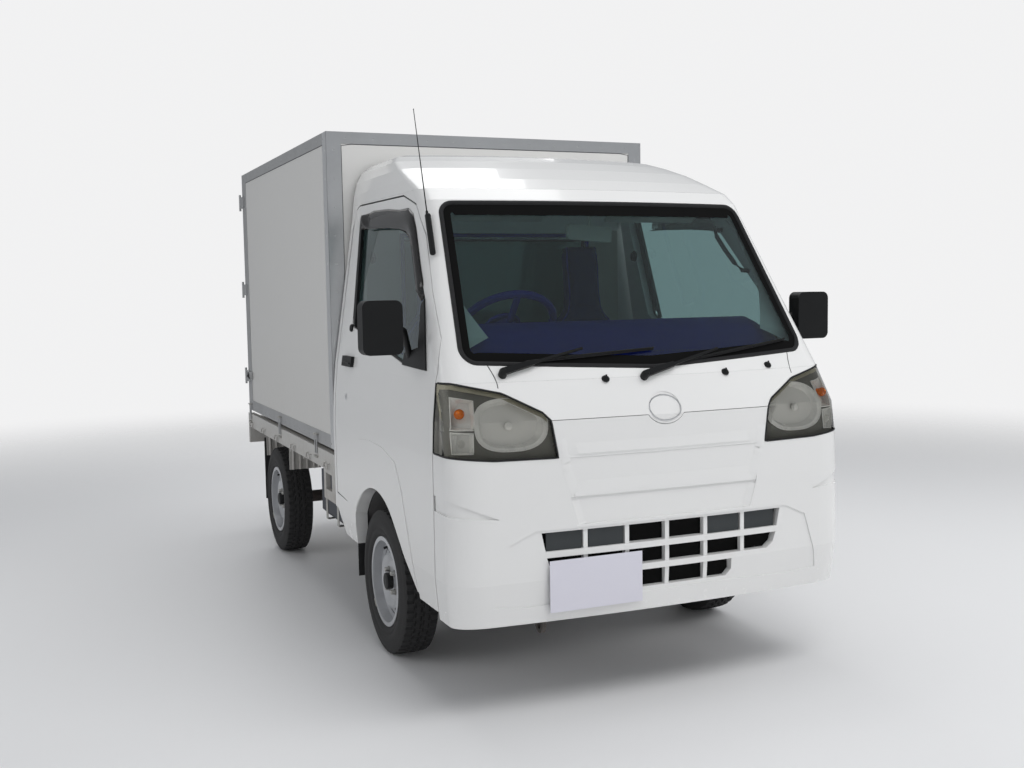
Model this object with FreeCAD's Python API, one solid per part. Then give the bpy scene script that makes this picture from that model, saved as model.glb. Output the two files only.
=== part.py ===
import FreeCAD, Part
import math
import os

os.makedirs("parts", exist_ok=True)

# Kei truck: high-roof cab over the front axle, flat bed, closed box clamped to it.
# Millimetres. Origin on the ground under the middle. Front is -Y, the vehicle's left is +X.

V = FreeCAD.Vector

# Sizes that many pieces share
HALF_WIDTH = 737.5
SEAT_GAP = 0.3
SEAM = 6.0
SHEET = 3.0

# Bed length and the places behind the cab that follow it
BED_REAR_Y = 1690.0
RAIL_SETBACK = 50.0
REAR_OVERHANG = 579.5
RAIL_REAR_Y = BED_REAR_Y - RAIL_SETBACK

# Wheels and axles
FRONT_AXLE_Y = -839.5
REAR_AXLE_Y = RAIL_REAR_Y - REAR_OVERHANG
WHEEL_X = 650.0
TYRE_RADIUS = 270.0
TYRE_HALF_WIDTH = 72.5
AXLE_Z = TYRE_RADIUS

# Tyre section: distance from the wheel's middle plane, radius
BEAD_HALF = 53.6
BEAD_TOP_HALF = 55.1
BEAD_RADIUS = 156.0
WALL_RADIUS = 212.0
SHOULDER_HALF = 61.0
SHOULDER_RADIUS = 262.0
CROWN_HALF = 54.0
TYRE_STEPS = 60

# Pressed steel wheel
RIM_WALL = 4.0
FLANGE_HALF = 60.5
FLANGE_RADIUS = 167.0
FLANGE_LIP = 5.0
SEAT_HALF = 54.0
SEAT_RADIUS = 155.7
WELL_HALF = 22.0
WELL_RADIUS = 138.0
DISC_DISH_X = 42.0
DISC_FACE_X = 30.0
DISC_DISH_RADIUS = 96.0
DISC_FACE_RADIUS = 70.0
VENT_COUNT = 12
VENT_INNER_RADIUS = 106.0
VENT_OUTER_RADIUS = 127.0
VENT_HALF_ANGLE = 0.105
HUB_RADIUS = 30.0
HUB_FLANGE_RADIUS = 60.0
HUB_OUTER_X = 52.0
HUB_INNER_X = 14.0
STUB_RADIUS = 14.0
STUB_CLEARANCE = 0.06
STUB_TIP_X = 40.0
DRUM_RADIUS = 92.0
DRUM_INNER_X = -22.0

# Steered knuckles
KINGPIN_X = 600.0
KNUCKLE_RADIUS = 15.0
KNUCKLE_LOW_Z = 205.0
KNUCKLE_HIGH_Z = 330.0
KNUCKLE_ARM_Y = -90.0
KNUCKLE_ARM_HALF = 8.0
KNUCKLE_COLLAR_RADIUS = 22.0
KNUCKLE_COLLAR_X = 625.0

# Front suspension
STRUT_X = 540.0
STRUT_RADIUS = 22.0
STRUT_LOW_Z = 300.0
ROD_RADIUS = 11.0
STRUT_BODY_TOP_Z = 430.0
SPRING_SEAT_RADIUS = 50.0
SPRING_SEAT_X = 520.0
ARM_INNER_X = 330.0
ARM_HALF = 22.0
ARM_LOW_Z = 185.0
BEAM_HALF = 50.0
BEAM_LOW_Z = 215.0
BEAM_HIGH_Z = 265.0
RACK_Y = -1010.0
RACK_RADIUS = 22.0
RACK_HALF_LENGTH = 360.0
RACK_Z = 290.0

# Chassis frame
RAIL_INNER_X = 300.0
RAIL_OUTER_X = 345.0
RAIL_LOW_Z = 390.0
RAIL_HIGH_Z = 480.0
RAIL_FRONT_Y = -1620.0
RAIL_WALL = 5.0
CROSS_HALF = 25.0
CROSS_LOW_Z = 405.0
CROSS_HIGH_Z = 465.0
CROSS_SETBACK = 240.0
CROSS_YS = (-1430.0, -1130.0, -330.0, 180.0, 620.0, RAIL_REAR_Y - CROSS_SETBACK)
END_BEAM_DEPTH = 40.0
END_BEAM_HALF = 560.0

# Engine and drive line
ENGINE_X = 230.0
ENGINE_FRONT_Y = -980.0
ENGINE_REAR_Y = -400.0
ENGINE_LOW_Z = 285.0
ENGINE_HIGH_Z = 660.0
SHAFT_RADIUS = 28.0
SHAFT_FRONT_Z = 330.0
DIFF_RADIUS = 95.0
DIFF_SHARES = (0.85, 0.7, 0.5, 0.3, 0.1)
DIFF_NECK_RADIUS = 45.0
DIFF_NECK_FRONT = 190.0
AXLE_TUBE_RADIUS = 30.0
AXLE_TUBE_END_X = 600.0
BRAKE_PLATE_RADIUS = 100.0
BRAKE_PLATE_X = 612.0
BRAKE_PLATE_OUTER_X = 620.0

# Leaf springs
SPRING_X = 322.0
SPRING_WIDTH_HALF = 25.0
LEAF_THICK = 7.0
LEAF_HALF_LENGTHS = (480.0, 400.0, 310.0, 220.0)
SPRING_BASE_Z = AXLE_Z + AXLE_TUBE_RADIUS + SEAT_GAP
SPRING_RISE = 40.0
SPRING_EYE_RADIUS = 18.0
SPRING_CLAMP_HALF = 45.0
SPRING_CLAMP_TOP = 12.0

# Exhaust
PIPE_RADIUS = 19.0
PIPE_X = 150.0
PIPE_Z = 340.0
PIPE_FRONT_Y = ENGINE_REAR_Y + SEAT_GAP
PIPE_KICK_REACH = 420.5
PIPE_KICK_Y = REAR_AXLE_Y - PIPE_KICK_REACH
PIPE_KICK_X = 255.0
PIPE_OVER_Z = 365.0
MUFFLER_SETBACK = 50.0
MUFFLER_LENGTH = 300.0
MUFFLER_REAR_Y = RAIL_REAR_Y - MUFFLER_SETBACK
MUFFLER_FRONT_Y = MUFFLER_REAR_Y - MUFFLER_LENGTH
MUFFLER_RADIUS = 65.0
MUFFLER_X = 180.0
MUFFLER_Z = 330.0
TAILPIPE_PROUD = 40.0
TAILPIPE_END_Y = RAIL_REAR_Y + TAILPIPE_PROUD
HANGER_HALF = 10.0

# Fuel tank
TANK_FRONT_Y = -10.0
TANK_REAR_Y = 380.0
TANK_INNER_X = 350.0
TANK_OUTER_X = 640.0
TANK_LOW_Z = 300.0
TANK_HIGH_Z = 520.0
TANK_CHAMFER = 30.0

# Cab outer body: height, half width, where the side ends, half front, front at its side, front in its middle
CAB_LEVELS = (
    (300.0, 726.0, -1585.0, 600.0, -1660.0, -1684.0),
    (436.0, 737.5, -1590.0, 620.0, -1674.0, -1695.0),
    (702.0, 737.5, -1590.0, 620.0, -1674.0, -1695.0),
    (818.0, 737.5, -1586.0, 620.0, -1668.0, -1691.0),
    (936.0, 733.0, -1570.0, 625.0, -1655.0, -1688.0),
    (1058.0, 722.0, -1490.0, 645.0, -1578.0, -1634.0),
    (1655.0, 632.0, -1090.0, 585.0, -1184.0, -1240.0),
    (1697.0, 628.0, -1040.0, 575.0, -1128.0, -1180.0),
)
CAB_REAR_Y = -255.0
REAR_WALL = 29.0
FRONT_STEP_SHARE = 1.12
BUMPER_WALL = 30.0
CAB_WALL = 48.0
COWL_Z = 1058.0
FLOOR_Z = RAIL_HIGH_Z + SEAT_GAP
FLOOR_SHEET = 12.0
SIDE_CUT_X = 500.0
FAR_X = 900.0
FAR_Y = 2000.0
FAR_Z = 2200.0

# Door outline on the cab's side: length, height
DOOR_FRONT_Y = -1490.0
DOOR_REAR_Y = -290.0
DOOR_LOW_Z = 322.0
ARCH_RADIUS = 350.0
ARCH_REAR = (-571.0, 499.0)
ARCH_TANGENT = (-1063.0, 537.0)
ARCH_FRONT = (-1306.0, 335.0)
DOOR_TOP = (
    (-1490.0, 1088.0),
    (-1456.0, 1191.0),
    (-1343.0, 1341.0),
    (-1216.0, 1530.0),
    (-1082.0, 1642.0),
    (-930.0, 1683.0),
    (-360.0, 1688.0),
    (-320.0, 1675.0),
    (-290.0, 1600.0),
)
DOOR_REAR_LOW = (-290.0, 525.0)
SILL = (
    (-560.0, 359.0),
    (-400.0, 365.0),
    (-299.0, 457.0),
    (-150.0, 469.0),
)
ARCH_FLARE = (
    (-1300.0, 335.0),
    (-1262.0, 446.0),
    (-1216.0, 540.0),
    (-1160.0, 663.0),
    (-1093.0, 752.0),
    (-941.0, 787.0),
    (-775.0, 795.0),
    (-623.0, 781.0),
    (-530.0, 720.0),
    (-480.0, 610.0),
    (-450.0, 509.0),
)
FLARE_OUT = 2.4
DOOR_DRAFT = 30.0
DOOR_WALL = 46.0

# Side window
WINDOW = (
    (-380.0, 1640.0),
    (-400.0, 1652.0),
    (-1031.0, 1612.0),
    (-1179.0, 1451.0),
    (-1299.0, 1320.0),
    (-1398.0, 1090.0),
    (-1150.0, 1096.0),
    (-470.0, 1206.0),
    (-445.0, 1225.0),
)
GLASS_OUT = 12.0
GLASS_IN = 17.0

# Door fittings
HANDLE_FRONT_Y = -534.0
HANDLE_REAR_Y = -402.0
HANDLE_LOW_Z = 1053.0
HANDLE_HIGH_Z = 1093.0
HANDLE_OUT = 14.0
MIRROR_Y = -1350.0
MIRROR_DEPTH = 60.0
MIRROR_INNER_X = 778.0
MIRROR_OUTER_X = 913.0
MIRROR_LOW_Z = 1142.0
MIRROR_HIGH_Z = 1318.0
MIRROR_ROUND = 24.0
MIRROR_ARM_RADIUS = 11.0
MIRROR_BASE = (
    (-1398.0, 1090.0),
    (-1299.0, 1320.0),
    (-1276.0, 1300.0),
    (-1296.0, 1160.0),
    (-1165.0, 1138.0),
    (-1150.0, 1096.0),
)
MIRROR_FOOT = (-1200.0, 1118.0)
MIRROR_ELBOW = (752.0, -1275.0, 1215.0)
MIRROR_ARM_Z = 1240.0
MIRROR_BASE_OUT = 6.0
VISOR_OUT = 26.0
VISOR_SHEET = 3.0
VISOR_DROP = 70.0

# Windscreen and rear window: half width, height
SCREEN = (
    (648.0, 1117.0),
    (587.0, 1643.0),
)
SCREEN_DIP = 32.0
SCREEN_ROUND = 45.0
SCREEN_OUT = 3.0
SCREEN_IN = 9.0
REAR_WINDOW_HALF = 420.0
REAR_WINDOW_LOW_Z = 1190.0
REAR_WINDOW_HIGH_Z = 1560.0
REAR_GLASS_Y = -268.0
GLASS_SHEET = 5.0

# Roof levels above the cab, same columns as the cab
ROOF_LEVELS = (
    (1697.0, 628.0, -1040.0, 575.0, -1128.0, -1180.0),
    (1740.0, 622.0, -930.0, 520.0, -1040.0, -1090.0),
    (1790.0, 610.0, -810.0, 470.0, -915.0, -962.0),
    (1830.0, 588.0, -700.0, 420.0, -795.0, -845.0),
    (1858.0, 552.0, -620.0, 380.0, -690.0, -730.0),
    (1872.0, 505.0, -560.0, 340.0, -610.0, -640.0),
    (1880.0, 440.0, -500.0, 300.0, -530.0, -550.0),
)
CAB_TOP_Z = ROOF_LEVELS[0][0] - SEAT_GAP
ROOF_WALL = 26.0
ROOF_LINING_TOP_Z = 1850.0

# Inner floor, wheel housings and seat base
RISER_Y = -1195.0
SEAT_BASE_Z = 708.0
LINER_WALL = 5.0
LINER_OUT = 2.0
LINER_INNER_X = 395.0
LINER_OUTER_X = 684.0
LINER_LOW_Z = 400.0
TOWER_HALF = 45.0
TOWER_LOW_Z = 600.0
STRUT_TOP_Z = TOWER_LOW_Z - SEAT_GAP

# Front face
HEADLAMP = (
    (388.0, 820.0),
    (407.0, 936.0),
    (430.0, 962.0),
    (548.0, 1024.0),
    (742.0, 1068.0),
    (742.0, 837.0),
    (600.0, 823.0),
)
HEADLAMP_REAR_Y = -1500.0
LAMP_GAP = 2.0
FACE_SEAM_Z = 936.0
GRILLE_ROWS = (
    ((449.0, 586.0), (436.0, 525.0)),
    ((432.0, 505.0), (420.0, 472.0), (396.0, 453.0)),
    ((249.0, 433.0), (249.0, 396.0), (228.0, 376.0)),
)
GRILLE_POST_XS = (-296.0, -148.0, 0.0, 148.0, 296.0)
GRILLE_POST_HALF = 7.5
GRILLE_BAR_DEPTH = 22.0
GRILLE_BAR_SETBACK = 8.0
FRAME_RECESS = (
    (470.0, 594.0),
    (556.0, 556.0),
    (600.0, 420.0),
    (608.0, 362.0),
    (500.0, 354.0),
    (260.0, 362.0),
)
FRAME_DEPTH = 3.0
STEP_LOW = ((349.0, 693.0), (322.0, 604.0))
STEP_LOW_DEPTH = 5.0
STEP_HIGH = ((366.0, 818.0), (349.0, 694.0))
STEP_HIGH_DEPTH = 2.5
CORNER_WEDGE = ((588.0, 640.0), (760.0, 712.0), (760.0, 654.0))
WEDGE_DEPTH = 5.0
EMBLEM_Z = 964.0
EMBLEM_HALF_X = 57.0
EMBLEM_HALF_Z = 43.0
EMBLEM_DEPTH = 2.0
EMBLEM_MARGIN = 16.0
PLATE_X = -264.5
PLATE_HALF_X = 165.0
PLATE_LOW_Z = 333.0
PLATE_HIGH_Z = 498.0
PLATE_SHEET = 1.2
PLATE_PROUD = 2.5
NOSE_Y = CAB_LEVELS[1][5]
PLATE_Y = NOSE_Y - PLATE_PROUD
PLATE_PAD_X = 100.0
PLATE_PAD_HALF = 18.0
PLATE_PAD_LOW_Z = 364.0
PLATE_PAD_HIGH_Z = 374.0

# Cab interior
DASH_REAR_Y = -1330.0
DASH_HALF = 640.0
DASH_LOW_Z = 900.0
DASH_HIGH_Z = 1090.0
DASH_LIP_Y = -1290.0
COLUMN_LOW = (-340.0, -1340.0, 1010.0)
STEER_CENTRE = (-340.0, -1150.0, 1200.0)
COLUMN_RADIUS = 32.0
STEER_RADIUS = 182.0
STEER_RIM_RADIUS = 14.0
STEER_RIM_SIDES = 8
STEER_HUB_RADIUS = 48.0
STEER_HUB_DEPTH = 40.0
SPOKE_RADIUS = 12.0
SEAT_X = 330.0
SEAT_WIDTH_HALF = 225.0
CUSHION_FRONT_Y = -1080.0
CUSHION_REAR_Y = -500.0
CUSHION_Z = SEAT_BASE_Z + SEAT_GAP
CUSHION_THICK = 130.0
BACK_LOW_Z = 760.0
BACK_SHOULDER_Z = 1130.0
BACK_NECK_Z = 1240.0
BACK_HIGH_Z = 1560.0
BACK_THICK = 110.0
BACK_TOP_THICK = 80.0
BACK_LEAN = 110.0
HEADREST_HALF = 112.0
SEAT_ROUND = 30.0

# Wipers and antenna
WIPER_PIVOTS = ((-517.0, 1090.0), (-49.0, 1068.0))
WIPER_PIVOT_RADIUS = 13.0
WIPER_ARM_LENGTH = 260.0
WIPER_ARM_RADIUS = 5.0
ANTENNA_LOW = (-648.0, -1289.0, 1472.0)
ANTENNA_HIGH = (-633.0, -1205.0, 1597.0)
ANTENNA_TIP = (-640.0, -1094.0, 1970.0)
ANTENNA_BASE_RADIUS = 12.0
ANTENNA_ROD_RADIUS = 2.5

# Bed
CAB_GAP = 12.0
BED_FRONT_Y = CAB_REAR_Y + CAB_GAP
BED_HALF = 735.0
BED_FLOOR_Z = 650.0
BED_FLOOR_SHEET = 6.0
BED_LIP = 18.0
BED_RAIL_DEEP = 78.0
BED_RAIL_HIGH_Z = BED_FLOOR_Z + BED_LIP
BED_RAIL_LOW_Z = BED_RAIL_HIGH_Z - BED_RAIL_DEEP
BED_RAIL_WIDTH = 30.0
BED_SILL_LOW_Z = RAIL_HIGH_Z + SEAT_GAP
BED_CROSS_HALF = 20.0
BED_CROSS_DEEP = 50.0
BED_CROSS_LOW_Z = BED_FLOOR_Z - BED_CROSS_DEEP
REAR_SKIRT_LOW_Z = 500.0
REAR_SKIRT_DEPTH = 30.0
SKIRT_SETBACK = 3.0
SKIRT_LENGTH = 187.0
SKIRT_FRONT_Y = BED_FRONT_Y + SKIRT_SETBACK
SKIRT_REAR_Y = SKIRT_FRONT_Y + SKIRT_LENGTH
SKIRT_LOW_Z = 462.0
SKIRT_FRAME = (51.0, 34.0, 42.0, 15.0)
SKIRT_SHEET = 20.0
GUARD_REACH = 285.5
GUARD_Y = REAR_AXLE_Y - GUARD_REACH
GUARD_REAR_Y = REAR_AXLE_Y + GUARD_REACH
GUARD_INSET = 20.0
GUARD_WIDTH = 170.0
GUARD_OUTER_X = BED_HALF - GUARD_INSET
GUARD_INNER_X = GUARD_OUTER_X - GUARD_WIDTH
GUARD_LOW_Z = 463.0
GUARD_SHEET = 6.0
GUARD_RIB_COUNT = 4
GUARD_RIB_MARGIN = 30.0
GUARD_RIB_PITCH = 35.0
GUARD_RIB_RADIUS = 7.0
BED_SILL_SETBACK = 43.0
BED_SILL_MIDDLE_Y = 260.0
BED_SILL_GAP = 55.0
BED_SILL_YS = (BED_FRONT_Y + BED_SILL_SETBACK, BED_SILL_MIDDLE_Y, GUARD_Y - BED_SILL_GAP,
               GUARD_REAR_Y + BED_SILL_GAP)

# Mudflaps
FLAP_SHEET = 5.0
FLAP_SETBACK = 17.0
FLAP_LOW_Z = 225.0
FLAP_HIGH_Z = 560.0
FLAP_FRONT_X = 605.0
FLAP_MARGIN = 30.0
FLAP_OUTER_INSET = 12.5
FLAP_INNER_X = GUARD_INNER_X + FLAP_MARGIN
FLAP_OUTER_X = HALF_WIDTH - FLAP_OUTER_INSET

# Tail lamps
TAIL_WIDTH = 155.0
TAIL_X_OUTER = BED_HALF - GUARD_INSET
TAIL_X_INNER = TAIL_X_OUTER - TAIL_WIDTH
TAIL_LOW_Z = 520.0
TAIL_HIGH_Z = 600.0
TAIL_DEPTH = 7.2

# Box body
BOX_SETBACK = 27.0
BOX_INSET = 3.0
PACKER_HEIGHT = 40.0
BOX_FRONT_Y = BED_FRONT_Y
BOX_REAR_Y = BED_REAR_Y - BOX_SETBACK
BOX_HALF = BED_HALF - BOX_INSET
BOX_LOW_Z = BED_FLOOR_Z + PACKER_HEIGHT
BOX_HIGH_Z = 2000.0
BOX_WALL = 22.0
BASE_RAIL_HEIGHT = 56.0
BASE_RAIL_HIGH_Z = BOX_LOW_Z + BASE_RAIL_HEIGHT
BASE_RAIL_WIDTH = 40.0
TRIM_WIDTH = 62.0
CAP_WIDTH = 48.0
PACKER_XS = (180.0, 520.0)
PACKER_HALF = 35.0
PANEL_INSET = 2.0
PORTAL_WIDTH = 46.0
PORTAL_DEPTH = 40.0
CLAMP_SHARES = (0.159, 0.560, 0.967)
CLAMP_HALF = 22.0
CLAMP_WIRE = 7.0
CLAMP_RISE = 32.0
CLAMP_DROP = 82.0
CLAMP_HIGH_Z = BOX_LOW_Z + CLAMP_RISE
CLAMP_LOW_Z = CLAMP_HIGH_Z - CLAMP_DROP
BOX_DOOR_GAP = 5.0
BOX_DOOR_SHEET = 16.3
BOX_DOOR_RISE = 45.0
BOX_DOOR_MARGIN = 4.0
BOX_DOOR_Y = BOX_REAR_Y + BOX_DOOR_GAP
BOX_DOOR_OUT_Y = BOX_DOOR_Y + BOX_DOOR_SHEET
BOX_DOOR_LOW_Z = BOX_LOW_Z + BOX_DOOR_RISE
BOX_DOOR_EDGE_X = BOX_HALF - BOX_DOOR_MARGIN
HINGE_OUT = 8.0
HINGE_PROUD = 5.7
HINGE_X = BOX_HALF + HINGE_OUT
HINGE_Y = BOX_DOOR_OUT_Y + HINGE_PROUD
HINGE_RADIUS = 6.0
HINGE_HALF = 45.0
HINGE_RISE = 190.0
HINGE_DROP = 150.0
HINGE_LOW_Z = BOX_LOW_Z + HINGE_RISE
HINGE_HIGH_Z = BOX_HIGH_Z - HINGE_DROP
HINGE_ZS = (HINGE_LOW_Z, (HINGE_LOW_Z + HINGE_HIGH_Z) / 2, HINGE_HIGH_Z)
LEAF_SHEET = 5.0
LEAF_LENGTH = 63.0
LEAF_STEP = 8.0
LEAF_FRONT_Y = BOX_REAR_Y - LEAF_LENGTH
LEAF_BACK_Y = BOX_REAR_Y - LEAF_STEP
STRAP_LENGTH = 90.0
STRAP_HALF = 30.0
GEAR_ROD_RADIUS = 6.2
GEAR_X = 110.0
GEAR_RISE = 25.0
GEAR_DROP = 15.0
GEAR_LOW_Z = BOX_DOOR_LOW_Z + GEAR_RISE
GEAR_HIGH_Z = BOX_HIGH_Z - GEAR_DROP
GEAR_GUIDE_HALF = 18.0
GEAR_GUIDE_SHARES = (0.025, 0.245, 0.653, 0.971)
GEAR_HANDLE_SHARE = 0.302
GEAR_HANDLE_LENGTH = 240.0
CATCH_SETBACK = 108.0
CATCH_RISE = 197.0
CATCH_Y = BOX_REAR_Y - CATCH_SETBACK
CATCH_Z = BOX_LOW_Z + CATCH_RISE
CATCH_HALF = 20.0
CATCH_OUT = 18.0

# Towing eyes, radiator
EYE_X = 420.0
EYE_HALF = 28.0
EYE_THICK = 14.0
FRONT_EYE_LOW_Z = 244.0
REAR_EYE_LOW_Z = 345.0
EYE_HOLE_RADIUS = 14.0
RADIATOR_HALF = 330.0
RADIATOR_FRONT_Y = -1642.0
RADIATOR_LOW_Z = 318.0


def block(x0, x1, y0, y1, z0, z1):
    return Part.makeBox(x1 - x0, y1 - y0, z1 - z0, V(x0, y0, z0))


def loop(points):
    return Part.makePolygon([V(*p) for p in points] + [V(*points[0])])


def side_prism(outline, x0, x1):
    face = Part.Face(loop([(x0, y, z) for y, z in outline]))
    return face.extrude(V(x1 - x0, 0, 0))


def front_prism(outline, y0, y1):
    face = Part.Face(loop([(x, y0, z) for x, z in outline]))
    return face.extrude(V(0, y1 - y0, 0))


def rod(start, end, radius):
    a = V(*start)
    b = V(*end)
    return Part.makeCylinder(radius, a.distanceToPoint(b), a, b - a)


def mirrored(shape):
    return shape.mirror(V(0, 0, 0), V(1, 0, 0))


def joined(shapes):
    base = shapes[0]
    if len(shapes) > 1:
        base = base.fuse(shapes[1:])
    return base.removeSplitter()


def both_sides(shape):
    return Part.makeCompound([shape, mirrored(shape)])


def save(name, shapes):
    solids = []
    for shape in shapes:
        for solid in shape.Solids:
            if solid.Volume < 0:
                solid.reverse()
            solids.append(solid)
    Part.makeCompound(solids).exportStep("parts/" + name + ".step")


def ring_solid(section, x, y, z):
    face = Part.Face(loop([(x + a, y, z + r) for a, r in section]))
    return face.revolve(V(x, y, z), V(1, 0, 0), 360)


# Tyre: the section carried round in straight steps short enough to look round
def tyre(y):
    half = [
        (CROWN_HALF, TYRE_RADIUS),
        (SHOULDER_HALF, SHOULDER_RADIUS),
        (TYRE_HALF_WIDTH, WALL_RADIUS),
        (BEAD_TOP_HALF, FLANGE_RADIUS + SEAT_GAP),
        (BEAD_HALF, BEAD_RADIUS),
    ]
    section = half + [(-x, r) for x, r in reversed(half)]
    rings = []
    for step in range(TYRE_STEPS):
        angle = 2 * math.pi * step / TYRE_STEPS
        along = math.sin(angle)
        down = math.cos(angle)
        rings.append([V(WHEEL_X + x, y + r * along, AXLE_Z - r * down) for x, r in section])
    faces = []
    for here, ahead in zip(rings, rings[1:] + rings[:1]):
        for index in range(len(section)):
            corners = [here[index - 1], here[index], ahead[index], ahead[index - 1]]
            faces.append(Part.Face(Part.makePolygon(corners + corners[:1])))
    return Part.makeSolid(Part.makeShell(faces))


# Pressed steel wheel: rolled rim with a drop well, dished disc with its ring of vents, hub and drum
def steel_wheel(y):
    bore = STUB_RADIUS + STUB_CLEARANCE
    well_in = WELL_RADIUS - RIM_WALL
    seat_in = SEAT_RADIUS - RIM_WALL
    section = [
        (-FLANGE_HALF, FLANGE_RADIUS),
        (-FLANGE_HALF + FLANGE_LIP, FLANGE_RADIUS),
        (-SEAT_HALF, SEAT_RADIUS),
        (-WELL_HALF, seat_in),
        (-WELL_HALF + RIM_WALL, WELL_RADIUS),
        (WELL_HALF - RIM_WALL, WELL_RADIUS),
        (WELL_HALF, seat_in),
        (SEAT_HALF, SEAT_RADIUS),
        (FLANGE_HALF - FLANGE_LIP, FLANGE_RADIUS),
        (FLANGE_HALF, FLANGE_RADIUS),
        (FLANGE_HALF, seat_in),
        (WELL_HALF + RIM_WALL, seat_in - RIM_WALL),
        (WELL_HALF, well_in),
        (DISC_DISH_X, DISC_DISH_RADIUS),
        (DISC_FACE_X, DISC_FACE_RADIUS),
        (DISC_FACE_X, HUB_RADIUS),
        (HUB_OUTER_X, HUB_RADIUS),
        (HUB_OUTER_X, bore),
        (DRUM_INNER_X, bore),
        (DRUM_INNER_X, DRUM_RADIUS),
        (HUB_INNER_X, DRUM_RADIUS),
        (DISC_FACE_X - RIM_WALL, HUB_FLANGE_RADIUS),
        (DISC_FACE_X - RIM_WALL, DISC_FACE_RADIUS),
        (DISC_DISH_X - RIM_WALL, DISC_DISH_RADIUS),
        (WELL_HALF - 2 * RIM_WALL, well_in),
        (-WELL_HALF, well_in),
        (-WELL_HALF - RIM_WALL, seat_in - RIM_WALL),
        (-FLANGE_HALF, seat_in),
    ]
    wheel = ring_solid(section, WHEEL_X, y, AXLE_Z)
    for index in range(VENT_COUNT):
        middle = 2 * math.pi * index / VENT_COUNT
        corners = []
        for radius, side in ((VENT_INNER_RADIUS, -1), (VENT_OUTER_RADIUS, -1), (VENT_OUTER_RADIUS, 1),
                             (VENT_INNER_RADIUS, 1)):
            angle = middle + side * VENT_HALF_ANGLE
            corners.append((y + radius * math.cos(angle), AXLE_Z + radius * math.sin(angle)))
        wheel = wheel.cut(side_prism(corners, WHEEL_X, WHEEL_X + FLANGE_HALF))
    return wheel


def wheels():
    for end, y in (("front", FRONT_AXLE_Y), ("rear", REAR_AXLE_Y)):
        rubber = tyre(y)
        steel = steel_wheel(y)
        save("tyre_" + end + "_left", [rubber])
        save("tyre_" + end + "_right", [mirrored(rubber)])
        save("rim_" + end + "_left", [steel])
        save("rim_" + end + "_right", [mirrored(steel)])


# Steered knuckle: round kingpin, steering arm, stub axle
def knuckle():
    y = FRONT_AXLE_Y
    upright = rod((KINGPIN_X, y, KNUCKLE_LOW_Z), (KINGPIN_X, y, KNUCKLE_HIGH_Z), KNUCKLE_RADIUS)
    arm = block(KINGPIN_X - KNUCKLE_RADIUS, KINGPIN_X, y + KNUCKLE_ARM_Y, y, KNUCKLE_LOW_Z,
                KNUCKLE_LOW_Z + 2 * KNUCKLE_ARM_HALF)
    collar = rod((KINGPIN_X, y, AXLE_Z), (KNUCKLE_COLLAR_X, y, AXLE_Z), KNUCKLE_COLLAR_RADIUS)
    stub = rod((KINGPIN_X, y, AXLE_Z), (WHEEL_X + STUB_TIP_X, y, AXLE_Z), STUB_RADIUS)
    return joined([upright, arm, collar, stub])


def knuckles():
    left = knuckle()
    save("knuckle_left", [left])
    save("knuckle_right", [mirrored(left)])


# Front suspension: cross beam, lower arms, struts with their spring seats, steering rack
def front_suspension():
    y = FRONT_AXLE_Y
    beam = block(-ARM_INNER_X, ARM_INNER_X, y - BEAM_HALF, y + BEAM_HALF, BEAM_LOW_Z, BEAM_HIGH_Z)
    hangers = both_sides(block(RAIL_INNER_X, RAIL_OUTER_X, y - BEAM_HALF, y + BEAM_HALF,
                               BEAM_LOW_Z, RAIL_LOW_Z - SEAT_GAP))
    tip_x = KINGPIN_X + KNUCKLE_RADIUS
    arm = block(ARM_INNER_X - BEAM_HALF, tip_x, y - ARM_HALF, y + ARM_HALF, ARM_LOW_Z,
                KNUCKLE_LOW_Z - SEAT_GAP)
    post = block(ARM_INNER_X - BEAM_HALF, ARM_INNER_X, y - ARM_HALF, y + ARM_HALF, ARM_LOW_Z,
                 BEAM_HIGH_Z)
    upper_z = KNUCKLE_HIGH_Z + SEAT_GAP
    bracket = block(STRUT_X - STRUT_RADIUS, tip_x, y - ARM_HALF, y + ARM_HALF, upper_z,
                    upper_z + 2 * KNUCKLE_ARM_HALF)
    strut = rod((STRUT_X, y, STRUT_LOW_Z), (STRUT_X, y, STRUT_BODY_TOP_Z), STRUT_RADIUS)
    piston = rod((STRUT_X, y, STRUT_LOW_Z), (STRUT_X, y, STRUT_TOP_Z), ROD_RADIUS)
    low_seat = rod((SPRING_SEAT_X, y, STRUT_BODY_TOP_Z),
                   (SPRING_SEAT_X, y, STRUT_BODY_TOP_Z + KNUCKLE_ARM_HALF), SPRING_SEAT_RADIUS)
    top_seat = rod((SPRING_SEAT_X, y, STRUT_TOP_Z - KNUCKLE_ARM_HALF),
                   (SPRING_SEAT_X, y, STRUT_TOP_Z), SPRING_SEAT_RADIUS)
    corner = both_sides(joined([arm, post, bracket, strut, piston, low_seat, top_seat]))
    rack = rod((-RACK_HALF_LENGTH, RACK_Y, RACK_Z), (RACK_HALF_LENGTH, RACK_Y, RACK_Z), RACK_RADIUS)
    rack_mount = both_sides(block(RAIL_INNER_X, RAIL_OUTER_X, RACK_Y - RACK_RADIUS,
                                  RACK_Y + RACK_RADIUS, RACK_Z, RAIL_LOW_Z - SEAT_GAP))
    carrier = joined([beam] + hangers.Solids + corner.Solids)
    steering = joined([rack] + rack_mount.Solids)
    save("front_suspension", [carrier, steering])


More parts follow.
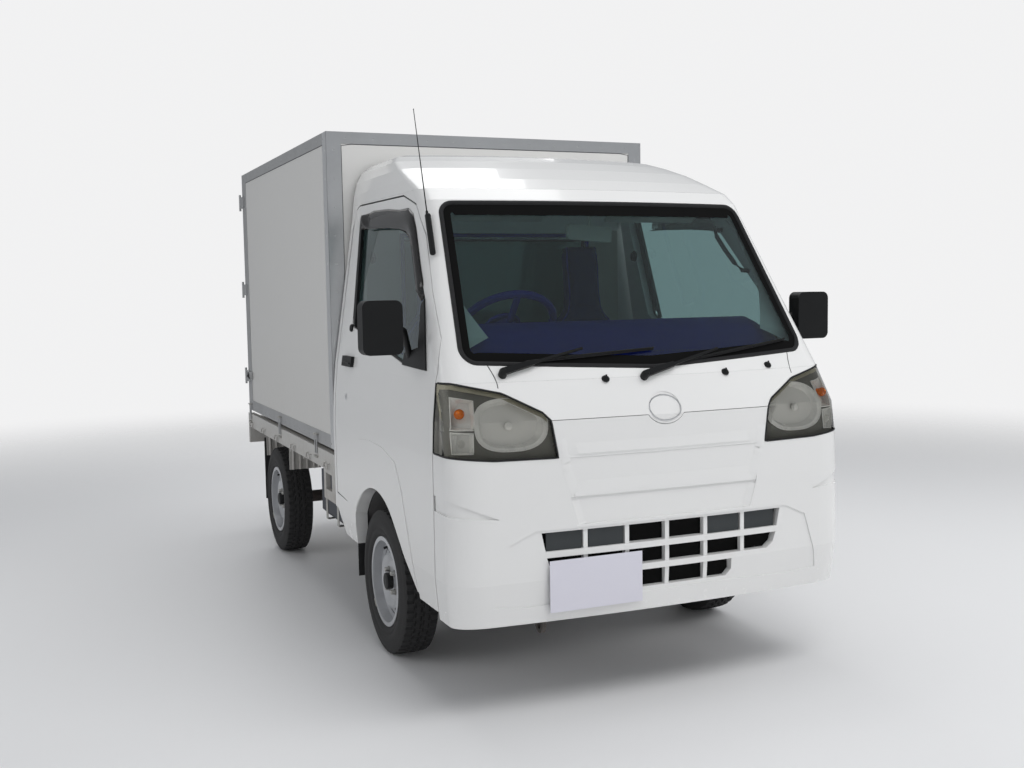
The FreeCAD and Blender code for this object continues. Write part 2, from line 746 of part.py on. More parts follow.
# Ladder frame: two channel rails, cross members, end beams
def chassis_frame():
    rail = block(RAIL_INNER_X, RAIL_OUTER_X, RAIL_FRONT_Y, RAIL_REAR_Y, RAIL_LOW_Z, RAIL_HIGH_Z)
    hollow = block(RAIL_INNER_X, RAIL_OUTER_X - RAIL_WALL, RAIL_FRONT_Y, RAIL_REAR_Y,
                   RAIL_LOW_Z + RAIL_WALL, RAIL_HIGH_Z - RAIL_WALL)
    rail = rail.cut(hollow)
    pieces = [rail, mirrored(rail)]
    for y in CROSS_YS:
        cross = block(-RAIL_OUTER_X + RAIL_WALL, RAIL_OUTER_X - RAIL_WALL, y - CROSS_HALF,
                      y + CROSS_HALF, CROSS_LOW_Z, CROSS_HIGH_Z)
        inner = block(-RAIL_INNER_X, RAIL_INNER_X, y - CROSS_HALF, y + CROSS_HALF - RAIL_WALL,
                      CROSS_LOW_Z + RAIL_WALL, CROSS_HIGH_Z - RAIL_WALL)
        pieces.append(cross.cut(inner))
    front = block(-END_BEAM_HALF, END_BEAM_HALF, RAIL_FRONT_Y, RAIL_FRONT_Y + END_BEAM_DEPTH,
                  CROSS_LOW_Z, CROSS_HIGH_Z)
    rear = block(-END_BEAM_HALF, END_BEAM_HALF, RAIL_REAR_Y - END_BEAM_DEPTH, RAIL_REAR_Y,
                 CROSS_LOW_Z, CROSS_HIGH_Z)
    save("chassis_frame", [joined(pieces + [front, rear])])


def engine_block():
    save("engine_block", [block(-ENGINE_X, ENGINE_X, ENGINE_FRONT_Y, ENGINE_REAR_Y,
                                ENGINE_LOW_Z, ENGINE_HIGH_Z)])


# Rear axle: one turned outline for stubs, brake plates, tube and differential ball, and the neck
def rear_axle():
    y = REAR_AXLE_Y
    half = [
        (WHEEL_X + STUB_TIP_X, 0),
        (WHEEL_X + STUB_TIP_X, STUB_RADIUS),
        (BRAKE_PLATE_OUTER_X, STUB_RADIUS),
        (BRAKE_PLATE_OUTER_X, BRAKE_PLATE_RADIUS),
        (BRAKE_PLATE_X, BRAKE_PLATE_RADIUS),
        (AXLE_TUBE_END_X, AXLE_TUBE_RADIUS),
    ]
    for share in DIFF_SHARES:
        angle = share * math.pi / 2
        half.append((DIFF_RADIUS * math.sin(angle), max(DIFF_RADIUS * math.cos(angle), AXLE_TUBE_RADIUS)))
    section = half + [(-x, r) for x, r in reversed(half)]
    axle = ring_solid(section, 0, y, AXLE_Z)
    neck = rod((0, y, AXLE_Z), (0, y - DIFF_NECK_FRONT, AXLE_Z), DIFF_NECK_RADIUS)
    save("rear_axle", [joined([axle, neck])])


# Leaf springs: stacked arched leaves, eyes hung from the rails, clamp over the axle
def leaf_springs():
    y = REAR_AXLE_Y
    pieces = []
    x0 = SPRING_X - SPRING_WIDTH_HALF
    longest = LEAF_HALF_LENGTHS[0]
    stack = LEAF_THICK * len(LEAF_HALF_LENGTHS)
    main_z = SPRING_BASE_Z + stack - LEAF_THICK
    for index, half in enumerate(LEAF_HALF_LENGTHS):
        low = main_z - index * LEAF_THICK
        rise = SPRING_RISE * (half / longest) ** 2
        under = Part.Arc(V(x0, y - half, low + rise), V(x0, y, low), V(x0, y + half, low + rise))
        over = Part.Arc(V(x0, y + half, low + rise + LEAF_THICK), V(x0, y, low + LEAF_THICK),
                        V(x0, y - half, low + rise + LEAF_THICK))
        right = Part.LineSegment(V(x0, y + half, low + rise), V(x0, y + half, low + rise + LEAF_THICK))
        left = Part.LineSegment(V(x0, y - half, low + rise + LEAF_THICK), V(x0, y - half, low + rise))
        outline = Part.Wire([under.toShape(), right.toShape(), over.toShape(), left.toShape()])
        pieces.append(Part.Face(outline).extrude(V(2 * SPRING_WIDTH_HALF, 0, 0)))
    for sign in (-1, 1):
        eye_z = main_z + SPRING_RISE
        eye_y = y + sign * longest
        pieces.append(rod((x0, eye_y, eye_z), (x0 + 2 * SPRING_WIDTH_HALF, eye_y, eye_z), SPRING_EYE_RADIUS))
        pieces.append(block(SPRING_X - LEAF_THICK, SPRING_X + LEAF_THICK, eye_y - SPRING_EYE_RADIUS,
                            eye_y + SPRING_EYE_RADIUS, eye_z, RAIL_LOW_Z - SEAT_GAP))
    clamp_z = SPRING_BASE_Z + stack
    pieces.append(block(x0, x0 + 2 * SPRING_WIDTH_HALF, y - SPRING_CLAMP_HALF, y + SPRING_CLAMP_HALF,
                        SPRING_BASE_Z + LEAF_THICK, clamp_z + SPRING_CLAMP_TOP))
    left = joined(pieces)
    save("leaf_springs", [left, mirrored(left)])


def propshaft():
    start = (0, ENGINE_REAR_Y + SEAT_GAP, SHAFT_FRONT_Z)
    end = (0, REAR_AXLE_Y - DIFF_NECK_FRONT - SEAT_GAP, AXLE_Z)
    front_yoke = rod(start, (0, ENGINE_REAR_Y + SHAFT_RADIUS, SHAFT_FRONT_Z), DIFF_NECK_RADIUS)
    rear_yoke = rod(end, (0, end[1] - SHAFT_RADIUS, AXLE_Z), DIFF_NECK_RADIUS)
    line_start = (0, ENGINE_REAR_Y + DIFF_NECK_RADIUS / 2, SHAFT_FRONT_Z)
    line_end = (0, end[1] - DIFF_NECK_RADIUS / 2, AXLE_Z)
    save("propshaft", [joined([front_yoke, rod(line_start, line_end, SHAFT_RADIUS), rear_yoke])])


# Exhaust: pipe from the engine past the axle to a round muffler and its tail pipe
def exhaust():
    points = [
        (PIPE_X, PIPE_FRONT_Y, PIPE_Z),
        (PIPE_X, PIPE_KICK_Y, PIPE_Z),
        (PIPE_KICK_X, REAR_AXLE_Y - DIFF_RADIUS, PIPE_OVER_Z),
        (PIPE_KICK_X, REAR_AXLE_Y + DIFF_RADIUS, PIPE_OVER_Z),
        (MUFFLER_X, MUFFLER_FRONT_Y - END_BEAM_DEPTH, MUFFLER_Z),
        (MUFFLER_X, MUFFLER_FRONT_Y + END_BEAM_DEPTH, MUFFLER_Z),
    ]
    line = Part.makePolygon([V(*p) for p in points])
    ring = Part.Wire(Part.makeCircle(PIPE_RADIUS, V(*points[0]), V(0, 1, 0)))
    pipe = line.makePipeShell([ring], True, False, 1)
    can = rod((MUFFLER_X, MUFFLER_FRONT_Y, MUFFLER_Z), (MUFFLER_X, MUFFLER_REAR_Y, MUFFLER_Z),
              MUFFLER_RADIUS)
    tail = rod((MUFFLER_X, MUFFLER_REAR_Y - END_BEAM_DEPTH, MUFFLER_Z),
               (MUFFLER_X, TAILPIPE_END_Y, MUFFLER_Z), PIPE_RADIUS)
    hang_y = CROSS_YS[-1]
    hanger = block(MUFFLER_X - PIPE_RADIUS, MUFFLER_X + PIPE_RADIUS, hang_y - HANGER_HALF,
                   hang_y + HANGER_HALF, MUFFLER_Z, CROSS_LOW_Z - SEAT_GAP)
    save("exhaust", [joined([can, pipe, tail, hanger])])


def fuel_tank():
    outline = [
        (-TANK_OUTER_X, TANK_LOW_Z + TANK_CHAMFER),
        (-TANK_OUTER_X + TANK_CHAMFER, TANK_LOW_Z),
        (-TANK_INNER_X - TANK_CHAMFER, TANK_LOW_Z),
        (-TANK_INNER_X, TANK_LOW_Z + TANK_CHAMFER),
        (-TANK_INNER_X, TANK_HIGH_Z),
        (-TANK_OUTER_X, TANK_HIGH_Z),
    ]
    tank = front_prism(outline, TANK_FRONT_Y, TANK_REAR_Y)
    strap_low = block(-TANK_INNER_X, -RAIL_OUTER_X - SEAT_GAP, TANK_FRONT_Y, TANK_REAR_Y,
                      RAIL_LOW_Z, RAIL_HIGH_Z)
    save("fuel_tank", [joined([tank, strap_low])])


# Half width of the cab's side at a height
def side_half(z):
    for below, above in zip(CAB_LEVELS, CAB_LEVELS[1:]):
        if below[0] <= z <= above[0]:
            return below[1] + (above[1] - below[1]) * (z - below[0]) / (above[0] - below[0])


# Cab bodies already lofted, by wall and rear face
BODIES = {}


# One plan outline of the cab at a height, set in by a wall thickness
def cab_outline(level, wall, rear_y):
    z, half, side_y, front_half, front_side_y, front_mid_y = level
    half = half - wall
    step = wall * FRONT_STEP_SHARE
    front_side_y = front_side_y + step
    front_mid_y = front_mid_y + step
    slope = 2 * (front_side_y - front_mid_y) / front_half
    corner_y = front_side_y + slope * (half - front_half)
    edges = [Part.LineSegment(V(-half, rear_y, z), V(half, rear_y, z)).toShape()]
    edges.append(Part.LineSegment(V(half, rear_y, z), V(half, side_y, z)).toShape())
    bend = Part.BezierCurve()
    bend.setPoles([V(half, side_y, z), V(half, corner_y, z), V(front_half, front_side_y, z)])
    edges.append(bend.toShape())
    front = Part.Arc(V(front_half, front_side_y, z), V(0, front_mid_y, z), V(-front_half, front_side_y, z))
    edges.append(front.toShape())
    bend = Part.BezierCurve()
    bend.setPoles([V(-front_half, front_side_y, z), V(-half, corner_y, z), V(-half, side_y, z)])
    edges.append(bend.toShape())
    edges.append(Part.LineSegment(V(-half, side_y, z), V(-half, rear_y, z)).toShape())
    return Part.Wire(edges)


def cab_body(wall, rear_y):
    key = (wall, rear_y)
    if key not in BODIES:
        BODIES[key] = Part.makeLoft([cab_outline(level, wall, rear_y) for level in CAB_LEVELS], True, True)
    return BODIES[key]


def roof_body(wall, rear_y):
    return Part.makeLoft([cab_outline(level, wall, rear_y) for level in ROOF_LEVELS], True, True)


# Door outline in the side view, clockwise from the front lower corner
def door_edges(x, gap):
    front = DOOR_FRONT_Y - gap
    rear = DOOR_REAR_Y + gap
    top = [(y, z + gap) for y, z in DOOR_TOP]
    top[0] = (front, top[0][1])
    top[-1] = (rear, top[-1][1])
    outline = [(front, DOOR_LOW_Z - gap)] + top + [(rear, DOOR_REAR_LOW[1] - gap)]
    outline += [ARCH_REAR]
    points = [V(x, y, z) for y, z in outline]
    edges = []
    for a, b in zip(points, points[1:]):
        edges.append(Part.LineSegment(a, b).toShape())
    crown = V(x, FRONT_AXLE_Y, AXLE_Z + ARCH_RADIUS)
    tangent = V(x, ARCH_TANGENT[0], ARCH_TANGENT[1])
    foot = V(x, ARCH_FRONT[0], ARCH_FRONT[1] - gap)
    edges.append(Part.Arc(points[-1], crown, tangent).toShape())
    edges.append(Part.LineSegment(tangent, foot).toShape())
    low = V(x, ARCH_FRONT[0], DOOR_LOW_Z - gap)
    edges.append(Part.LineSegment(foot, low).toShape())
    edges.append(Part.LineSegment(low, points[0]).toShape())
    return Part.Wire(edges)


def door_prism(gap):
    return Part.Face(door_edges(SIDE_CUT_X, gap)).extrude(V(FAR_X - SIDE_CUT_X, 0, 0))


def arch_prism(x0, x1, radius):
    return rod((x0, FRONT_AXLE_Y, AXLE_Z), (x1, FRONT_AXLE_Y, AXLE_Z), radius)


# Wheel arch opening below the cab: the round part and its straight front run
def arch_opening(x0, x1, grow):
    round_part = arch_prism(x0, x1, ARCH_RADIUS + grow)
    round_part = round_part.cut(block(x0, x1, SILL[0][0], FAR_Y, 0, ARCH_REAR[1]))
    run = side_prism([
        (ARCH_TANGENT[0] - grow, ARCH_TANGENT[1]),
        (FRONT_AXLE_Y, AXLE_Z),
        (FRONT_AXLE_Y, 0),
        (ARCH_FRONT[0] - grow - grow, 0),
        (ARCH_FRONT[0] - grow - grow, DOOR_LOW_Z - SEAM),
        (ARCH_FRONT[0] - grow - grow, ARCH_FRONT[1] - grow),
    ], x0, x1)
    return joined([round_part, run])


def screen_prism(gap):
    low, high = SCREEN
    outline = [
        (-low[0] + gap, low[1] + gap),
        (-high[0] + gap, high[1] - gap),
        (high[0] - gap, high[1] - gap),
        (low[0] - gap, low[1] + gap),
        (0, low[1] - SCREEN_DIP + gap),
    ]
    prism = front_prism(outline, -FAR_Y, -FAR_X)
    corners = []
    for edge in prism.Edges:
        a = edge.Vertexes[0].Point
        b = edge.Vertexes[1].Point
        if abs(a.x - b.x) + abs(a.z - b.z) < SEAT_GAP and abs(a.x) > SIDE_CUT_X:
            corners.append(edge)
    return prism.makeFillet(SCREEN_ROUND - gap, corners)


def headlamp_prism(gap):
    xs = [p[0] for p in HEADLAMP]
    zs = [p[1] for p in HEADLAMP]
    middle_x = (min(xs) + max(xs)) / 2
    middle_z = (min(zs) + max(zs)) / 2
    outline = []
    for x, z in HEADLAMP:
        out_x = x + gap if x > middle_x else x - gap
        out_z = z + gap if z > middle_z else z - gap
        outline.append((out_x, out_z))
    return front_prism(outline, -FAR_Y, HEADLAMP_REAR_Y + gap)


# Cab shell: pillars, sills, header rails and rear wall, with the inner front wall behind the bumper
def cab_shell():
    outer = cab_body(0, CAB_REAR_Y)
    hollow = cab_body(CAB_WALL, CAB_REAR_Y - REAR_WALL)
    shell = outer.cut(hollow)
    skin = outer.cut(cab_body(BUMPER_WALL + SEAT_GAP, CAB_REAR_Y))
    front_zone = block(-FAR_X, FAR_X, -FAR_Y, DOOR_FRONT_Y, 0, COWL_Z)
    shell = shell.cut(skin.common(front_zone))
    shell = shell.cut(block(-FAR_X, FAR_X, -FAR_Y, DOOR_FRONT_Y, 0, FLOOR_Z))
    shell = shell.cut(block(-FAR_X, FAR_X, -FAR_Y, SILL[0][0] - SEAM, 0, DOOR_LOW_Z))
    shell = shell.cut(block(-FAR_X, FAR_X, -FAR_Y, FAR_Y, CAB_TOP_Z, FAR_Z))
    inner_half = HALF_WIDTH - CAB_WALL
    shell = shell.cut(block(-inner_half, inner_half, -FAR_Y, FAR_Y, 0, FLOOR_Z))
    opening = door_prism(SEAM)
    arch = arch_opening(SIDE_CUT_X, FAR_X, 0)
    for cutter in (opening, arch):
        shell = shell.cut(cutter)
        shell = shell.cut(mirrored(cutter))
    below = [(SILL[0][0] - SEAM, 0)] + [(SILL[0][0] - SEAM, SILL[0][1])] + list(SILL) + [(SILL[-1][0], 0)]
    shell = shell.cut(side_prism(below, -FAR_X, FAR_X))
    shell = shell.cut(screen_prism(0))
    shell = shell.cut(block(-REAR_WINDOW_HALF, REAR_WINDOW_HALF, CAB_REAR_Y - REAR_WALL * 2, FAR_Y,
                            REAR_WINDOW_LOW_Z, REAR_WINDOW_HIGH_Z))
    solids = sorted(shell.Solids, key=lambda s: s.Volume, reverse=True)
    return solids


def cab_roof():
    outer = roof_body(0, CAB_REAR_Y)
    inner = roof_body(ROOF_WALL, CAB_REAR_Y - REAR_WALL)
    inner = inner.common(block(-FAR_X, FAR_X, -FAR_Y, FAR_Y, 0, ROOF_LINING_TOP_Z))
    save("cab_roof", [outer.cut(inner)])


# Headlamps fill the outer layer of the front corners
def front_layer(gap):
    outer = cab_body(0, CAB_REAR_Y)
    layer = outer.cut(cab_body(BUMPER_WALL, CAB_REAR_Y))
    return layer.common(block(-FAR_X, FAR_X, -FAR_Y, DOOR_FRONT_Y - gap, 0, COWL_Z - SEAT_GAP))


def headlamps(layer):
    lamp = layer.common(headlamp_prism(0))
    save("headlamps", [lamp, mirrored(lamp)])


def oval_prism(grow):
    ring = Part.Ellipse(V(0, 0, 0), EMBLEM_HALF_X + grow, EMBLEM_HALF_Z + grow).toShape()
    face = Part.Face(Part.Wire([ring]))
    face.rotate(V(0, 0, 0), V(1, 0, 0), 90)
    face.translate(V(0, -FAR_Y, EMBLEM_Z))
    return face.extrude(V(0, FAR_Y + DOOR_FRONT_Y, 0))


# Symmetric outline in the front view, from the points of its left half
def face_prism(points):
    outline = list(points) + [(-x, z) for x, z in reversed(points)]
    return front_prism(outline, -FAR_Y, DOOR_FRONT_Y)


# Front panel between the lamps, with a tongue round a shallow bare oval
def front_panel(layer):
    upper = block(-FAR_X, FAR_X, -FAR_Y, DOOR_FRONT_Y, FACE_SEAM_Z + LAMP_GAP, FAR_Z)
    panel = layer.common(joined([upper, oval_prism(EMBLEM_MARGIN)]))
    lamp = headlamp_prism(LAMP_GAP)
    panel = panel.cut(lamp).cut(mirrored(lamp))
    panel = panel.cut(oval_prism(0).cut(cab_body(EMBLEM_DEPTH, CAB_REAR_Y)))
    save("front_panel", [max(panel.Solids, key=lambda s: s.Volume)])


# Bumper and lower face moulding: stepped middle, wedge corners, grille mouth in three rows with posts
def front_bumper(layer):
    body = layer.common(block(-FAR_X, FAR_X, -FAR_Y, DOOR_FRONT_Y, 0, FACE_SEAM_Z))
    body = body.cut(oval_prism(EMBLEM_MARGIN + LAMP_GAP))
    lamp = headlamp_prism(LAMP_GAP)
    body = body.cut(lamp).cut(mirrored(lamp))
    arch = arch_opening(SIDE_CUT_X, FAR_X, 0)
    body = body.cut(arch).cut(mirrored(arch))
    wedge = front_prism(CORNER_WEDGE, -FAR_Y, DOOR_FRONT_Y)
    recesses = (
        (face_prism(FRAME_RECESS), FRAME_DEPTH),
        (face_prism(STEP_LOW), STEP_LOW_DEPTH),
        (face_prism(STEP_HIGH), STEP_HIGH_DEPTH),
        (wedge, WEDGE_DEPTH),
        (mirrored(wedge), WEDGE_DEPTH),
    )
    for region, depth in recesses:
        body = body.cut(region.cut(cab_body(depth, CAB_REAR_Y)))
    rows = [face_prism(row) for row in GRILLE_ROWS]
    low_z = GRILLE_ROWS[-1][-1][1]
    high_z = GRILLE_ROWS[0][0][1]
    back_y = NOSE_Y + GRILLE_BAR_SETBACK + GRILLE_BAR_DEPTH
    posts = []
    for x in GRILLE_POST_XS:
        post = block(x - GRILLE_POST_HALF, x + GRILLE_POST_HALF, -FAR_Y, back_y, low_z, high_z)
        posts.append(body.common(post).common(cab_body(GRILLE_BAR_SETBACK, CAB_REAR_Y)))
    for row in rows:
        body = body.cut(row)
    save("front_bumper", [max(joined([body] + posts).Solids, key=lambda s: s.Volume)])


def cab_glass():
    layer = cab_body(SCREEN_OUT, CAB_REAR_Y).cut(cab_body(SCREEN_IN, CAB_REAR_Y))
    screen = layer.common(screen_prism(SEAT_GAP))
    screen = max(screen.Solids, key=lambda s: s.Volume)
    pane = block(-REAR_WINDOW_HALF + SEAT_GAP, REAR_WINDOW_HALF - SEAT_GAP, REAR_GLASS_Y - GLASS_SHEET,
                 REAR_GLASS_Y, REAR_WINDOW_LOW_Z + SEAT_GAP, REAR_WINDOW_HIGH_Z - SEAT_GAP)
    save("cab_glass", [screen, pane])


def window_prism(gap):
    ys = [p[0] for p in WINDOW]
    zs = [p[1] for p in WINDOW]
    centre_y = (min(ys) + max(ys)) / 2
    centre_z = (min(zs) + max(zs)) / 2
    outline = []
    for y, z in WINDOW:
        away = math.hypot(y - centre_y, z - centre_z)
        outline.append((y - gap * 2 * (y - centre_y) / away, z - gap * 2 * (z - centre_z) / away))
    return side_prism(outline, SIDE_CUT_X, FAR_X)


# Door: pressed outer and inner skins as one thick panel, arch cut-out below, window opening above
def door():
    outer = cab_body(0, CAB_REAR_Y)
    layer = outer.cut(cab_body(DOOR_WALL, CAB_REAR_Y))
    panel = layer.common(door_prism(0))
    flare_zone = side_prism(list(ARCH_FLARE) + [(FRONT_AXLE_Y, AXLE_Z)], HALF_WIDTH - DOOR_WALL, FAR_X)
    flare = cab_body(-FLARE_OUT, CAB_REAR_Y).cut(cab_body(FLARE_OUT, CAB_REAR_Y)).common(flare_zone)
    panel = joined([panel, flare.common(door_prism(0))])
    panel = panel.cut(window_prism(0))
    draft = Part.Face(loop([
        (HALF_WIDTH, DOOR_REAR_Y, 0),
        (SIDE_CUT_X, DOOR_REAR_Y - DOOR_DRAFT, 0),
        (SIDE_CUT_X, DOOR_REAR_Y + DOOR_DRAFT, 0),
        (HALF_WIDTH, DOOR_REAR_Y + DOOR_DRAFT, 0),
    ])).extrude(V(0, 0, FAR_Z))
    panel = max(panel.cut(draft).Solids, key=lambda s: s.Volume)
    glass_layer = cab_body(GLASS_OUT, CAB_REAR_Y).cut(cab_body(GLASS_IN, CAB_REAR_Y))
    glass = glass_layer.common(window_prism(SEAT_GAP))
    pieces = {"panel": panel, "glass": glass, "fittings": door_fittings(), "visor": door_visor()}
    for name, shape in pieces.items():
        save("door_left_" + name, [shape])
        save("door_right_" + name, [mirrored(shape)])


# Black door fittings: pull handle, and the mirror on its arm and corner plate
def door_fittings():
    grip_zone = block(SIDE_CUT_X, FAR_X, HANDLE_FRONT_Y, HANDLE_REAR_Y, HANDLE_LOW_Z, HANDLE_HIGH_Z)
    proud = cab_body(-HANDLE_OUT, CAB_REAR_Y)
    grip = proud.cut(cab_body(-SEAT_GAP, CAB_REAR_Y)).common(grip_zone)
    plate_zone = side_prism(MIRROR_BASE, SIDE_CUT_X, FAR_X)
    plate = cab_body(-MIRROR_BASE_OUT, CAB_REAR_Y).cut(cab_body(-SEAT_GAP, CAB_REAR_Y)).common(plate_zone)
    foot_y, foot_z = MIRROR_FOOT
    foot_x = side_half(foot_z) - MIRROR_BASE_OUT
    housing = block(MIRROR_INNER_X, MIRROR_OUTER_X, MIRROR_Y, MIRROR_Y + MIRROR_DEPTH, MIRROR_LOW_Z,
                    MIRROR_HIGH_Z)
    upright = [e for e in housing.Edges if abs(e.Vertexes[0].Y - e.Vertexes[1].Y) > SEAT_GAP]
    housing = housing.makeFillet(MIRROR_ROUND, upright)
    head = (MIRROR_INNER_X + MIRROR_ROUND, MIRROR_Y + MIRROR_DEPTH / 2, MIRROR_ARM_Z)
    arm = joined([
        rod((foot_x, foot_y, foot_z), MIRROR_ELBOW, MIRROR_ARM_RADIUS),
        Part.makeSphere(MIRROR_ARM_RADIUS, V(*MIRROR_ELBOW)),
        rod(MIRROR_ELBOW, head, MIRROR_ARM_RADIUS),
    ]).cut(cab_body(-SEAT_GAP, CAB_REAR_Y))
    arm = max(arm.Solids, key=lambda s: s.Volume)
    mirror = joined([plate, arm, housing])
    return Part.makeCompound([grip.Solids[0], mirror])


# Smoked rain visor along the top and front of the side window
def door_visor():
    proud = cab_body(-VISOR_OUT, CAB_REAR_Y).cut(cab_body(-VISOR_OUT + VISOR_SHEET, CAB_REAR_Y))
    foot = cab_body(-VISOR_OUT, CAB_REAR_Y).cut(cab_body(-SEAT_GAP, CAB_REAR_Y))
    top = [WINDOW[1], WINDOW[2], WINDOW[3], WINDOW[4]]
    rise = VISOR_SHEET * 4
    band = [(y, z + rise) for y, z in top] + [(y + VISOR_DROP / 2, z - VISOR_DROP) for y, z in reversed(top)]
    strip = [(y, z + rise) for y, z in top] + [(y, z + rise - VISOR_SHEET * 2) for y, z in reversed(top)]
    sheet = proud.common(side_prism(band, SIDE_CUT_X, FAR_X))
    edge = foot.common(side_prism(strip, SIDE_CUT_X, FAR_X))
    visor = joined([sheet, edge])
    return max(visor.Solids, key=lambda s: s.Volume)


# Inner floor sheet, seat base with its strut towers, wheel housings, each seated beside the next
def cab_floor():
    y = FRONT_AXLE_Y
    rear_y = CAB_REAR_Y - REAR_WALL - SEAT_GAP
    wide = LINER_OUTER_X
    grow = ARCH_RADIUS + LINER_OUT
    riser_front = RISER_Y - FLOOR_SHEET
    floor = block(-wide, wide, -FAR_Y, riser_front - SEAT_GAP, FLOOR_Z, FLOOR_Z + FLOOR_SHEET)
    floor = floor.common(cab_body(CAB_WALL + SEAT_GAP, rear_y))
    riser = block(-wide, wide, riser_front, RISER_Y, FLOOR_Z, SEAT_BASE_Z)
    lid = block(-wide, wide, riser_front, rear_y, SEAT_BASE_Z - FLOOR_SHEET, SEAT_BASE_Z)
    side = block(wide - FLOOR_SHEET, wide, RISER_Y, rear_y, FLOOR_Z, SEAT_BASE_Z)
    tower = block(STRUT_X - TOWER_HALF - FLOOR_SHEET, STRUT_X + TOWER_HALF, y - TOWER_HALF,
                  y + TOWER_HALF, TOWER_LOW_Z, SEAT_BASE_Z)
    hollow = arch_prism(LINER_INNER_X - SEAT_GAP, wide + SEAM, grow + LINER_WALL + SEAT_GAP).cut(tower)
    base = joined([riser, lid, side, mirrored(side), tower, mirrored(tower)])
    base = base.cut(hollow).cut(mirrored(hollow))
    housing = arch_prism(LINER_INNER_X, wide, grow + LINER_WALL)
    housing = housing.cut(arch_prism(LINER_INNER_X + LINER_WALL, wide, grow))
    housing = housing.common(block(LINER_INNER_X, wide, -FAR_Y, FAR_Y, LINER_LOW_Z, SEAT_BASE_Z))
    around_tower = block(STRUT_X - TOWER_HALF - FLOOR_SHEET - SEAT_GAP, STRUT_X + TOWER_HALF + SEAT_GAP,
                         y - TOWER_HALF - SEAT_GAP, y + TOWER_HALF + SEAT_GAP, 0, FAR_Z)
    housing = housing.cut(around_tower)
    housing = max(housing.Solids, key=lambda s: s.Volume)
    save("cab_floor", [floor, max(base.Solids, key=lambda s: s.Volume), housing, mirrored(housing)])


def dashboard():
    inner = cab_body(CAB_WALL + SEAT_GAP, CAB_REAR_Y - REAR_WALL)
    outline = [
        (-FAR_Y, DASH_LOW_Z),
        (DASH_REAR_Y, DASH_LOW_Z),
        (DASH_LIP_Y, (DASH_LOW_Z + DASH_HIGH_Z) / 2),
        (DASH_LIP_Y - FLOOR_SHEET, DASH_HIGH_Z - FLOOR_SHEET),
        (DASH_REAR_Y, DASH_HIGH_Z),
        (-FAR_Y, DASH_HIGH_Z - FLOOR_SHEET * 3),
    ]
    body = side_prism(outline, -DASH_HALF, DASH_HALF).common(inner)
    body = max(body.Solids, key=lambda s: s.Volume)
    centre = V(*STEER_CENTRE)
    low = V(*COLUMN_LOW)
    axis = (centre - low).normalize()
    column_end = centre - axis * (STEER_HUB_DEPTH + SEAT_GAP)
    column = Part.makeCylinder(COLUMN_RADIUS, low.distanceToPoint(column_end), low, axis)
    save("dashboard", [joined([body, column])])
    return centre, axis


# Steering wheel: rim, three spokes and a hub, square to the column
def steering_wheel(centre, axis):
    across = V(1, 0, 0)
    grip = []
    for corner in range(STEER_RIM_SIDES):
        angle = 2 * math.pi * corner / STEER_RIM_SIDES
        out = STEER_RADIUS + STEER_RIM_RADIUS * math.cos(angle)
        grip.append(centre + across * out + axis * (STEER_RIM_RADIUS * math.sin(angle)))
    rim = Part.Face(Part.makePolygon(grip + grip[:1])).revolve(centre, axis, 360)
    hub = Part.makeCylinder(STEER_HUB_RADIUS, STEER_HUB_DEPTH + STEER_RIM_RADIUS,
                            centre - axis * STEER_HUB_DEPTH, axis)
    down = axis.cross(across)
    pieces = [rim, hub]
    for along in (across, across * -1, down * -1):
        end = centre + along * STEER_RADIUS
        start = centre - axis * (STEER_HUB_DEPTH / 2)
        pieces.append(Part.makeCylinder(SPOKE_RADIUS, start.distanceToPoint(end), start, end - start))
    save("steering_wheel", [joined(pieces)])


def rounded(shape, radius):
    return shape.makeFillet(radius, shape.Edges)


# Seats: cushion on the seat base, one-piece back that narrows above the shoulders to a headrest
def seats():
    solids = []
    lean_y = CUSHION_REAR_Y + BACK_LEAN
    profile = [
        (CUSHION_REAR_Y - 2 * SEAT_ROUND, BACK_LOW_Z),
        (lean_y - BACK_TOP_THICK / 2, BACK_HIGH_Z),
        (lean_y + BACK_TOP_THICK / 2, BACK_HIGH_Z),
        (CUSHION_REAR_Y + BACK_THICK, BACK_LOW_Z),
    ]
    for sign in (-1, 1):
        x = sign * SEAT_X
        cushion = block(x - SEAT_WIDTH_HALF, x + SEAT_WIDTH_HALF, CUSHION_FRONT_Y, CUSHION_REAR_Y,
                        CUSHION_Z, CUSHION_Z + CUSHION_THICK)
        half = [
            (SEAT_WIDTH_HALF, BACK_LOW_Z),
            (SEAT_WIDTH_HALF, BACK_SHOULDER_Z),
            (HEADREST_HALF, BACK_NECK_Z),
            (HEADREST_HALF, BACK_HIGH_Z),
        ]
        front = [(x + out, z) for out, z in half] + [(x - out, z) for out, z in reversed(half)]
        back = side_prism(profile, x - SEAT_WIDTH_HALF, x + SEAT_WIDTH_HALF)
        back = back.common(front_prism(front, CUSHION_FRONT_Y, CAB_REAR_Y))
        solids.append(joined([rounded(cushion, SEAT_ROUND), rounded(back, SEAT_ROUND)]))
    save("seats", solids)


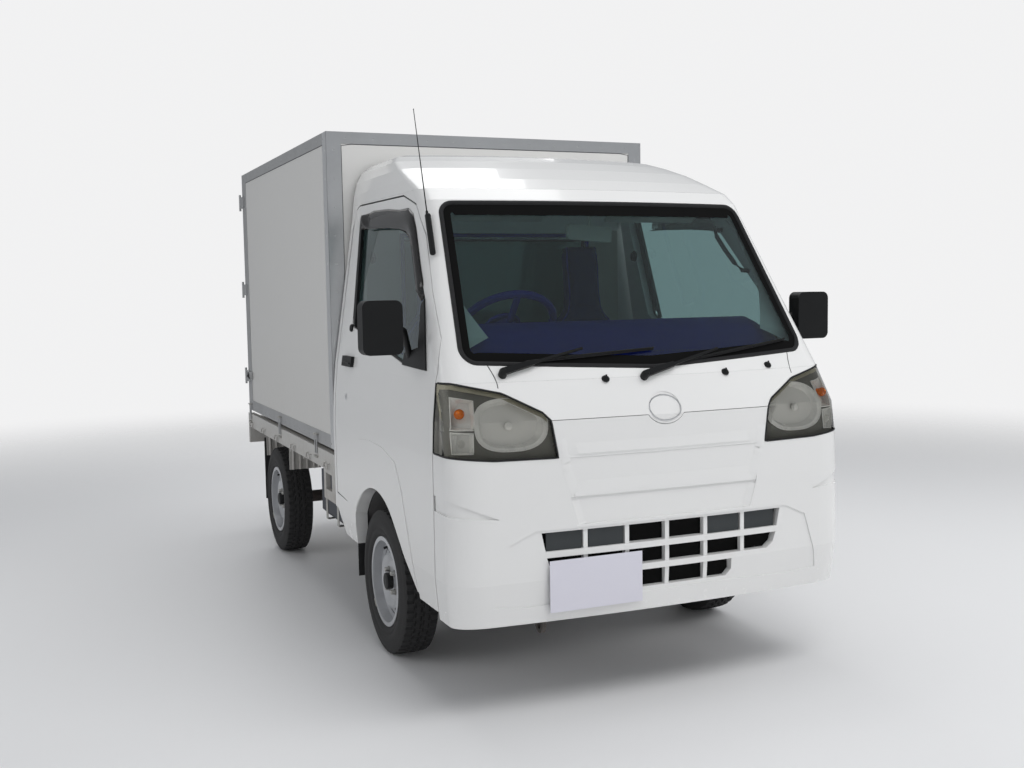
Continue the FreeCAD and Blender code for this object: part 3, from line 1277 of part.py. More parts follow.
# Wipers: pivot caps on the cowl, arms and blades lying on the glass
def wipers():
    solids = []
    skin = cab_body(0, CAB_REAR_Y)
    for x, z in WIPER_PIVOTS:
        y = screen_y(x, z)
        normal = V(0, -1, 1)
        foot = V(x, y, z)
        cap = Part.makeCylinder(WIPER_PIVOT_RADIUS, 3 * WIPER_PIVOT_RADIUS, foot - normal * SEAM, normal)
        reach_x = x + WIPER_ARM_LENGTH
        reach_z = z + WIPER_ARM_LENGTH / 4
        tip = V(reach_x, screen_y(reach_x, reach_z), reach_z) + normal * WIPER_PIVOT_RADIUS
        start = foot + normal * WIPER_PIVOT_RADIUS
        arm = Part.makeCylinder(WIPER_ARM_RADIUS, start.distanceToPoint(tip), start, tip - start)
        cap = cap.cut(skin)
        solids.append(joined([cap, arm]))
    save("wipers", solids)


def screen_y(x, z):
    low = CAB_LEVELS[5]
    high = CAB_LEVELS[6]
    share = (z - low[0]) / (high[0] - low[0])
    middle = low[5] + (high[5] - low[5]) * share
    edge = low[4] + (high[4] - low[4]) * share
    half = low[3] + (high[3] - low[3]) * share
    return middle + (edge - middle) * (x / half) ** 2


def antenna():
    base = rod(ANTENNA_LOW, ANTENNA_HIGH, ANTENNA_BASE_RADIUS)
    stick = rod(ANTENNA_HIGH, ANTENNA_TIP, ANTENNA_ROD_RADIUS)
    skin = cab_body(-SEAT_GAP, CAB_REAR_Y)
    save("antenna", [max(joined([base, stick]).cut(skin).Solids, key=lambda s: s.Volume)])


# Blank number plate in front of the bumper
def number_plate():
    y = PLATE_Y
    plate = block(PLATE_X - PLATE_HALF_X, PLATE_X + PLATE_HALF_X, y, y + PLATE_SHEET, PLATE_LOW_Z,
                  PLATE_HIGH_Z)
    pads = []
    for x in (PLATE_X - PLATE_PAD_X, PLATE_X + PLATE_PAD_X):
        pad = block(x - PLATE_PAD_HALF, x + PLATE_PAD_HALF, y, -FAR_X, PLATE_PAD_LOW_Z, PLATE_PAD_HIGH_Z)
        pads.append(pad.cut(cab_body(FRAME_DEPTH - SEAT_GAP, CAB_REAR_Y)))
    plate = joined([plate] + pads)
    save("number_plate", [max(plate.Solids, key=lambda s: s.Volume)])


# Flat bed: floor sheet, side rails, sills on the chassis, rear skirt, front side skirts, splash guards
def bed_frame():
    floor = block(-BED_HALF, BED_HALF, BED_FRONT_Y, BED_REAR_Y, BED_FLOOR_Z - BED_FLOOR_SHEET, BED_FLOOR_Z)
    rail = block(BED_HALF - BED_RAIL_WIDTH, BED_HALF, BED_FRONT_Y, BED_REAR_Y, BED_RAIL_LOW_Z,
                 BED_RAIL_HIGH_Z)
    pieces = [floor, rail, mirrored(rail)]
    for y in BED_SILL_YS:
        cross = block(-BED_HALF, BED_HALF, y - BED_CROSS_HALF, y + BED_CROSS_HALF, BED_CROSS_LOW_Z,
                      BED_FLOOR_Z)
        foot = block(RAIL_INNER_X, RAIL_OUTER_X, y - BED_CROSS_HALF, y + BED_CROSS_HALF, BED_SILL_LOW_Z,
                     BED_FLOOR_Z)
        pieces.extend([cross, foot, mirrored(foot)])
    skirt = block(-BED_HALF, BED_HALF, BED_REAR_Y - REAR_SKIRT_DEPTH, BED_REAR_Y, REAR_SKIRT_LOW_Z,
                  BED_FLOOR_Z)
    pieces.append(skirt)
    side = block(BED_HALF - SKIRT_SHEET, BED_HALF, SKIRT_FRONT_Y, SKIRT_REAR_Y, SKIRT_LOW_Z,
                 BED_RAIL_LOW_Z - SEAT_GAP)
    front_bar, rear_bar, low_bar, high_bar = SKIRT_FRAME
    side = side.cut(block(SIDE_CUT_X, FAR_X, SKIRT_FRONT_Y + front_bar, SKIRT_REAR_Y - rear_bar,
                          SKIRT_LOW_Z + low_bar, BED_RAIL_LOW_Z - high_bar))
    hung = [side, mirrored(side)]
    deck_low = BED_FLOOR_Z - BED_FLOOR_SHEET
    for y in (GUARD_Y, GUARD_REAR_Y):
        guard = block(GUARD_INNER_X, BED_HALF - BED_RAIL_WIDTH - SEAT_GAP, y, y + GUARD_SHEET, GUARD_LOW_Z,
                      deck_low - SEAT_GAP)
        ribs = []
        for index in range(GUARD_RIB_COUNT):
            x = GUARD_OUTER_X - GUARD_RIB_MARGIN - index * GUARD_RIB_PITCH
            ribs.append(rod((x, y, GUARD_LOW_Z), (x, y, BED_CROSS_LOW_Z), GUARD_RIB_RADIUS))
        guard = joined([guard] + ribs)
        hung.extend([guard, mirrored(guard)])
    save("bed_frame", [joined(pieces)] + hung)


def mudflaps():
    rear_y = GUARD_REAR_Y + GUARD_RIB_RADIUS + SEAT_GAP
    rear = block(FLAP_INNER_X, GUARD_OUTER_X, rear_y, rear_y + FLAP_SHEET, FLAP_LOW_Z, FLAP_HIGH_Z)
    sill_slope = (SILL[1][1] - SILL[0][1]) / (SILL[1][0] - SILL[0][0])
    front_top = SILL[0][1] + sill_slope * FLAP_SETBACK - SEAT_GAP
    front_y = SILL[0][0] + FLAP_SETBACK
    front = block(FLAP_FRONT_X, FLAP_OUTER_X, front_y, front_y + FLAP_SHEET, FLAP_LOW_Z, front_top)
    save("mudflaps", [rear, mirrored(rear), front, mirrored(front)])


def tail_lamps():
    y = BED_REAR_Y + SEAT_GAP
    lamp = block(TAIL_X_INNER, TAIL_X_OUTER, y, y + TAIL_DEPTH, TAIL_LOW_Z, TAIL_HIGH_Z)
    save("tail_lamps", [lamp, mirrored(lamp)])


# Box: floor on packers, plain walls and roof set inside an aluminium frame
def box_body():
    front = BOX_FRONT_Y
    rear = BOX_REAR_Y
    wall_half = BOX_HALF - PANEL_INSET
    inner_half = wall_half - BOX_WALL
    base = BASE_RAIL_HIGH_Z
    low = BOX_LOW_Z
    top = BOX_HIGH_Z
    floor = block(-inner_half + SEAT_GAP, inner_half - SEAT_GAP, front + BOX_WALL + SEAT_GAP,
                  rear - PORTAL_DEPTH - SEAT_GAP, low, low + BOX_WALL)
    packers = []
    for x in PACKER_XS:
        packers.append(block(x - PACKER_HALF, x + PACKER_HALF, front + BASE_RAIL_WIDTH,
                             rear - BASE_RAIL_WIDTH, BED_FLOOR_Z + SEAT_GAP, low))
    packers += [mirrored(p) for p in packers]
    save("box_floor", [joined([floor] + packers)])
    side_front = front + BOX_WALL + SEAT_GAP
    side_rear = rear - PORTAL_DEPTH - SEAT_GAP
    side = block(inner_half, wall_half, side_front, side_rear, low + PANEL_INSET, top - BOX_WALL - SEAT_GAP)
    front_wall = block(-wall_half, wall_half, front + PANEL_INSET, front + BOX_WALL, low + PANEL_INSET,
                       top - BOX_WALL - SEAT_GAP)
    save("box_walls", [side, mirrored(side), front_wall])
    roof = block(-wall_half, wall_half, front + PANEL_INSET, side_rear, top - BOX_WALL, top - PANEL_INSET)
    save("box_roof", [roof])
    box_frame(wall_half, side_rear)


# Aluminium edge trims, base rails, rear portal, U-bolt clamps down to the bed and hinge sleeves
def box_frame(wall_half, side_rear):
    front = BOX_FRONT_Y
    rear = BOX_REAR_Y
    low = BOX_LOW_Z
    top = BOX_HIGH_Z
    base = BASE_RAIL_HIGH_Z
    whole = block(-BOX_HALF, BOX_HALF, front, side_rear, low, top)
    panel_space = block(-wall_half - SEAT_GAP, wall_half + SEAT_GAP, front + PANEL_INSET - SEAT_GAP,
                        side_rear + SHEET, low - SHEET, top - PANEL_INSET + SEAT_GAP)
    skin = whole.cut(panel_space)
    keep = [
        block(-BOX_HALF, BOX_HALF, front, rear, low, base),
        block(-BOX_HALF, BOX_HALF, front, rear, top - CAP_WIDTH, top),
        block(BOX_HALF - TRIM_WIDTH, BOX_HALF, front, front + TRIM_WIDTH, low, top),
        block(-BOX_HALF, -BOX_HALF + TRIM_WIDTH, front, front + TRIM_WIDTH, low, top),
        block(-BOX_HALF, BOX_HALF, rear - PORTAL_DEPTH - TRIM_WIDTH, rear, low, top),
    ]
    middle = block(-BOX_HALF + TRIM_WIDTH, BOX_HALF - TRIM_WIDTH, front + TRIM_WIDTH,
                   rear - PORTAL_DEPTH - TRIM_WIDTH, base, FAR_Z)
    trims = joined([skin.common(k) for k in keep]).cut(middle)
    portal = block(-BOX_HALF, BOX_HALF, rear - PORTAL_DEPTH, rear, low, top)
    mouth = block(-BOX_HALF + PORTAL_WIDTH, BOX_HALF - PORTAL_WIDTH, rear - PORTAL_DEPTH, rear, base,
                  top - PORTAL_WIDTH)
    pieces = [trims, portal.cut(mouth)]
    solids = joined(pieces).Solids
    fixings = [hinge_leaf(z) for z in HINGE_ZS]
    for share in CLAMP_SHARES:
        fixings.append(u_bolt(front + (rear - front) * share))
    fixings.append(block(BOX_HALF, BOX_HALF + CATCH_OUT, CATCH_Y - CATCH_HALF, CATCH_Y + CATCH_HALF,
                         CATCH_Z - CATCH_HALF, CATCH_Z + CATCH_HALF))
    frame = joined(solids + fixings + [mirrored(f) for f in fixings])
    save("box_frame", frame.Solids)


def hinge_leaf(z):
    barrel = rod((HINGE_X, HINGE_Y, z - HINGE_HALF), (HINGE_X, HINGE_Y, z + HINGE_HALF), HINGE_RADIUS)
    leaf = block(HINGE_X - LEAF_SHEET, HINGE_X, LEAF_FRONT_Y, HINGE_Y, z - STRAP_HALF, z + STRAP_HALF)
    foot = block(BOX_HALF, HINGE_X, LEAF_FRONT_Y, LEAF_BACK_Y, z - STRAP_HALF, z + STRAP_HALF)
    return joined([barrel, leaf, foot])


# U-bolt with its plate, from the box's base rail down over the bed's side rail
def u_bolt(y):
    plate = block(BOX_HALF, BOX_HALF + CLAMP_WIRE, y - CLAMP_HALF, y + CLAMP_HALF, CLAMP_HIGH_Z - CLAMP_HALF,
                  CLAMP_HIGH_Z)
    legs = []
    for side in (-1, 1):
        leg_y = y + side * (CLAMP_HALF - CLAMP_WIRE)
        x = BED_HALF + CLAMP_WIRE / 2 + SEAT_GAP
        legs.append(rod((x, leg_y, CLAMP_LOW_Z), (x, leg_y, CLAMP_HIGH_Z), CLAMP_WIRE / 2))
    return joined([plate] + legs)


# Rear doors of the box: flat panels, hinge straps, lock rod with guides and a lever
def box_doors():
    y = BOX_DOOR_OUT_Y
    panel = block(SEAM / 2, BOX_DOOR_EDGE_X, BOX_DOOR_Y, y, BOX_DOOR_LOW_Z, BOX_HIGH_Z)
    rod_y = y + GEAR_ROD_RADIUS + SEAT_GAP
    lock = rod((GEAR_X, rod_y, GEAR_LOW_Z), (GEAR_X, rod_y, GEAR_HIGH_Z), GEAR_ROD_RADIUS)
    pieces = [lock]
    tall = GEAR_HIGH_Z - GEAR_LOW_Z
    for share in GEAR_GUIDE_SHARES:
        z = GEAR_LOW_Z + tall * share
        pieces.append(block(GEAR_X - GEAR_GUIDE_HALF, GEAR_X + GEAR_GUIDE_HALF, y, rod_y,
                            z - GEAR_GUIDE_HALF, z + GEAR_GUIDE_HALF))
    handle_z = GEAR_LOW_Z + tall * GEAR_HANDLE_SHARE
    pieces.append(block(GEAR_X, GEAR_X + GEAR_HANDLE_LENGTH, y + SEAT_GAP, rod_y + SHEET,
                        handle_z - GEAR_ROD_RADIUS, handle_z + GEAR_ROD_RADIUS))
    gear = [joined(pieces)]
    for z in HINGE_ZS:
        gear.append(block(HINGE_X - STRAP_LENGTH, HINGE_X - HINGE_RADIUS - SEAT_GAP, y, HINGE_Y,
                          z - STRAP_HALF, z + STRAP_HALF))
    save("box_door_left_panel", [panel])
    save("box_door_right_panel", [mirrored(panel)])
    save("box_door_left_gear", gear)
    save("box_door_right_gear", [mirrored(g) for g in gear])


# Towing eyes: bored plates under the end beams
def tow_eyes():
    solids = []
    front_y = RAIL_FRONT_Y + END_BEAM_DEPTH / 2
    rear_y = RAIL_REAR_Y - END_BEAM_DEPTH / 2
    for y, low_z in ((front_y, FRONT_EYE_LOW_Z), (rear_y, REAR_EYE_LOW_Z)):
        z = low_z + EYE_HALF
        plate = block(-EYE_X - EYE_THICK / 2, -EYE_X + EYE_THICK / 2, y - EYE_HALF, y + EYE_HALF, z,
                      CROSS_LOW_Z - SEAT_GAP)
        plate = plate.fuse(rod((-EYE_X - EYE_THICK / 2, y, z), (-EYE_X + EYE_THICK / 2, y, z), EYE_HALF))
        hole = rod((-EYE_X - EYE_THICK, y, z), (-EYE_X + EYE_THICK, y, z), EYE_HOLE_RADIUS)
        solids.append(plate.cut(hole))
    save("tow_eyes", solids)


def radiator():
    save("radiator", [block(-RADIATOR_HALF, RADIATOR_HALF, RADIATOR_FRONT_Y, RAIL_FRONT_Y - SEAT_GAP,
                            RADIATOR_LOW_Z, FLOOR_Z - SHEET)])


def run_all():
    wheels()
    knuckles()
    front_suspension()
    chassis_frame()
    engine_block()
    rear_axle()
    leaf_springs()
    propshaft()
    exhaust()
    fuel_tank()
    save("cab_shell", cab_shell())
    cab_roof()
    layer = front_layer(SEAM)
    headlamps(layer)
    front_panel(layer)
    front_bumper(layer)
    cab_glass()
    door()
    cab_floor()
    centre, axis = dashboard()
    steering_wheel(centre, axis)
    seats()
    wipers()
    antenna()
    bed_frame()
    mudflaps()
    tail_lamps()
    box_body()
    box_doors()
    tow_eyes()
    radiator()
    number_plate()


run_all()
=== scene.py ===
import bpy
import bmesh
import math
from mathutils import Matrix, Vector
from mathutils.bvhtree import BVHTree


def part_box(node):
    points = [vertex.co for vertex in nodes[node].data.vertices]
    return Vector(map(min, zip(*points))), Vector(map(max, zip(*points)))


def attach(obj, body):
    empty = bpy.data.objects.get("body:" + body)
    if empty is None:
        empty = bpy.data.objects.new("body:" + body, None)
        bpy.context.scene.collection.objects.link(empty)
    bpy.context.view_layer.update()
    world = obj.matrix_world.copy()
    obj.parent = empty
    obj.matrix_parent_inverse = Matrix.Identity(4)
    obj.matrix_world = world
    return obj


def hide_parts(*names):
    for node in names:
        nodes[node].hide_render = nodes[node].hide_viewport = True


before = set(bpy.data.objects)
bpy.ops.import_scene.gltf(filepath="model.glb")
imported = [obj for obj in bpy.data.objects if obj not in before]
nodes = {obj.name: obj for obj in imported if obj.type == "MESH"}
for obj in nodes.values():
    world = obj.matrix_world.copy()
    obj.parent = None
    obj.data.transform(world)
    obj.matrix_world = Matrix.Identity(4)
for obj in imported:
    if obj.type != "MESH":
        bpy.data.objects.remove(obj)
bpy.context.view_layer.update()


# Tyres: radial truck rubber, moulded with zigzag ribs, cross sipes and plain walls with raised rings.
# Each is mounted on its steel wheel and turns with it.
tyre_low, tyre_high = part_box("tyre_front_left")
tyre_radius = (tyre_high[2] - tyre_low[2]) / 2
tyre_half = (tyre_high[0] - tyre_low[0]) / 2
tyre_steps = 288
tread_half = tyre_half * 0.78
groove_depth = 0.0065
groove_half = 0.0032
rib_shares = (-0.52, 0.0, 0.52)
sipe_every = 6
bead_half = 0.0536
bead_radius = 0.1562
wall_shares = ((1.0, 0.775), (0.975, 0.84), (0.93, 0.885), (0.905, 0.91), (0.90, 0.925), (0.86, 0.955))

both_sides = (("right", -1), ("left", 1))

scene = bpy.context.scene


def group_tree(name, ins, outs):
    tree = bpy.data.node_groups.new(name, "ShaderNodeTree")
    for label, kind, value in ins:
        socket = tree.interface.new_socket(label, in_out="INPUT", socket_type=kind)
        socket.default_value = value
    for label, kind in outs:
        tree.interface.new_socket(label, in_out="OUTPUT", socket_type=kind)
    return tree, tree.nodes.new("NodeGroupInput"), tree.nodes.new("NodeGroupOutput")


def plug(tree, value, socket):
    if isinstance(value, (int, float, tuple)):
        socket.default_value = value
    else:
        tree.links.new(value, socket)


def math_node(tree, operation, *values, clamp=False):
    node = tree.nodes.new("ShaderNodeMath")
    node.operation = operation
    node.use_clamp = clamp
    for index, value in enumerate(values):
        plug(tree, value, node.inputs[index])
    return node.outputs[0]


def blend_colour(tree, factor, a, b):
    node = tree.nodes.new("ShaderNodeMix")
    node.data_type = "RGBA"
    plug(tree, factor, node.inputs[0])
    plug(tree, a, node.inputs[6])
    plug(tree, b, node.inputs[7])
    return node.outputs[2]


def noise_value(tree, vector, scale, detail=3.0, rough=0.55):
    node = tree.nodes.new("ShaderNodeTexNoise")
    node.inputs["Scale"].default_value = scale
    node.inputs["Detail"].default_value = detail
    node.inputs["Roughness"].default_value = rough
    tree.links.new(vector, node.inputs["Vector"])
    return node.outputs["Fac"]


def bump_normal(tree, height, strength, distance):
    node = tree.nodes.new("ShaderNodeBump")
    node.inputs["Distance"].default_value = distance
    plug(tree, strength, node.inputs["Strength"])
    tree.links.new(height, node.inputs["Height"])
    return node.outputs["Normal"]


surface_outs = (("Color", "NodeSocketColor"), ("Roughness", "NodeSocketFloat"),
        ("Normal", "NodeSocketVector"))


# Moulded plastic and rubber: a fine grain with a chalky bloom in patches.
def grain_group():
    tree, start, end = group_tree("moulded_grain", (
            ("Base", "NodeSocketColor", (0.03, 0.03, 0.03, 1)),
            ("Chalk", "NodeSocketColor", (0.2, 0.19, 0.18, 1)),
            ("Chalk Amount", "NodeSocketFloat", 0.2),
            ("Gloss", "NodeSocketFloat", 0.5),
            ("Grain Strength", "NodeSocketFloat", 0.3),
            ), surface_outs)
    place = tree.nodes.new("ShaderNodeTexCoord").outputs["Object"]
    cloud = noise_value(tree, place, 9.0, 5.0, 0.6)
    speck = noise_value(tree, place, 700.0, 2.0, 0.5)
    chalky = math_node(tree, "MULTIPLY", cloud, start.outputs["Chalk Amount"], clamp=True)
    tree.links.new(blend_colour(tree, chalky, start.outputs["Base"], start.outputs["Chalk"]),
            end.inputs["Color"])
    rough = math_node(tree, "MULTIPLY_ADD", cloud, 0.18, start.outputs["Gloss"])
    tree.links.new(rough, end.inputs["Roughness"])
    tree.links.new(bump_normal(tree, speck, start.outputs["Grain Strength"], 0.0005), end.inputs["Normal"])
    return tree


moulded_grain = grain_group()


def new_material(name):
    material = bpy.data.materials.new(name)
    material.use_nodes = True
    return material, material.node_tree, material.node_tree.nodes["Principled BSDF"]


def finish_from(name, group, values, metallic=0.0, coat=0.0, transmission=0.0, specular=0.5, bend=1.45):
    material, tree, shader = new_material(name)
    node = tree.nodes.new("ShaderNodeGroup")
    node.node_tree = group
    for label, value in values.items():
        node.inputs[label].default_value = value
    for output in node.outputs:
        target = "Base Color" if output.name == "Color" else output.name
        tree.links.new(output, shader.inputs[target])
    shader.inputs["Metallic"].default_value = metallic
    shader.inputs["Coat Weight"].default_value = coat
    shader.inputs["Coat Roughness"].default_value = 0.04
    shader.inputs["Transmission Weight"].default_value = transmission
    shader.inputs["Specular IOR Level"].default_value = specular
    shader.inputs["IOR"].default_value = bend
    return material


def moulded(name, base, chalk, amount, gloss, grain, **more):
    values = {"Base": base + (1,), "Chalk": chalk + (1,), "Chalk Amount": amount, "Gloss": gloss,
            "Grain Strength": grain}
    return finish_from(name, moulded_grain, values, **more)


tyre_rubber = moulded("tyre_rubber", (0.018, 0.018, 0.019), (0.10, 0.095, 0.09), 0.22, 0.68, 0.5)


def finish_piece(mesh, name, material, body="truck", bevel=0.0, smooth=35, replace=()):
    bmesh.ops.recalc_face_normals(mesh, faces=mesh.faces)
    data = bpy.data.meshes.new(name)
    mesh.to_mesh(data)
    mesh.free()
    item = bpy.data.objects.new(name, data)
    scene.collection.objects.link(item)
    data.materials.append(material)
    data.polygons.foreach_set("use_smooth", [True] * len(data.polygons))
    data.set_sharp_from_angle(angle=math.radians(smooth))
    if bevel > 0:
        rounder = item.modifiers.new("edge_round", "BEVEL")
        rounder.width = bevel
        rounder.segments = 2
        rounder.limit_method = "ANGLE"
        rounder.angle_limit = math.radians(40)
        rounder.harden_normals = True
    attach(item, body)
    if replace:
        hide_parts(*replace)
    return item


def tread_depth(across, step):
    swing = 0.07 * tread_half * (1 if (step // 3) % 2 else -1)
    for share in rib_shares:
        if abs(across - share * tread_half - swing) < groove_half:
            return groove_depth
    edge = abs(across) > 0.62 * tread_half
    if edge and (step + (3 if across > 0 else 0)) % sipe_every < 2:
        return groove_depth * 0.8
    if not edge and step % sipe_every == 1:
        return groove_depth * 0.35
    return 0.0


def tyre_section(step):
    half = [(bead_half, bead_radius), (bead_half + 0.0015, 0.168), (0.062, 0.176), (0.0645, 0.180),
            (0.0675, 0.192), (0.0668, 0.1935), (0.0685, 0.2015)]
    for wide, tall in wall_shares:
        half.append((tyre_half * wide, tyre_radius * tall))
    half.append((tread_half * 1.035, tyre_radius - 0.006))
    tread = []
    cells = 34
    for cell in range(cells + 1):
        across = tread_half * (1 - 2 * cell / cells)
        crown = tyre_radius - 0.0035 * (across / tread_half) ** 2
        tread.append((across, crown - tread_depth(across, step)))
    return half + tread + [(-x, r) for x, r in reversed(half)]


for end in ("front", "rear"):
    for side_name, side in both_sides:
        name = "tyre_" + end + "_" + side_name
        low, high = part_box(name)
        centre = Vector([(a + b) / 2 for a, b in zip(low, high)])
        mesh = bmesh.new()
        rings = []
        for step in range(tyre_steps):
            angle = 2 * math.pi * step / tyre_steps
            ring = []
            for across, radius in tyre_section(step):
                ring.append(mesh.verts.new(centre + Vector((side * across, radius * math.sin(angle),
                        radius * math.cos(angle)))))
            rings.append(ring)
        for here, ahead in zip(rings, rings[1:] + rings[:1]):
            for index in range(len(here)):
                mesh.faces.new((here[index - 1], here[index], ahead[index], ahead[index - 1]))
        body = "wheel_" + end + "_" + side_name
        finish_piece(mesh, name + "_tread", tyre_rubber, body, smooth=40, replace=(name,))


# Steel wheels: silver painted discs, four conical nuts, a black centre cap, a valve and a balance weight.
# The nuts hold the disc to the hub, and the cap snaps over the hub's end.
nut_circle = 0.050
nut_count = 4
disc_face = 0.030
hub_face = 0.052


def stretched(tree, vector, stretch):
    node = tree.nodes.new("ShaderNodeMapping")
    node.inputs["Scale"].default_value = stretch
    tree.links.new(vector, node.inputs["Vector"])
    return node.outputs["Vector"]


# Enamel over pressed steel: dust gathers low down and where rain runs.
def film_group():
    tree, start, end = group_tree("paint_film", (
            ("Paint", "NodeSocketColor", (0.8, 0.8, 0.8, 1)),
            ("Dust", "NodeSocketColor", (0.35, 0.32, 0.28, 1)),
            ("Dust Amount", "NodeSocketFloat", 0.2),
            ("Dust Height", "NodeSocketFloat", 0.7),
            ("Gloss", "NodeSocketFloat", 0.2),
            ("Ripple", "NodeSocketFloat", 0.1),
            ), surface_outs)
    place = tree.nodes.new("ShaderNodeTexCoord").outputs["Object"]
    split = tree.nodes.new("ShaderNodeSeparateXYZ")
    tree.links.new(place, split.inputs[0])
    broad = noise_value(tree, place, 2.2, 4.0)
    fine = noise_value(tree, place, 38.0, 4.0, 0.65)
    runs = noise_value(tree, stretched(tree, place, (16.0, 16.0, 1.2)), 2.0, 3.0)
    low = math_node(tree, "SUBTRACT", start.outputs["Dust Height"], split.outputs["Z"])
    low = math_node(tree, "DIVIDE", low, 0.55, clamp=True)
    patch = math_node(tree, "MULTIPLY", broad, fine)
    patch = math_node(tree, "MULTIPLY_ADD", patch, 2.0, 0.12)
    patch = math_node(tree, "MULTIPLY_ADD", runs, 0.35, patch)
    dusty = math_node(tree, "MULTIPLY", low, patch)
    dusty = math_node(tree, "MULTIPLY_ADD", broad, 0.05, dusty)
    dusty = math_node(tree, "MULTIPLY", dusty, start.outputs["Dust Amount"], clamp=True)
    tree.links.new(blend_colour(tree, dusty, start.outputs["Paint"], start.outputs["Dust"]),
            end.inputs["Color"])
    rough = math_node(tree, "MULTIPLY_ADD", dusty, 0.5, start.outputs["Gloss"])
    tree.links.new(math_node(tree, "MULTIPLY_ADD", fine, 0.05, rough), end.inputs["Roughness"])
    peel = noise_value(tree, place, 240.0, 1.0)
    tree.links.new(bump_normal(tree, peel, start.outputs["Ripple"], 0.0006), end.inputs["Normal"])
    return tree


# Bare or plated metal: drawn lines under a dull, patchy skin.
def metal_group():
    tree, start, end = group_tree("worn_metal", (
            ("Bright", "NodeSocketColor", (0.7, 0.7, 0.7, 1)),
            ("Dull", "NodeSocketColor", (0.4, 0.39, 0.37, 1)),
            ("Wear", "NodeSocketFloat", 0.4),
            ("Gloss", "NodeSocketFloat", 0.3),
            ("Lines", "NodeSocketFloat", 0.2),
            ), surface_outs)
    place = tree.nodes.new("ShaderNodeTexCoord").outputs["Object"]
    cloud = noise_value(tree, place, 6.0, 6.0, 0.62)
    lines = noise_value(tree, stretched(tree, place, (60.0, 60.0, 3.0)), 14.0, 2.0, 0.5)
    dull = math_node(tree, "MULTIPLY_ADD", cloud, 1.8, -0.45, clamp=True)
    dull = math_node(tree, "MULTIPLY", dull, start.outputs["Wear"], clamp=True)
    tree.links.new(blend_colour(tree, dull, start.outputs["Bright"], start.outputs["Dull"]),
            end.inputs["Color"])
    rough = math_node(tree, "MULTIPLY_ADD", dull, 0.35, start.outputs["Gloss"])
    tree.links.new(math_node(tree, "MULTIPLY_ADD", lines, 0.08, rough), end.inputs["Roughness"])
    tree.links.new(bump_normal(tree, lines, start.outputs["Lines"], 0.0004), end.inputs["Normal"])
    return tree


paint_film = film_group()
worn_metal = metal_group()


def painted(name, paint, dust, amount, height, gloss, ripple, **more):
    values = {"Paint": paint + (1,), "Dust": dust + (1,), "Dust Amount": amount, "Dust Height": height,
            "Gloss": gloss, "Ripple": ripple}
    return finish_from(name, paint_film, values, **more)


def metal(name, bright, dull, wear, gloss, lines, **more):
    values = {"Bright": bright + (1,), "Dull": dull + (1,), "Wear": wear, "Gloss": gloss, "Lines": lines}
    return finish_from(name, worn_metal, values, **more)


wheel_silver = painted("wheel_silver_paint", (0.56, 0.57, 0.59), (0.12, 0.10, 0.08), 0.30, 0.45, 0.30, 0.3,
        metallic=0.6)
zinc_steel = metal("zinc_plated_steel", (0.55, 0.55, 0.53), (0.33, 0.30, 0.26), 0.6, 0.35, 0.3, metallic=0.9)
seal_rubber = moulded("seal_rubber", (0.014, 0.014, 0.015), (0.06, 0.06, 0.06), 0.2, 0.55, 0.2)
black_plastic = moulded("black_plastic", (0.0065, 0.007, 0.0075), (0.022, 0.022, 0.022), 0.3, 0.38, 0.5,
        specular=0.35)


def dress(material, *names):
    for name in names:
        for entry in nodes[name].material_slots:
            entry.material = material


def side_axes(axis):
    axis = Vector(axis).normalized()
    helper = Vector((0, 0, 1)) if abs(axis.z) < 0.9 else Vector((0, 1, 0))
    first = axis.cross(helper).normalized()
    return axis, first, axis.cross(first)


def add_turned(mesh, profile, centre, axis, sides=32):
    axis, first, second = side_axes(axis)
    centre = Vector(centre)
    rings = []
    for along, radius in profile:
        if radius <= 0:
            rings.append([mesh.verts.new(centre + axis * along)])
            continue
        ring = []
        for step in range(sides):
            angle = 2 * math.pi * step / sides
            offset = first * math.cos(angle) + second * math.sin(angle)
            ring.append(mesh.verts.new(centre + axis * along + offset * radius))
        rings.append(ring)
    for here, ahead in zip(rings, rings[1:]):
        for step in range(sides):
            after = (step + 1) % sides
            if len(here) == 1 and len(ahead) == 1:
                continue
            if len(here) == 1:
                mesh.faces.new((here[0], ahead[step], ahead[after]))
            elif len(ahead) == 1:
                mesh.faces.new((here[step], ahead[0], here[after]))
            else:
                mesh.faces.new((here[step], ahead[step], ahead[after], here[after]))
    return rings


def add_rod(mesh, start, end, radius, sides=16):
    length = (Vector(end) - Vector(start)).length
    round_off = min(radius, length) * 0.15
    add_turned(mesh, [(0, 0), (0, radius - round_off), (round_off, radius), (length - round_off, radius),
            (length, radius - round_off), (length, 0)], start, Vector(end) - Vector(start), sides)


def add_tube(mesh, points, radius, sides=8, closed=False):
    points = [Vector(p) for p in points]
    count = len(points)
    rings = []
    for index, point in enumerate(points):
        if closed:
            along = points[(index + 1) % count] - points[index - 1]
        else:
            along = points[min(index + 1, count - 1)] - points[max(index - 1, 0)]
        axis, first, second = side_axes(along)
        ring = []
        for step in range(sides):
            angle = 2 * math.pi * step / sides
            ring.append(mesh.verts.new(point + (first * math.cos(angle) + second * math.sin(angle)) * radius))
        rings.append(ring)
    pairs = list(zip(rings, rings[1:]))
    if closed:
        pairs.append((rings[-1], rings[0]))
    for here, ahead in pairs:
        turn = min(range(sides), key=lambda t: (ahead[t].co - here[0].co).length)
        for step in range(sides):
            a = (step + turn) % sides
            b = (step + 1 + turn) % sides
            mesh.faces.new((here[step], here[(step + 1) % sides], ahead[b], ahead[a]))
    if not closed:
        mesh.faces.new(rings[0][::-1])
        mesh.faces.new(rings[-1])


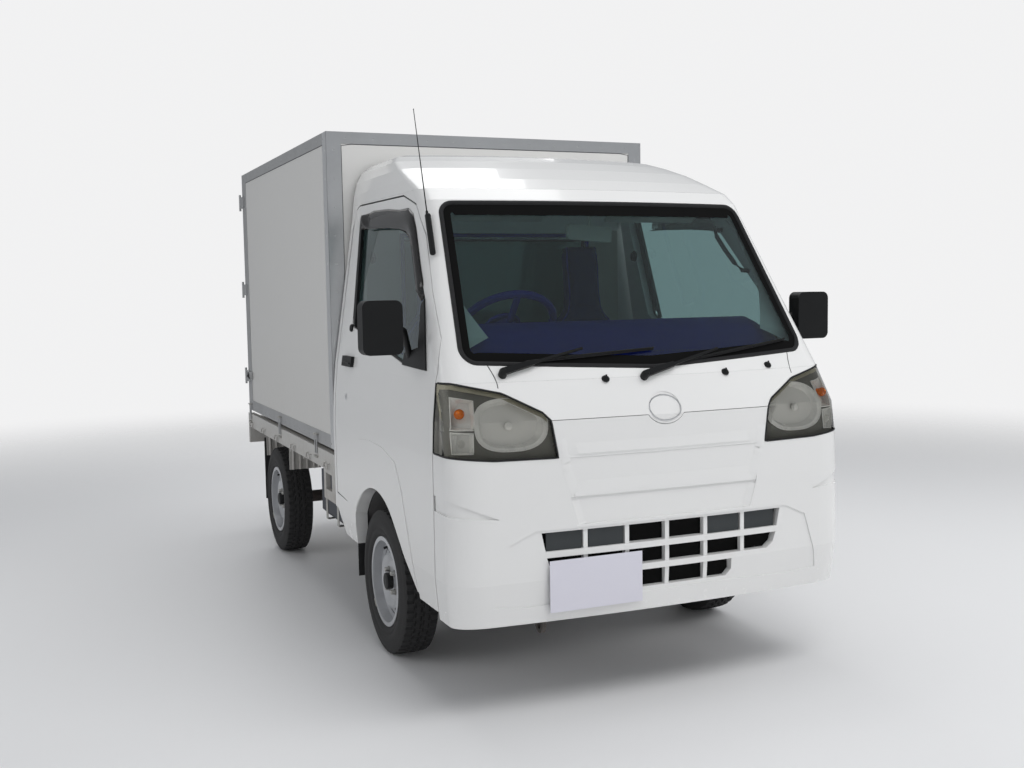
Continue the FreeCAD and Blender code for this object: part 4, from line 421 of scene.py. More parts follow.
def add_nut(mesh, centre, axis, radius, height):
    add_turned(mesh, [(0, radius * 1.25), (height * 0.15, radius * 1.25)], centre, axis, 14)
    add_turned(mesh, [(0, radius), (height * 0.85, radius), (height, radius * 0.8), (height, 0)], centre,
            axis, 6)


for end in ("front", "rear"):
    for side_name, side in both_sides:
        corner = "_" + end + "_" + side_name
        body = "wheel" + corner
        dress(wheel_silver, "rim" + corner)
        low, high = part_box("tyre" + corner)
        centre = Vector([(a + b) / 2 for a, b in zip(low, high)])
        out = Vector((side, 0, 0))
        mesh = bmesh.new()
        for index in range(nut_count):
            angle = 2 * math.pi * (index + 0.5) / nut_count
            seat = centre + out * disc_face + Vector((0, math.cos(angle), math.sin(angle))) * nut_circle
            add_nut(mesh, seat, out, 0.0095, 0.018)
        finish_piece(mesh, "wheel_nuts" + corner, zinc_steel, body, 0.0004)
        mesh = bmesh.new()
        add_turned(mesh, [(0.034, 0.0308), (hub_face, 0.0312), (hub_face + 0.004, 0.0295),
                (hub_face + 0.007, 0.020), (hub_face + 0.0075, 0.010), (hub_face + 0.0065, 0.0)], centre, out,
                40)
        finish_piece(mesh, "wheel_cap" + corner, black_plastic, body)
        mesh = bmesh.new()
        add_rod(mesh, centre + out * 0.022 + Vector((0, 0, 0.1345)),
                centre + out * 0.052 + Vector((0, 0, 0.1270)), 0.0042)
        add_rod(mesh, centre + out * 0.050 + Vector((0, 0, 0.1275)),
                centre + out * 0.060 + Vector((0, 0, 0.1250)), 0.0050, 10)
        finish_piece(mesh, "wheel_valve" + corner, seal_rubber, body)
        mesh = bmesh.new()
        path = [centre + out * 0.0612 + Vector((0, 0.1645 * math.sin(a), 0.1645 * math.cos(a)))
                for a in [2.2 + 0.03 * k for k in range(8)]]
        add_tube(mesh, path, 0.0026, 8)
        finish_piece(mesh, "wheel_weight" + corner, zinc_steel, body)


# Frame, axles and springs: black painted box rails with cross members, a cast rear axle housing,
# leaf springs under it, struts in front, and the plain engine block between the rails.
chassis_black = painted("chassis_black_paint", (0.022, 0.022, 0.024), (0.20, 0.17, 0.14), 0.55, 0.65, 0.5,
        0.3)
dress(chassis_black, "chassis_frame", "front_suspension", "propshaft", "tow_eyes")

cast_grey = metal("cast_grey_metal", (0.13, 0.13, 0.135), (0.16, 0.10, 0.07), 0.8, 0.55, 0.6, metallic=0.6)
dress(cast_grey, "engine_block", "knuckle_right", "knuckle_left", "rear_axle")

spring_dark = metal("spring_dark_steel", (0.035, 0.035, 0.037), (0.13, 0.08, 0.05), 0.6, 0.5, 0.5,
        metallic=0.4)
dress(spring_dark, "leaf_springs")

exhaust_dull = metal("exhaust_dull_steel", (0.42, 0.40, 0.37), (0.24, 0.15, 0.09), 0.8, 0.4, 0.3,
        metallic=0.85)
dress(exhaust_dull, "exhaust")

tank_dark = painted("tank_dark_paint", (0.03, 0.04, 0.06), (0.16, 0.15, 0.14), 0.5, 0.7, 0.5, 0.3)
dress(tank_dark, "fuel_tank")

grey_alloy = metal("grey_aluminium", (0.46, 0.465, 0.47), (0.34, 0.34, 0.34), 0.5, 0.42, 0.35, metallic=0.6)
dress(grey_alloy, "radiator")


def skin_tree(name):
    mesh = nodes[name].data
    return BVHTree.FromPolygons([tuple(v.co) for v in mesh.vertices],
            [tuple(p.vertices) for p in mesh.polygons])


rail_tree = skin_tree("chassis_frame")
first_bolt_y, bolt_pitch = -1.45, 0.21

mesh = bmesh.new()
for side in (-1, 1):
    for step in range(15):
        y = first_bolt_y + step * bolt_pitch
        hit, normal, face, gap = rail_tree.ray_cast(Vector((side * 0.75, y, 0.435)), Vector((-side, 0, 0)))
        if hit and abs(normal.x) > 0.9:
            add_nut(mesh, hit, (side, 0, 0), 0.007, 0.006)
finish_piece(mesh, "frame_bolts", zinc_steel, bevel=0.0004)


def add_block(mesh, low, high):
    corners = [mesh.verts.new((x, y, z)) for x in (low[0], high[0]) for y in (low[1], high[1])
            for z in (low[2], high[2])]
    for quad in ((0, 1, 3, 2), (4, 6, 7, 5), (0, 4, 5, 1), (2, 3, 7, 6), (0, 2, 6, 4), (1, 5, 7, 3)):
        mesh.faces.new([corners[index] for index in quad])


mesh = bmesh.new()
for side in (-1, 1):
    for y in (0.935, 0.965, 1.065, 1.095):
        for x in (side * 0.268, side * 0.352):
            add_rod(mesh, (x, y, 0.262), (x, y, 0.360), 0.0055)
            add_nut(mesh, (x, y, 0.268), (0, 0, -1), 0.009, 0.010)
    add_block(mesh, (side * 0.31 - 0.058, 0.915, 0.268), (side * 0.31 + 0.058, 1.115, 0.277))
finish_piece(mesh, "axle_u_bolts", spring_dark, bevel=0.0012)

mesh = bmesh.new()
for side in (-1, 1):
    strut_foot = Vector((side * 0.600, -0.8735, 0.345))
    strut_top = Vector((side * 0.575, -0.8735, 0.590))
    spring_axis = (strut_top - strut_foot).normalized()
    first = spring_axis.cross(Vector((0, 1, 0))).normalized()
    second = spring_axis.cross(first)
    turns, coil_radius, wire_radius = 4.5, 0.035, 0.0052
    coil = []
    for step in range(89):
        angle = 2 * math.pi * turns * step / 88
        share = step / 88
        coil.append(strut_foot.lerp(strut_top, 0.46 + 0.46 * share)
                + (first * math.cos(angle) + second * math.sin(angle)) * coil_radius)
    add_tube(mesh, coil, wire_radius, 8)
finish_piece(mesh, "strut_springs", spring_dark)

mesh = bmesh.new()
ring_axis = (0, 1, 0)
for y in (-0.33, 0.80):
    add_turned(mesh, [(-0.018, 0.030), (-0.018, 0.043), (0.018, 0.043), (0.018, 0.030)],
            (0, y, 0.31 if y < 0 else 0.27), ring_axis, 28)
finish_piece(mesh, "shaft_flanges", cast_grey, bevel=0.0015)

mesh = bmesh.new()
tank_low, tank_high = [Vector(corner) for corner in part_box("fuel_tank")]
for y in (0.085, 0.285):
    add_block(mesh, (tank_low.x - 0.0015, y - 0.016, tank_low.z - 0.003), (tank_high.x + 0.0015, y + 0.016,
            tank_low.z))
    add_block(mesh, (tank_low.x - 0.003, y - 0.016, tank_low.z - 0.003),
            (tank_low.x, y + 0.016, tank_high.z - 0.02))
    add_block(mesh, (tank_high.x, y - 0.016, tank_low.z - 0.003), (tank_high.x + 0.003, y + 0.016,
            tank_high.z - 0.02))
finish_piece(mesh, "tank_straps", zinc_steel, bevel=0.0008)


# Radiator: flat tubes and folded fins in an aluminium core, with a dark moulded tank at each end.
# It stands upright behind the grille, where the air through the bumper reaches it.
mesh = bmesh.new()
low, high = [Vector(corner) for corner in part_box("radiator")]
for k in range(22):
    z = low.z + 0.008 + k * (high.z - low.z - 0.016) / 21
    add_tube(mesh, [(low.x + 0.03, low.y - 0.0005, z), (high.x - 0.03, low.y - 0.0005, z)], 0.0016, 6)
finish_piece(mesh, "radiator_tubes", grey_alloy)
mesh = bmesh.new()
add_block(mesh, (low.x, low.y - 0.002, low.z), (low.x + 0.032, high.y + 0.002, high.z))
add_block(mesh, (high.x - 0.032, low.y - 0.002, low.z), (high.x, high.y + 0.002, high.z))
finish_piece(mesh, "radiator_tanks", black_plastic, bevel=0.004)


# Cab body: pressed steel panels, spot welded and enamelled gloss white, with black sealing at the seams.
# The roof drops onto the pillars, and the front panel and bumper bolt to the nose.
road_dust = (0.36, 0.33, 0.29)
cab_white = painted("cab_white_enamel", (0.81, 0.808, 0.80), road_dust, 0.22, 0.60, 0.20, 0.10, coat=0.5)
dress(cab_white, "cab_shell", "cab_roof", "front_panel")


# Glass and lens plastic: a light tint with thin haze in patches.
def clear_group():
    tree, start, end = group_tree("clear_skin", (
            ("Tint", "NodeSocketColor", (0.8, 0.9, 0.9, 1)),
            ("Haze", "NodeSocketColor", (0.8, 0.8, 0.7, 1)),
            ("Haze Amount", "NodeSocketFloat", 0.1),
            ("Gloss", "NodeSocketFloat", 0.02),
            ), (("Color", "NodeSocketColor"), ("Roughness", "NodeSocketFloat")))
    place = tree.nodes.new("ShaderNodeTexCoord").outputs["Object"]
    cloud = noise_value(tree, place, 5.0, 4.0, 0.6)
    hazy = math_node(tree, "MULTIPLY", cloud, start.outputs["Haze Amount"], clamp=True)
    tree.links.new(blend_colour(tree, hazy, start.outputs["Tint"], start.outputs["Haze"]),
            end.inputs["Color"])
    tree.links.new(math_node(tree, "MULTIPLY_ADD", hazy, 0.12, start.outputs["Gloss"]),
            end.inputs["Roughness"])
    return tree


clear_skin = clear_group()


def clear(name, tint, haze, amount, gloss, transmission, bend=1.45):
    values = {"Tint": tint + (1,), "Haze": haze + (1,), "Haze Amount": amount, "Gloss": gloss}
    return finish_from(name, clear_skin, values, transmission=transmission, bend=bend)


window_glass = clear("window_glass", (0.60, 0.78, 0.77), (0.70, 0.80, 0.78), 0.06, 0.012, 1.0)
dress(window_glass, "cab_glass")


def merged(node):
    mesh = bmesh.new()
    mesh.from_mesh(nodes[node].data)
    bmesh.ops.remove_doubles(mesh, verts=mesh.verts, dist=1e-5)
    bmesh.ops.dissolve_degenerate(mesh, edges=mesh.edges, dist=1e-6)
    mesh.faces.ensure_lookup_table()
    return mesh


def rim_path(node, outward, share=0.5, keep=None):
    mesh = merged(node)
    outward = Vector(outward).normalized()
    front = {face for face in mesh.faces if face.normal.dot(outward) > share
            and (keep is None or keep(face.calc_center_median()))}
    links = {}
    for edge in mesh.edges:
        inside = [face for face in edge.link_faces if face in front]
        if len(inside) == 1 and len(edge.link_faces) == 2:
            a, b = edge.verts
            links.setdefault(a.index, []).append(b.index)
            links.setdefault(b.index, []).append(a.index)
    places = {vert.index: vert.co.copy() for vert in mesh.verts}
    mesh.free()
    loops = []
    while links:
        start = next(iter(links))
        loop = [start]
        here = links.pop(start)
        step = here[0]
        while step != start and step in links:
            loop.append(step)
            ways = links.pop(step)
            fresh = [way for way in ways if way in links]
            step = fresh[0] if fresh else start
        loops.append([places[index] for index in loop])
    loops.sort(key=lambda loop: -sum((a - b).length for a, b in zip(loop, loop[1:])))
    return loops


screen_loops = rim_path("cab_glass", (0, -1, 0.45), 0.6, lambda c: c.y < -0.9)


def even(points, step, closed=True):
    points = list(points) + ([points[0]] if closed else [])
    out = [points[0].copy()]
    carry = 0.0
    for a, b in zip(points, points[1:]):
        span = (b - a).length
        if span < 1e-9:
            continue
        place = step - carry
        while place <= span:
            out.append(a.lerp(b, place / span))
            place += step
        carry = (carry + span) % step
    if closed and (out[-1] - out[0]).length < step * 0.5:
        out.pop()
    return out


screen_path = even(screen_loops[0], 0.012)
mesh = bmesh.new()
add_tube(mesh, screen_path, 0.0085, 8, closed=True)
finish_piece(mesh, "screen_seal", seal_rubber)

screen_centre = sum(screen_path, Vector()) / len(screen_path)
screen_out = Vector((0, -0.94, 0.34)).normalized()
border_top, border_side, border_foot = 0.052, 0.032, 0.042
screen_low = min(point.z for point in screen_path)
screen_high = max(point.z for point in screen_path)
mesh = bmesh.new()
outer_ring, inner_ring = [], []
count = len(screen_path)

glass_tree = skin_tree("cab_glass")

for index, point in enumerate(screen_path):
    along = (screen_path[(index + 1) % count] - screen_path[index - 1]).normalized()
    inward = along.cross(screen_out)
    if inward.dot(screen_centre - point) < 0:
        inward = -inward
    upright = abs(inward.x)
    edge_width = border_top if point.z > (screen_low + screen_high) / 2 else border_foot
    inner = point + inward * (edge_width + (border_side - edge_width) * upright)
    hit, normal, face, gap = glass_tree.ray_cast(inner + screen_out * 0.05, -screen_out, 0.2)
    outer_ring.append(mesh.verts.new(point + screen_out * 0.0008))
    inner_ring.append(mesh.verts.new((hit if hit else inner) + screen_out * 0.0008))
for index in range(count):
    after = (index + 1) % count
    mesh.faces.new((outer_ring[index], outer_ring[after], inner_ring[after], inner_ring[index]))

# Near-black paint: really black on the windscreen border, the instrument face and the board joints; painted
# shade on the grille plate, the key slot and the lashing slots.
black_and_shade_paint = moulded("dark_paint", (0.006, 0.006, 0.006), (0.02, 0.02, 0.02), 0.2, 0.9, 0.1, specular=0.1)

finish_piece(mesh, "screen_border", black_and_shade_paint, smooth=80)

rear_loops = rim_path("cab_glass", (0, 1, 0), 0.7, lambda c: c.y > -0.6)
mesh = bmesh.new()
add_tube(mesh, even(rear_loops[0], 0.015), 0.009, 8, closed=True)
finish_piece(mesh, "rear_window_seal", seal_rubber)


# Nose: a seam runs down the corner from the windscreen to each headlamp, three washer nozzles stand on
# the cowl, and the oval badge place in the middle is left bare with a bright edge.
def joined_tree(names):
    points, faces = [], []
    for name in names:
        mesh = nodes[name].data
        start = len(points)
        points.extend(tuple(v.co) for v in mesh.vertices)
        faces.extend(tuple(start + index for index in p.vertices) for p in mesh.polygons)
    return BVHTree.FromPolygons(points, faces)


ahead_y = -2.2
nose_tree = joined_tree(("cab_shell", "front_panel", "front_bumper", "headlamps"))


def on_skin(tree, start, direction, lift=0.0, reach=1.5):
    hit, normal, face, gap = tree.ray_cast(Vector(start), Vector(direction).normalized(), reach)
    if hit is None:
        return None, None
    if normal.dot(Vector(direction)) > 0:
        normal = -normal
    return hit + normal * lift, normal


def skin_line(tree, starts, direction, lift):
    out = []
    for start in starts:
        point, normal = on_skin(tree, start, direction, lift)
        if point is not None:
            out.append(point)
    return out


for side_name, side in both_sides:
    mesh = bmesh.new()
    starts = [(side * x, ahead_y, z) for x, z in ((0.5715, 1.1120), (0.5700, 1.1080), (0.5665, 1.0980),
            (0.5623, 1.0872), (0.5580, 1.0720), (0.5550, 1.0560), (0.5550, 1.0400))]
    line = skin_line(nose_tree, starts, (0, 1, 0), -0.0004)
    if len(line) > 3:
        add_tube(mesh, line, 0.0016, 6)
        finish_piece(mesh, "corner_seam_" + side_name, seal_rubber)
    else:
        mesh.free()

mesh = bmesh.new()
for x, z in ((-0.192, 1.055), (0.266, 1.057), (0.458, 1.071)):
    point, normal = on_skin(nose_tree, (x, ahead_y, z), (0, 1, 0), 0.0)
    lift = (normal + Vector((0, 0, 0.8))).normalized()
    add_turned(mesh, [(-0.002, 0.014), (0.003, 0.0135), (0.007, 0.010), (0.010, 0.0065), (0.013, 0.0)], point,
            lift, 20)
    add_rod(mesh, point + lift * 0.008, point + lift * 0.008 + Vector((0, -0.002, 0.008)), 0.003, 10)
finish_piece(mesh, "washer_nozzles", black_plastic, bevel=0.0004)

mesh = bmesh.new()
oval = []
for step in range(48):
    angle = 2 * math.pi * step / 48
    point, normal = on_skin(nose_tree, (0.058 * math.cos(angle), ahead_y, 0.956 + 0.040 * math.sin(angle)),
            (0, 1, 0), 0.0006)
    if point is not None:
        oval.append(point)
add_tube(mesh, oval, 0.0022, 8, closed=True)

bright_alloy = metal("bright_aluminium", (0.74, 0.75, 0.76), (0.52, 0.52, 0.52), 0.45, 0.26, 0.35,
        metallic=0.9)

finish_piece(mesh, "bare_oval_edge", bright_alloy)


# Headlamps: a clear cover, yellowed along its top, over a dark frame. The main bowl is silvered and fluted,
# a square silvered chamber holds the amber turn bulb, and a small clear lamp sits below it.
lens_clear = clear("lens_clear", (0.97, 0.965, 0.94), (0.90, 0.86, 0.70), 0.25, 0.02, 1.0, 1.10)
dress(lens_clear, "headlamps")
lamp_low, lamp_high = [Vector(corner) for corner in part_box("headlamps")]
lamp_mesh = merged("headlamps")
lamp_faces = []
for face in lamp_mesh.faces:
    centre = face.calc_center_median()
    outward = Vector((math.copysign(0.55, centre.x), -1.0, 0.05)).normalized()
    if face.normal.dot(outward) > 0.35:
        lamp_faces.append([v.co.copy() for v in face.verts])
lamp_mesh.free()

bowl_centre = (0.533, 0.925)
bowl_window = []
for step in range(48):
    angle = 2 * math.pi * step / 48
    dx, dz = math.cos(angle), math.sin(angle)
    reach = 1.0 / (abs(dx / 0.117) ** 2.6 + abs(dz / (0.076 if dz < 0 else 0.082)) ** 2.6) ** (1 / 2.6)
    bowl_window.append((bowl_centre[0] + dx * reach, bowl_centre[1] + dz * reach))
turn_window = [(0.703, 1.016), (0.640, 1.004), (0.6535, 0.919), (0.7185, 0.919)]
park_window = [(0.7185, 0.912), (0.6560, 0.909), (0.6580, 0.848), (0.7175, 0.848)]

lamp_tree = skin_tree("headlamps")
frame_smoke = moulded("lamp_frame_plastic", (0.17, 0.17, 0.16), (0.24, 0.235, 0.21), 0.3, 0.30, 0.2)
# The silvered reflector is given a near-white, mostly diffuse colour: a painted reflection, brighter than its
# own silvering.
reflector = metal("lamp_reflector", (0.95, 0.95, 0.945), (0.72, 0.72, 0.70), 0.5, 0.16, 0.6, metallic=0.12)
bulb_amber = clear("amber_bulb", (0.95, 0.22, 0.02), (0.80, 0.25, 0.04), 0.1, 0.10, 0.25)
bulb_clear = clear("bulb_glass", (0.95, 0.95, 0.93), (0.9, 0.9, 0.88), 0.1, 0.03, 0.8)


def lamp_point(x, z, sink):
    point, normal = on_skin(lamp_tree, (x, ahead_y, z), (0, 1, 0))
    if point is None:
        return None
    return Vector((x, point.y + sink, z))


def in_window(x, z, windows):
    for corners in windows:
        inside = False
        for (x0, z0), (x1, z1) in zip(corners, corners[1:] + corners[:1]):
            if (z0 > z) != (z1 > z) and x < x0 + (x1 - x0) * (z - z0) / (z1 - z0):
                inside = not inside
        if inside:
            return True
    return False


yellowed = moulded("yellowed_lens_edge", (0.50, 0.48, 0.38), (0.38, 0.355, 0.27), 0.5, 0.25, 0.1)

for side_name, side in both_sides:
    mesh = bmesh.new()
    for corners in lamp_faces:
        if corners[0].x * side > 0:
            mesh.faces.new([mesh.verts.new(corner) for corner in corners])
    bmesh.ops.remove_doubles(mesh, verts=mesh.verts, dist=1e-5)
    bmesh.ops.recalc_face_normals(mesh, faces=mesh.faces)
    cover = bpy.data.meshes.new("lamp_cover_" + side_name)
    mesh.to_mesh(cover)
    mesh.free()
    item = bpy.data.objects.new("lamp_cover_" + side_name, cover)
    scene.collection.objects.link(item)
    cover.materials.append(lens_clear)
    cover.polygons.foreach_set("use_smooth", [True] * len(cover.polygons))
    cover.set_sharp_from_angle(angle=math.radians(30))
    wall = item.modifiers.new("wall", "SOLIDIFY")
    wall.thickness = 0.0028
    wall.offset = -1
    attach(item, "truck")
    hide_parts("headlamps")

    mesh = bmesh.new()
    columns = []
    wide_steps, tall_steps = 84, 56
    for i in range(wide_steps + 1):
        x = abs(lamp_low.x) - 0.003 - (abs(lamp_low.x) - 0.390) * i / wide_steps
        column = []
        for j in range(tall_steps + 1):
            z = lamp_low.z + 0.003 + (lamp_high.z - lamp_low.z - 0.006) * j / tall_steps
            place = lamp_point(side * x, z, 0.014)
            column.append(mesh.verts.new(place) if place else None)
        columns.append(column)
    windows = (bowl_window, turn_window, park_window)
    for i in range(wide_steps):
        for j in range(tall_steps):
            quad = (columns[i][j], columns[i + 1][j], columns[i + 1][j + 1], columns[i][j + 1])
            if any(v is None for v in quad):
                continue
            x = sum(abs(v.co.x) for v in quad) / 4
            z = sum(v.co.z for v in quad) / 4
            if not in_window(x, z, windows):
                mesh.faces.new(quad)
    loose = [v for v in mesh.verts if not v.link_faces]
    bmesh.ops.delete(mesh, geom=loose, context="VERTS")
    finish_piece(mesh, "lamp_frame_" + side_name, frame_smoke, smooth=45,
            replace=("headlamps",))

    mesh = bmesh.new()
    strip = []
    for i in range(wide_steps + 1):
        x = abs(lamp_low.x) - 0.006 - (abs(lamp_low.x) - 0.420) * i / wide_steps
        under, over = 0.940, lamp_high.z + 0.010
        if lamp_point(side * x, under, 0) is None:
            continue
        for _ in range(12):
            middle = (under + over) / 2
            under, over = (middle, over) if lamp_point(side * x, middle, 0) else (under, middle)
        pair = [lamp_point(side * x, under - drop, 0.0105) for drop in (0.0015, 0.0185)]
        if all(pair):
            strip.append([mesh.verts.new(place) for place in pair])
    for (top, foot), (next_top, next_foot) in zip(strip, strip[1:]):
        mesh.faces.new((top, next_top, next_foot, foot))
    finish_piece(mesh, "yellowed_edge_" + side_name, yellowed, smooth=45)
    outward = Vector((side * 0.55, -1, 0.05)).normalized()
    rim_loops = rim_path("headlamps", outward, 0.35, lambda centre: centre.x * side > 0)
    mesh = bmesh.new()
    add_tube(mesh, [point - outward * 0.0006 for point in even(rim_loops[0], 0.012)], 0.0034, 8, closed=True)
    finish_piece(mesh, "lamp_gasket_" + side_name, seal_rubber)

    mesh = bmesh.new()
    shine = bmesh.new()
    for corners, deep, flutes in ((bowl_window, 0.066, 0.0011), (turn_window, 0.036, 0.0),
            (park_window, 0.030, 0.0)):
        middle = (sum(c[0] for c in corners) / len(corners), sum(c[1] for c in corners) / len(corners))
        around = []
        for (x0, z0), (x1, z1) in zip(corners, corners[1:] + corners[:1]):
            parts = 6 if len(corners) > 8 else 12
            around += [(x0 + (x1 - x0) * k / parts, z0 + (z1 - z0) * k / parts) for k in range(parts)]
        edge = []
        for x, z in around:
            place = lamp_point(side * x, z, 0.012)
            share = 1.0
            while place is None and share > 0.3:
                share -= 0.02
                place = lamp_point(side * (middle[0] + (x - middle[0]) * share),
                        middle[1] + (z - middle[1]) * share, 0.012)
            edge.append(place if place else Vector((side * middle[0], -1.64, middle[1])))
        add_tube(mesh, edge, 0.0022, 8, closed=True)
        back_y = sum(p.y for p in edge) / len(edge) + deep
        rings = []
        for level in range(25):
            share = level / 24
            ring = []
            for place in edge:
                if len(corners) > 8:
                    shrink = 1 - 0.7 * share if share < 0.17 else 0.88 * (1 - (share - 0.17) / 0.83)
                    sunk = 0.16 * share if share < 0.17 else 0.06 + 0.94 * (1 - (shrink / 0.88) ** 2)
                    depth = place.y + (back_y - place.y) * sunk
                    ripple = flutes * math.sin((place.x - side * middle[0]) * shrink * 620) * (share > 0.2)
                else:
                    shrink = 1 - 0.30 * min(1.0, share * 1.2) if share < 0.84 else (1 - share) / 0.16 * 0.70
                    depth = place.y + (back_y - place.y) * min(1.0, share * 1.2)
                    ripple = 0.0
                x = side * middle[0] + (place.x - side * middle[0]) * shrink
                z = middle[1] + (place.z - middle[1]) * shrink
                ring.append(shine.verts.new((x, depth + ripple, z)))
            rings.append(ring)
        for here, ahead in zip(rings, rings[1:]):
            for k in range(len(here)):
                after = (k + 1) % len(here)
                shine.faces.new((here[k], here[after], ahead[after], ahead[k]))
    bmesh.ops.remove_doubles(shine, verts=shine.verts, dist=1e-6)
    # Bezel rings and bowls carry the near-white reflector colour, a painted reflection of the silvered lamp.
    finish_piece(mesh, "lamp_bezels_" + side_name, reflector, smooth=60)
    finish_piece(shine, "lamp_bowls_" + side_name, reflector, smooth=40)

    outward = Vector((side * 0.25, -1.0, 0.0)).normalized()
    for piece, material, place, radius, long in (("turn_bulb", bulb_amber, (0.684, -1.594, 0.966), 0.0165,
            0.024), ("park_bulb", bulb_clear, (0.687, -1.615, 0.878), 0.0125, 0.020),
            ("main_bulb", bulb_clear, (0.533, -1.618, 0.925), 0.0105, 0.024)):
        mesh = bmesh.new()
        add_turned(mesh, [(-0.012, 0.0), (-0.012, radius * 0.7), (0.0, radius * 0.8), (long * 0.35, radius),
                (long * 0.7, radius * 0.82), (long * 0.92, radius * 0.4), (long, 0.0)],
                (side * place[0], place[1], place[2]), outward, 24)
        finish_piece(mesh, piece + "_" + side_name, material, smooth=60)
    mesh = bmesh.new()
    add_turned(mesh, [(0.022, 0.0), (0.022, 0.0135), (0.032, 0.0125), (0.036, 0.007), (0.037, 0.0)],
            (side * 0.533, -1.618, 0.925), outward, 28)
    finish_piece(mesh, "bulb_shade_" + side_name, reflector, smooth=40)


# Bumper: near-black plates stand behind the upper grille row, the two middle openings and the lower rows,
# standing in as painted shade inside the openings, and the blank plate is held by two screws with white caps.
grille_cells = ((-0.430, -0.308), (-0.284, -0.160), (0.160, 0.284), (0.308, 0.430))
filler_low, filler_high = 0.524, 0.587


def add_slab(mesh, outline, shift):
    low = [mesh.verts.new(p) for p in outline]
    high = [mesh.verts.new(Vector(p) + Vector(shift)) for p in outline]
    mesh.faces.new(low[::-1])
    mesh.faces.new(high)
    for index in range(len(low)):
        after = (index + 1) % len(low)
        mesh.faces.new((low[index], low[after], high[after], high[index]))


def face_depth(x):
    return -1.6950 + 0.0210 * (x / 0.620) ** 2


mesh = bmesh.new()
for x0, x1 in grille_cells:
    steps = 6
    outline = []
    for step in range(steps + 1):
        x = x0 + (x1 - x0) * step / steps
        outline.append((x, face_depth(x) + 0.0135, filler_low))
    for step in reversed(range(steps + 1)):
        x = x0 + (x1 - x0) * step / steps
        outline.append((x, face_depth(x) + 0.0170, filler_low))
    add_slab(mesh, outline, (0, 0, filler_high - filler_low))

# Near-black plates behind the four outer upper cells: painted shade inside the grille openings.
grille_shade_plastic = moulded("grille_shade_plastic", (0.028, 0.034, 0.037), (0.09, 0.09, 0.09), 0.3, 0.35, 0.3)

finish_piece(mesh, "grille_shade_backing", grille_shade_plastic, bevel=0.0008)

# A near-black plate behind the two middle openings and the lower rows: painted shade seen through the bumper.
mesh = bmesh.new()
across = [-0.455 + 0.91 * k / 14 for k in range(15)]
outline = [(x, -1.6628 + 0.0505 * x * x, 0.372) for x in across]
outline += [(x, -1.6612 + 0.0505 * x * x, 0.372) for x in reversed(across)]
add_slab(mesh, outline, (0, 0, 0.220))
finish_piece(mesh, "grille_shade_plate", black_and_shade_paint)


# The steps pressed across the bumper's face are soft ridges, each with a gentle upper side and a steeper
# lower side. They are moulded in one with the bumper and painted with it.
bumper_tree = skin_tree("front_bumper")


def add_swage(mesh, tree, line, inward, gentle, steep, height):
    inward = Vector((inward[0], 0, inward[1])).normalized()
    rows = []
    count = len(line)
    for index, (x, z) in enumerate(line):
        fade = min(1.0, index / 3, (count - 1 - index) / 3)
        crest = Vector((x, ahead_y, z))
        row = []
        for start, rise in ((crest - inward * gentle, 0.0003), (crest, 0.0003 + height * fade),
                (crest + inward * steep, 0.0003)):
            point, normal = on_skin(tree, start, (0, 1, 0))
            row.append(mesh.verts.new(point + Vector((0, -rise, 0))) if point is not None else None)
        rows.append(row)
    for here, ahead in zip(rows, rows[1:]):
        for k in range(2):
            quad = (here[k], ahead[k], ahead[k + 1], here[k + 1])
            if all(quad):
                mesh.faces.new(quad)


def between(start, end, parts):
    return [(start[0] + (end[0] - start[0]) * k / parts, start[1] + (end[1] - start[1]) * k / parts)
            for k in range(parts + 1)]


mesh = bmesh.new()
add_swage(mesh, bumper_tree, between((-0.366, 0.8290), (0.366, 0.8290), 40), (0, -1), 0.034, 0.014, 0.0028)
add_swage(mesh, bumper_tree, between((-0.334, 0.7090), (0.334, 0.7090), 40), (0, -1), 0.034, 0.015, 0.0028)
for side in (-1, 1):
    for start, end in (((0.3790, 0.8760), (0.3640, 0.8020)), ((0.3660, 0.7960), (0.3340, 0.7010)),
            ((0.3400, 0.6820), (0.3140, 0.6010))):
        add_swage(mesh, bumper_tree, between((side * start[0], start[1]), (side * end[0], end[1]), 14),
                (-side, 0.25), 0.014, 0.020, 0.0024)

moulding_white = painted("bumper_white_enamel", (0.81, 0.808, 0.80), road_dust, 0.07, 0.50, 0.23, 0.12,
        coat=0.45)

finish_piece(mesh, "bumper_swages", moulding_white, smooth=20)

mesh = bmesh.new()
dress(moulding_white, "front_bumper")

plate_white = painted("plate_blank_enamel", (0.72, 0.71, 0.79), road_dust, 0.15, 0.5, 0.3, 0.1)
dress(plate_white, "number_plate")
plate_low, plate_high = [Vector(corner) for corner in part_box("number_plate")]
for side in (-1, 1):
    centre = Vector(((plate_low.x + plate_high.x) / 2 + side * 0.105, plate_low.y + 0.0003,
            plate_high.z - 0.028))
    add_turned(mesh, [(0.0, 0.0065), (0.0002, 0.0065), (0.0003, 0.0)], centre, (0, -1, 0), 24)
finish_piece(mesh, "plate_screw_caps", plate_white)


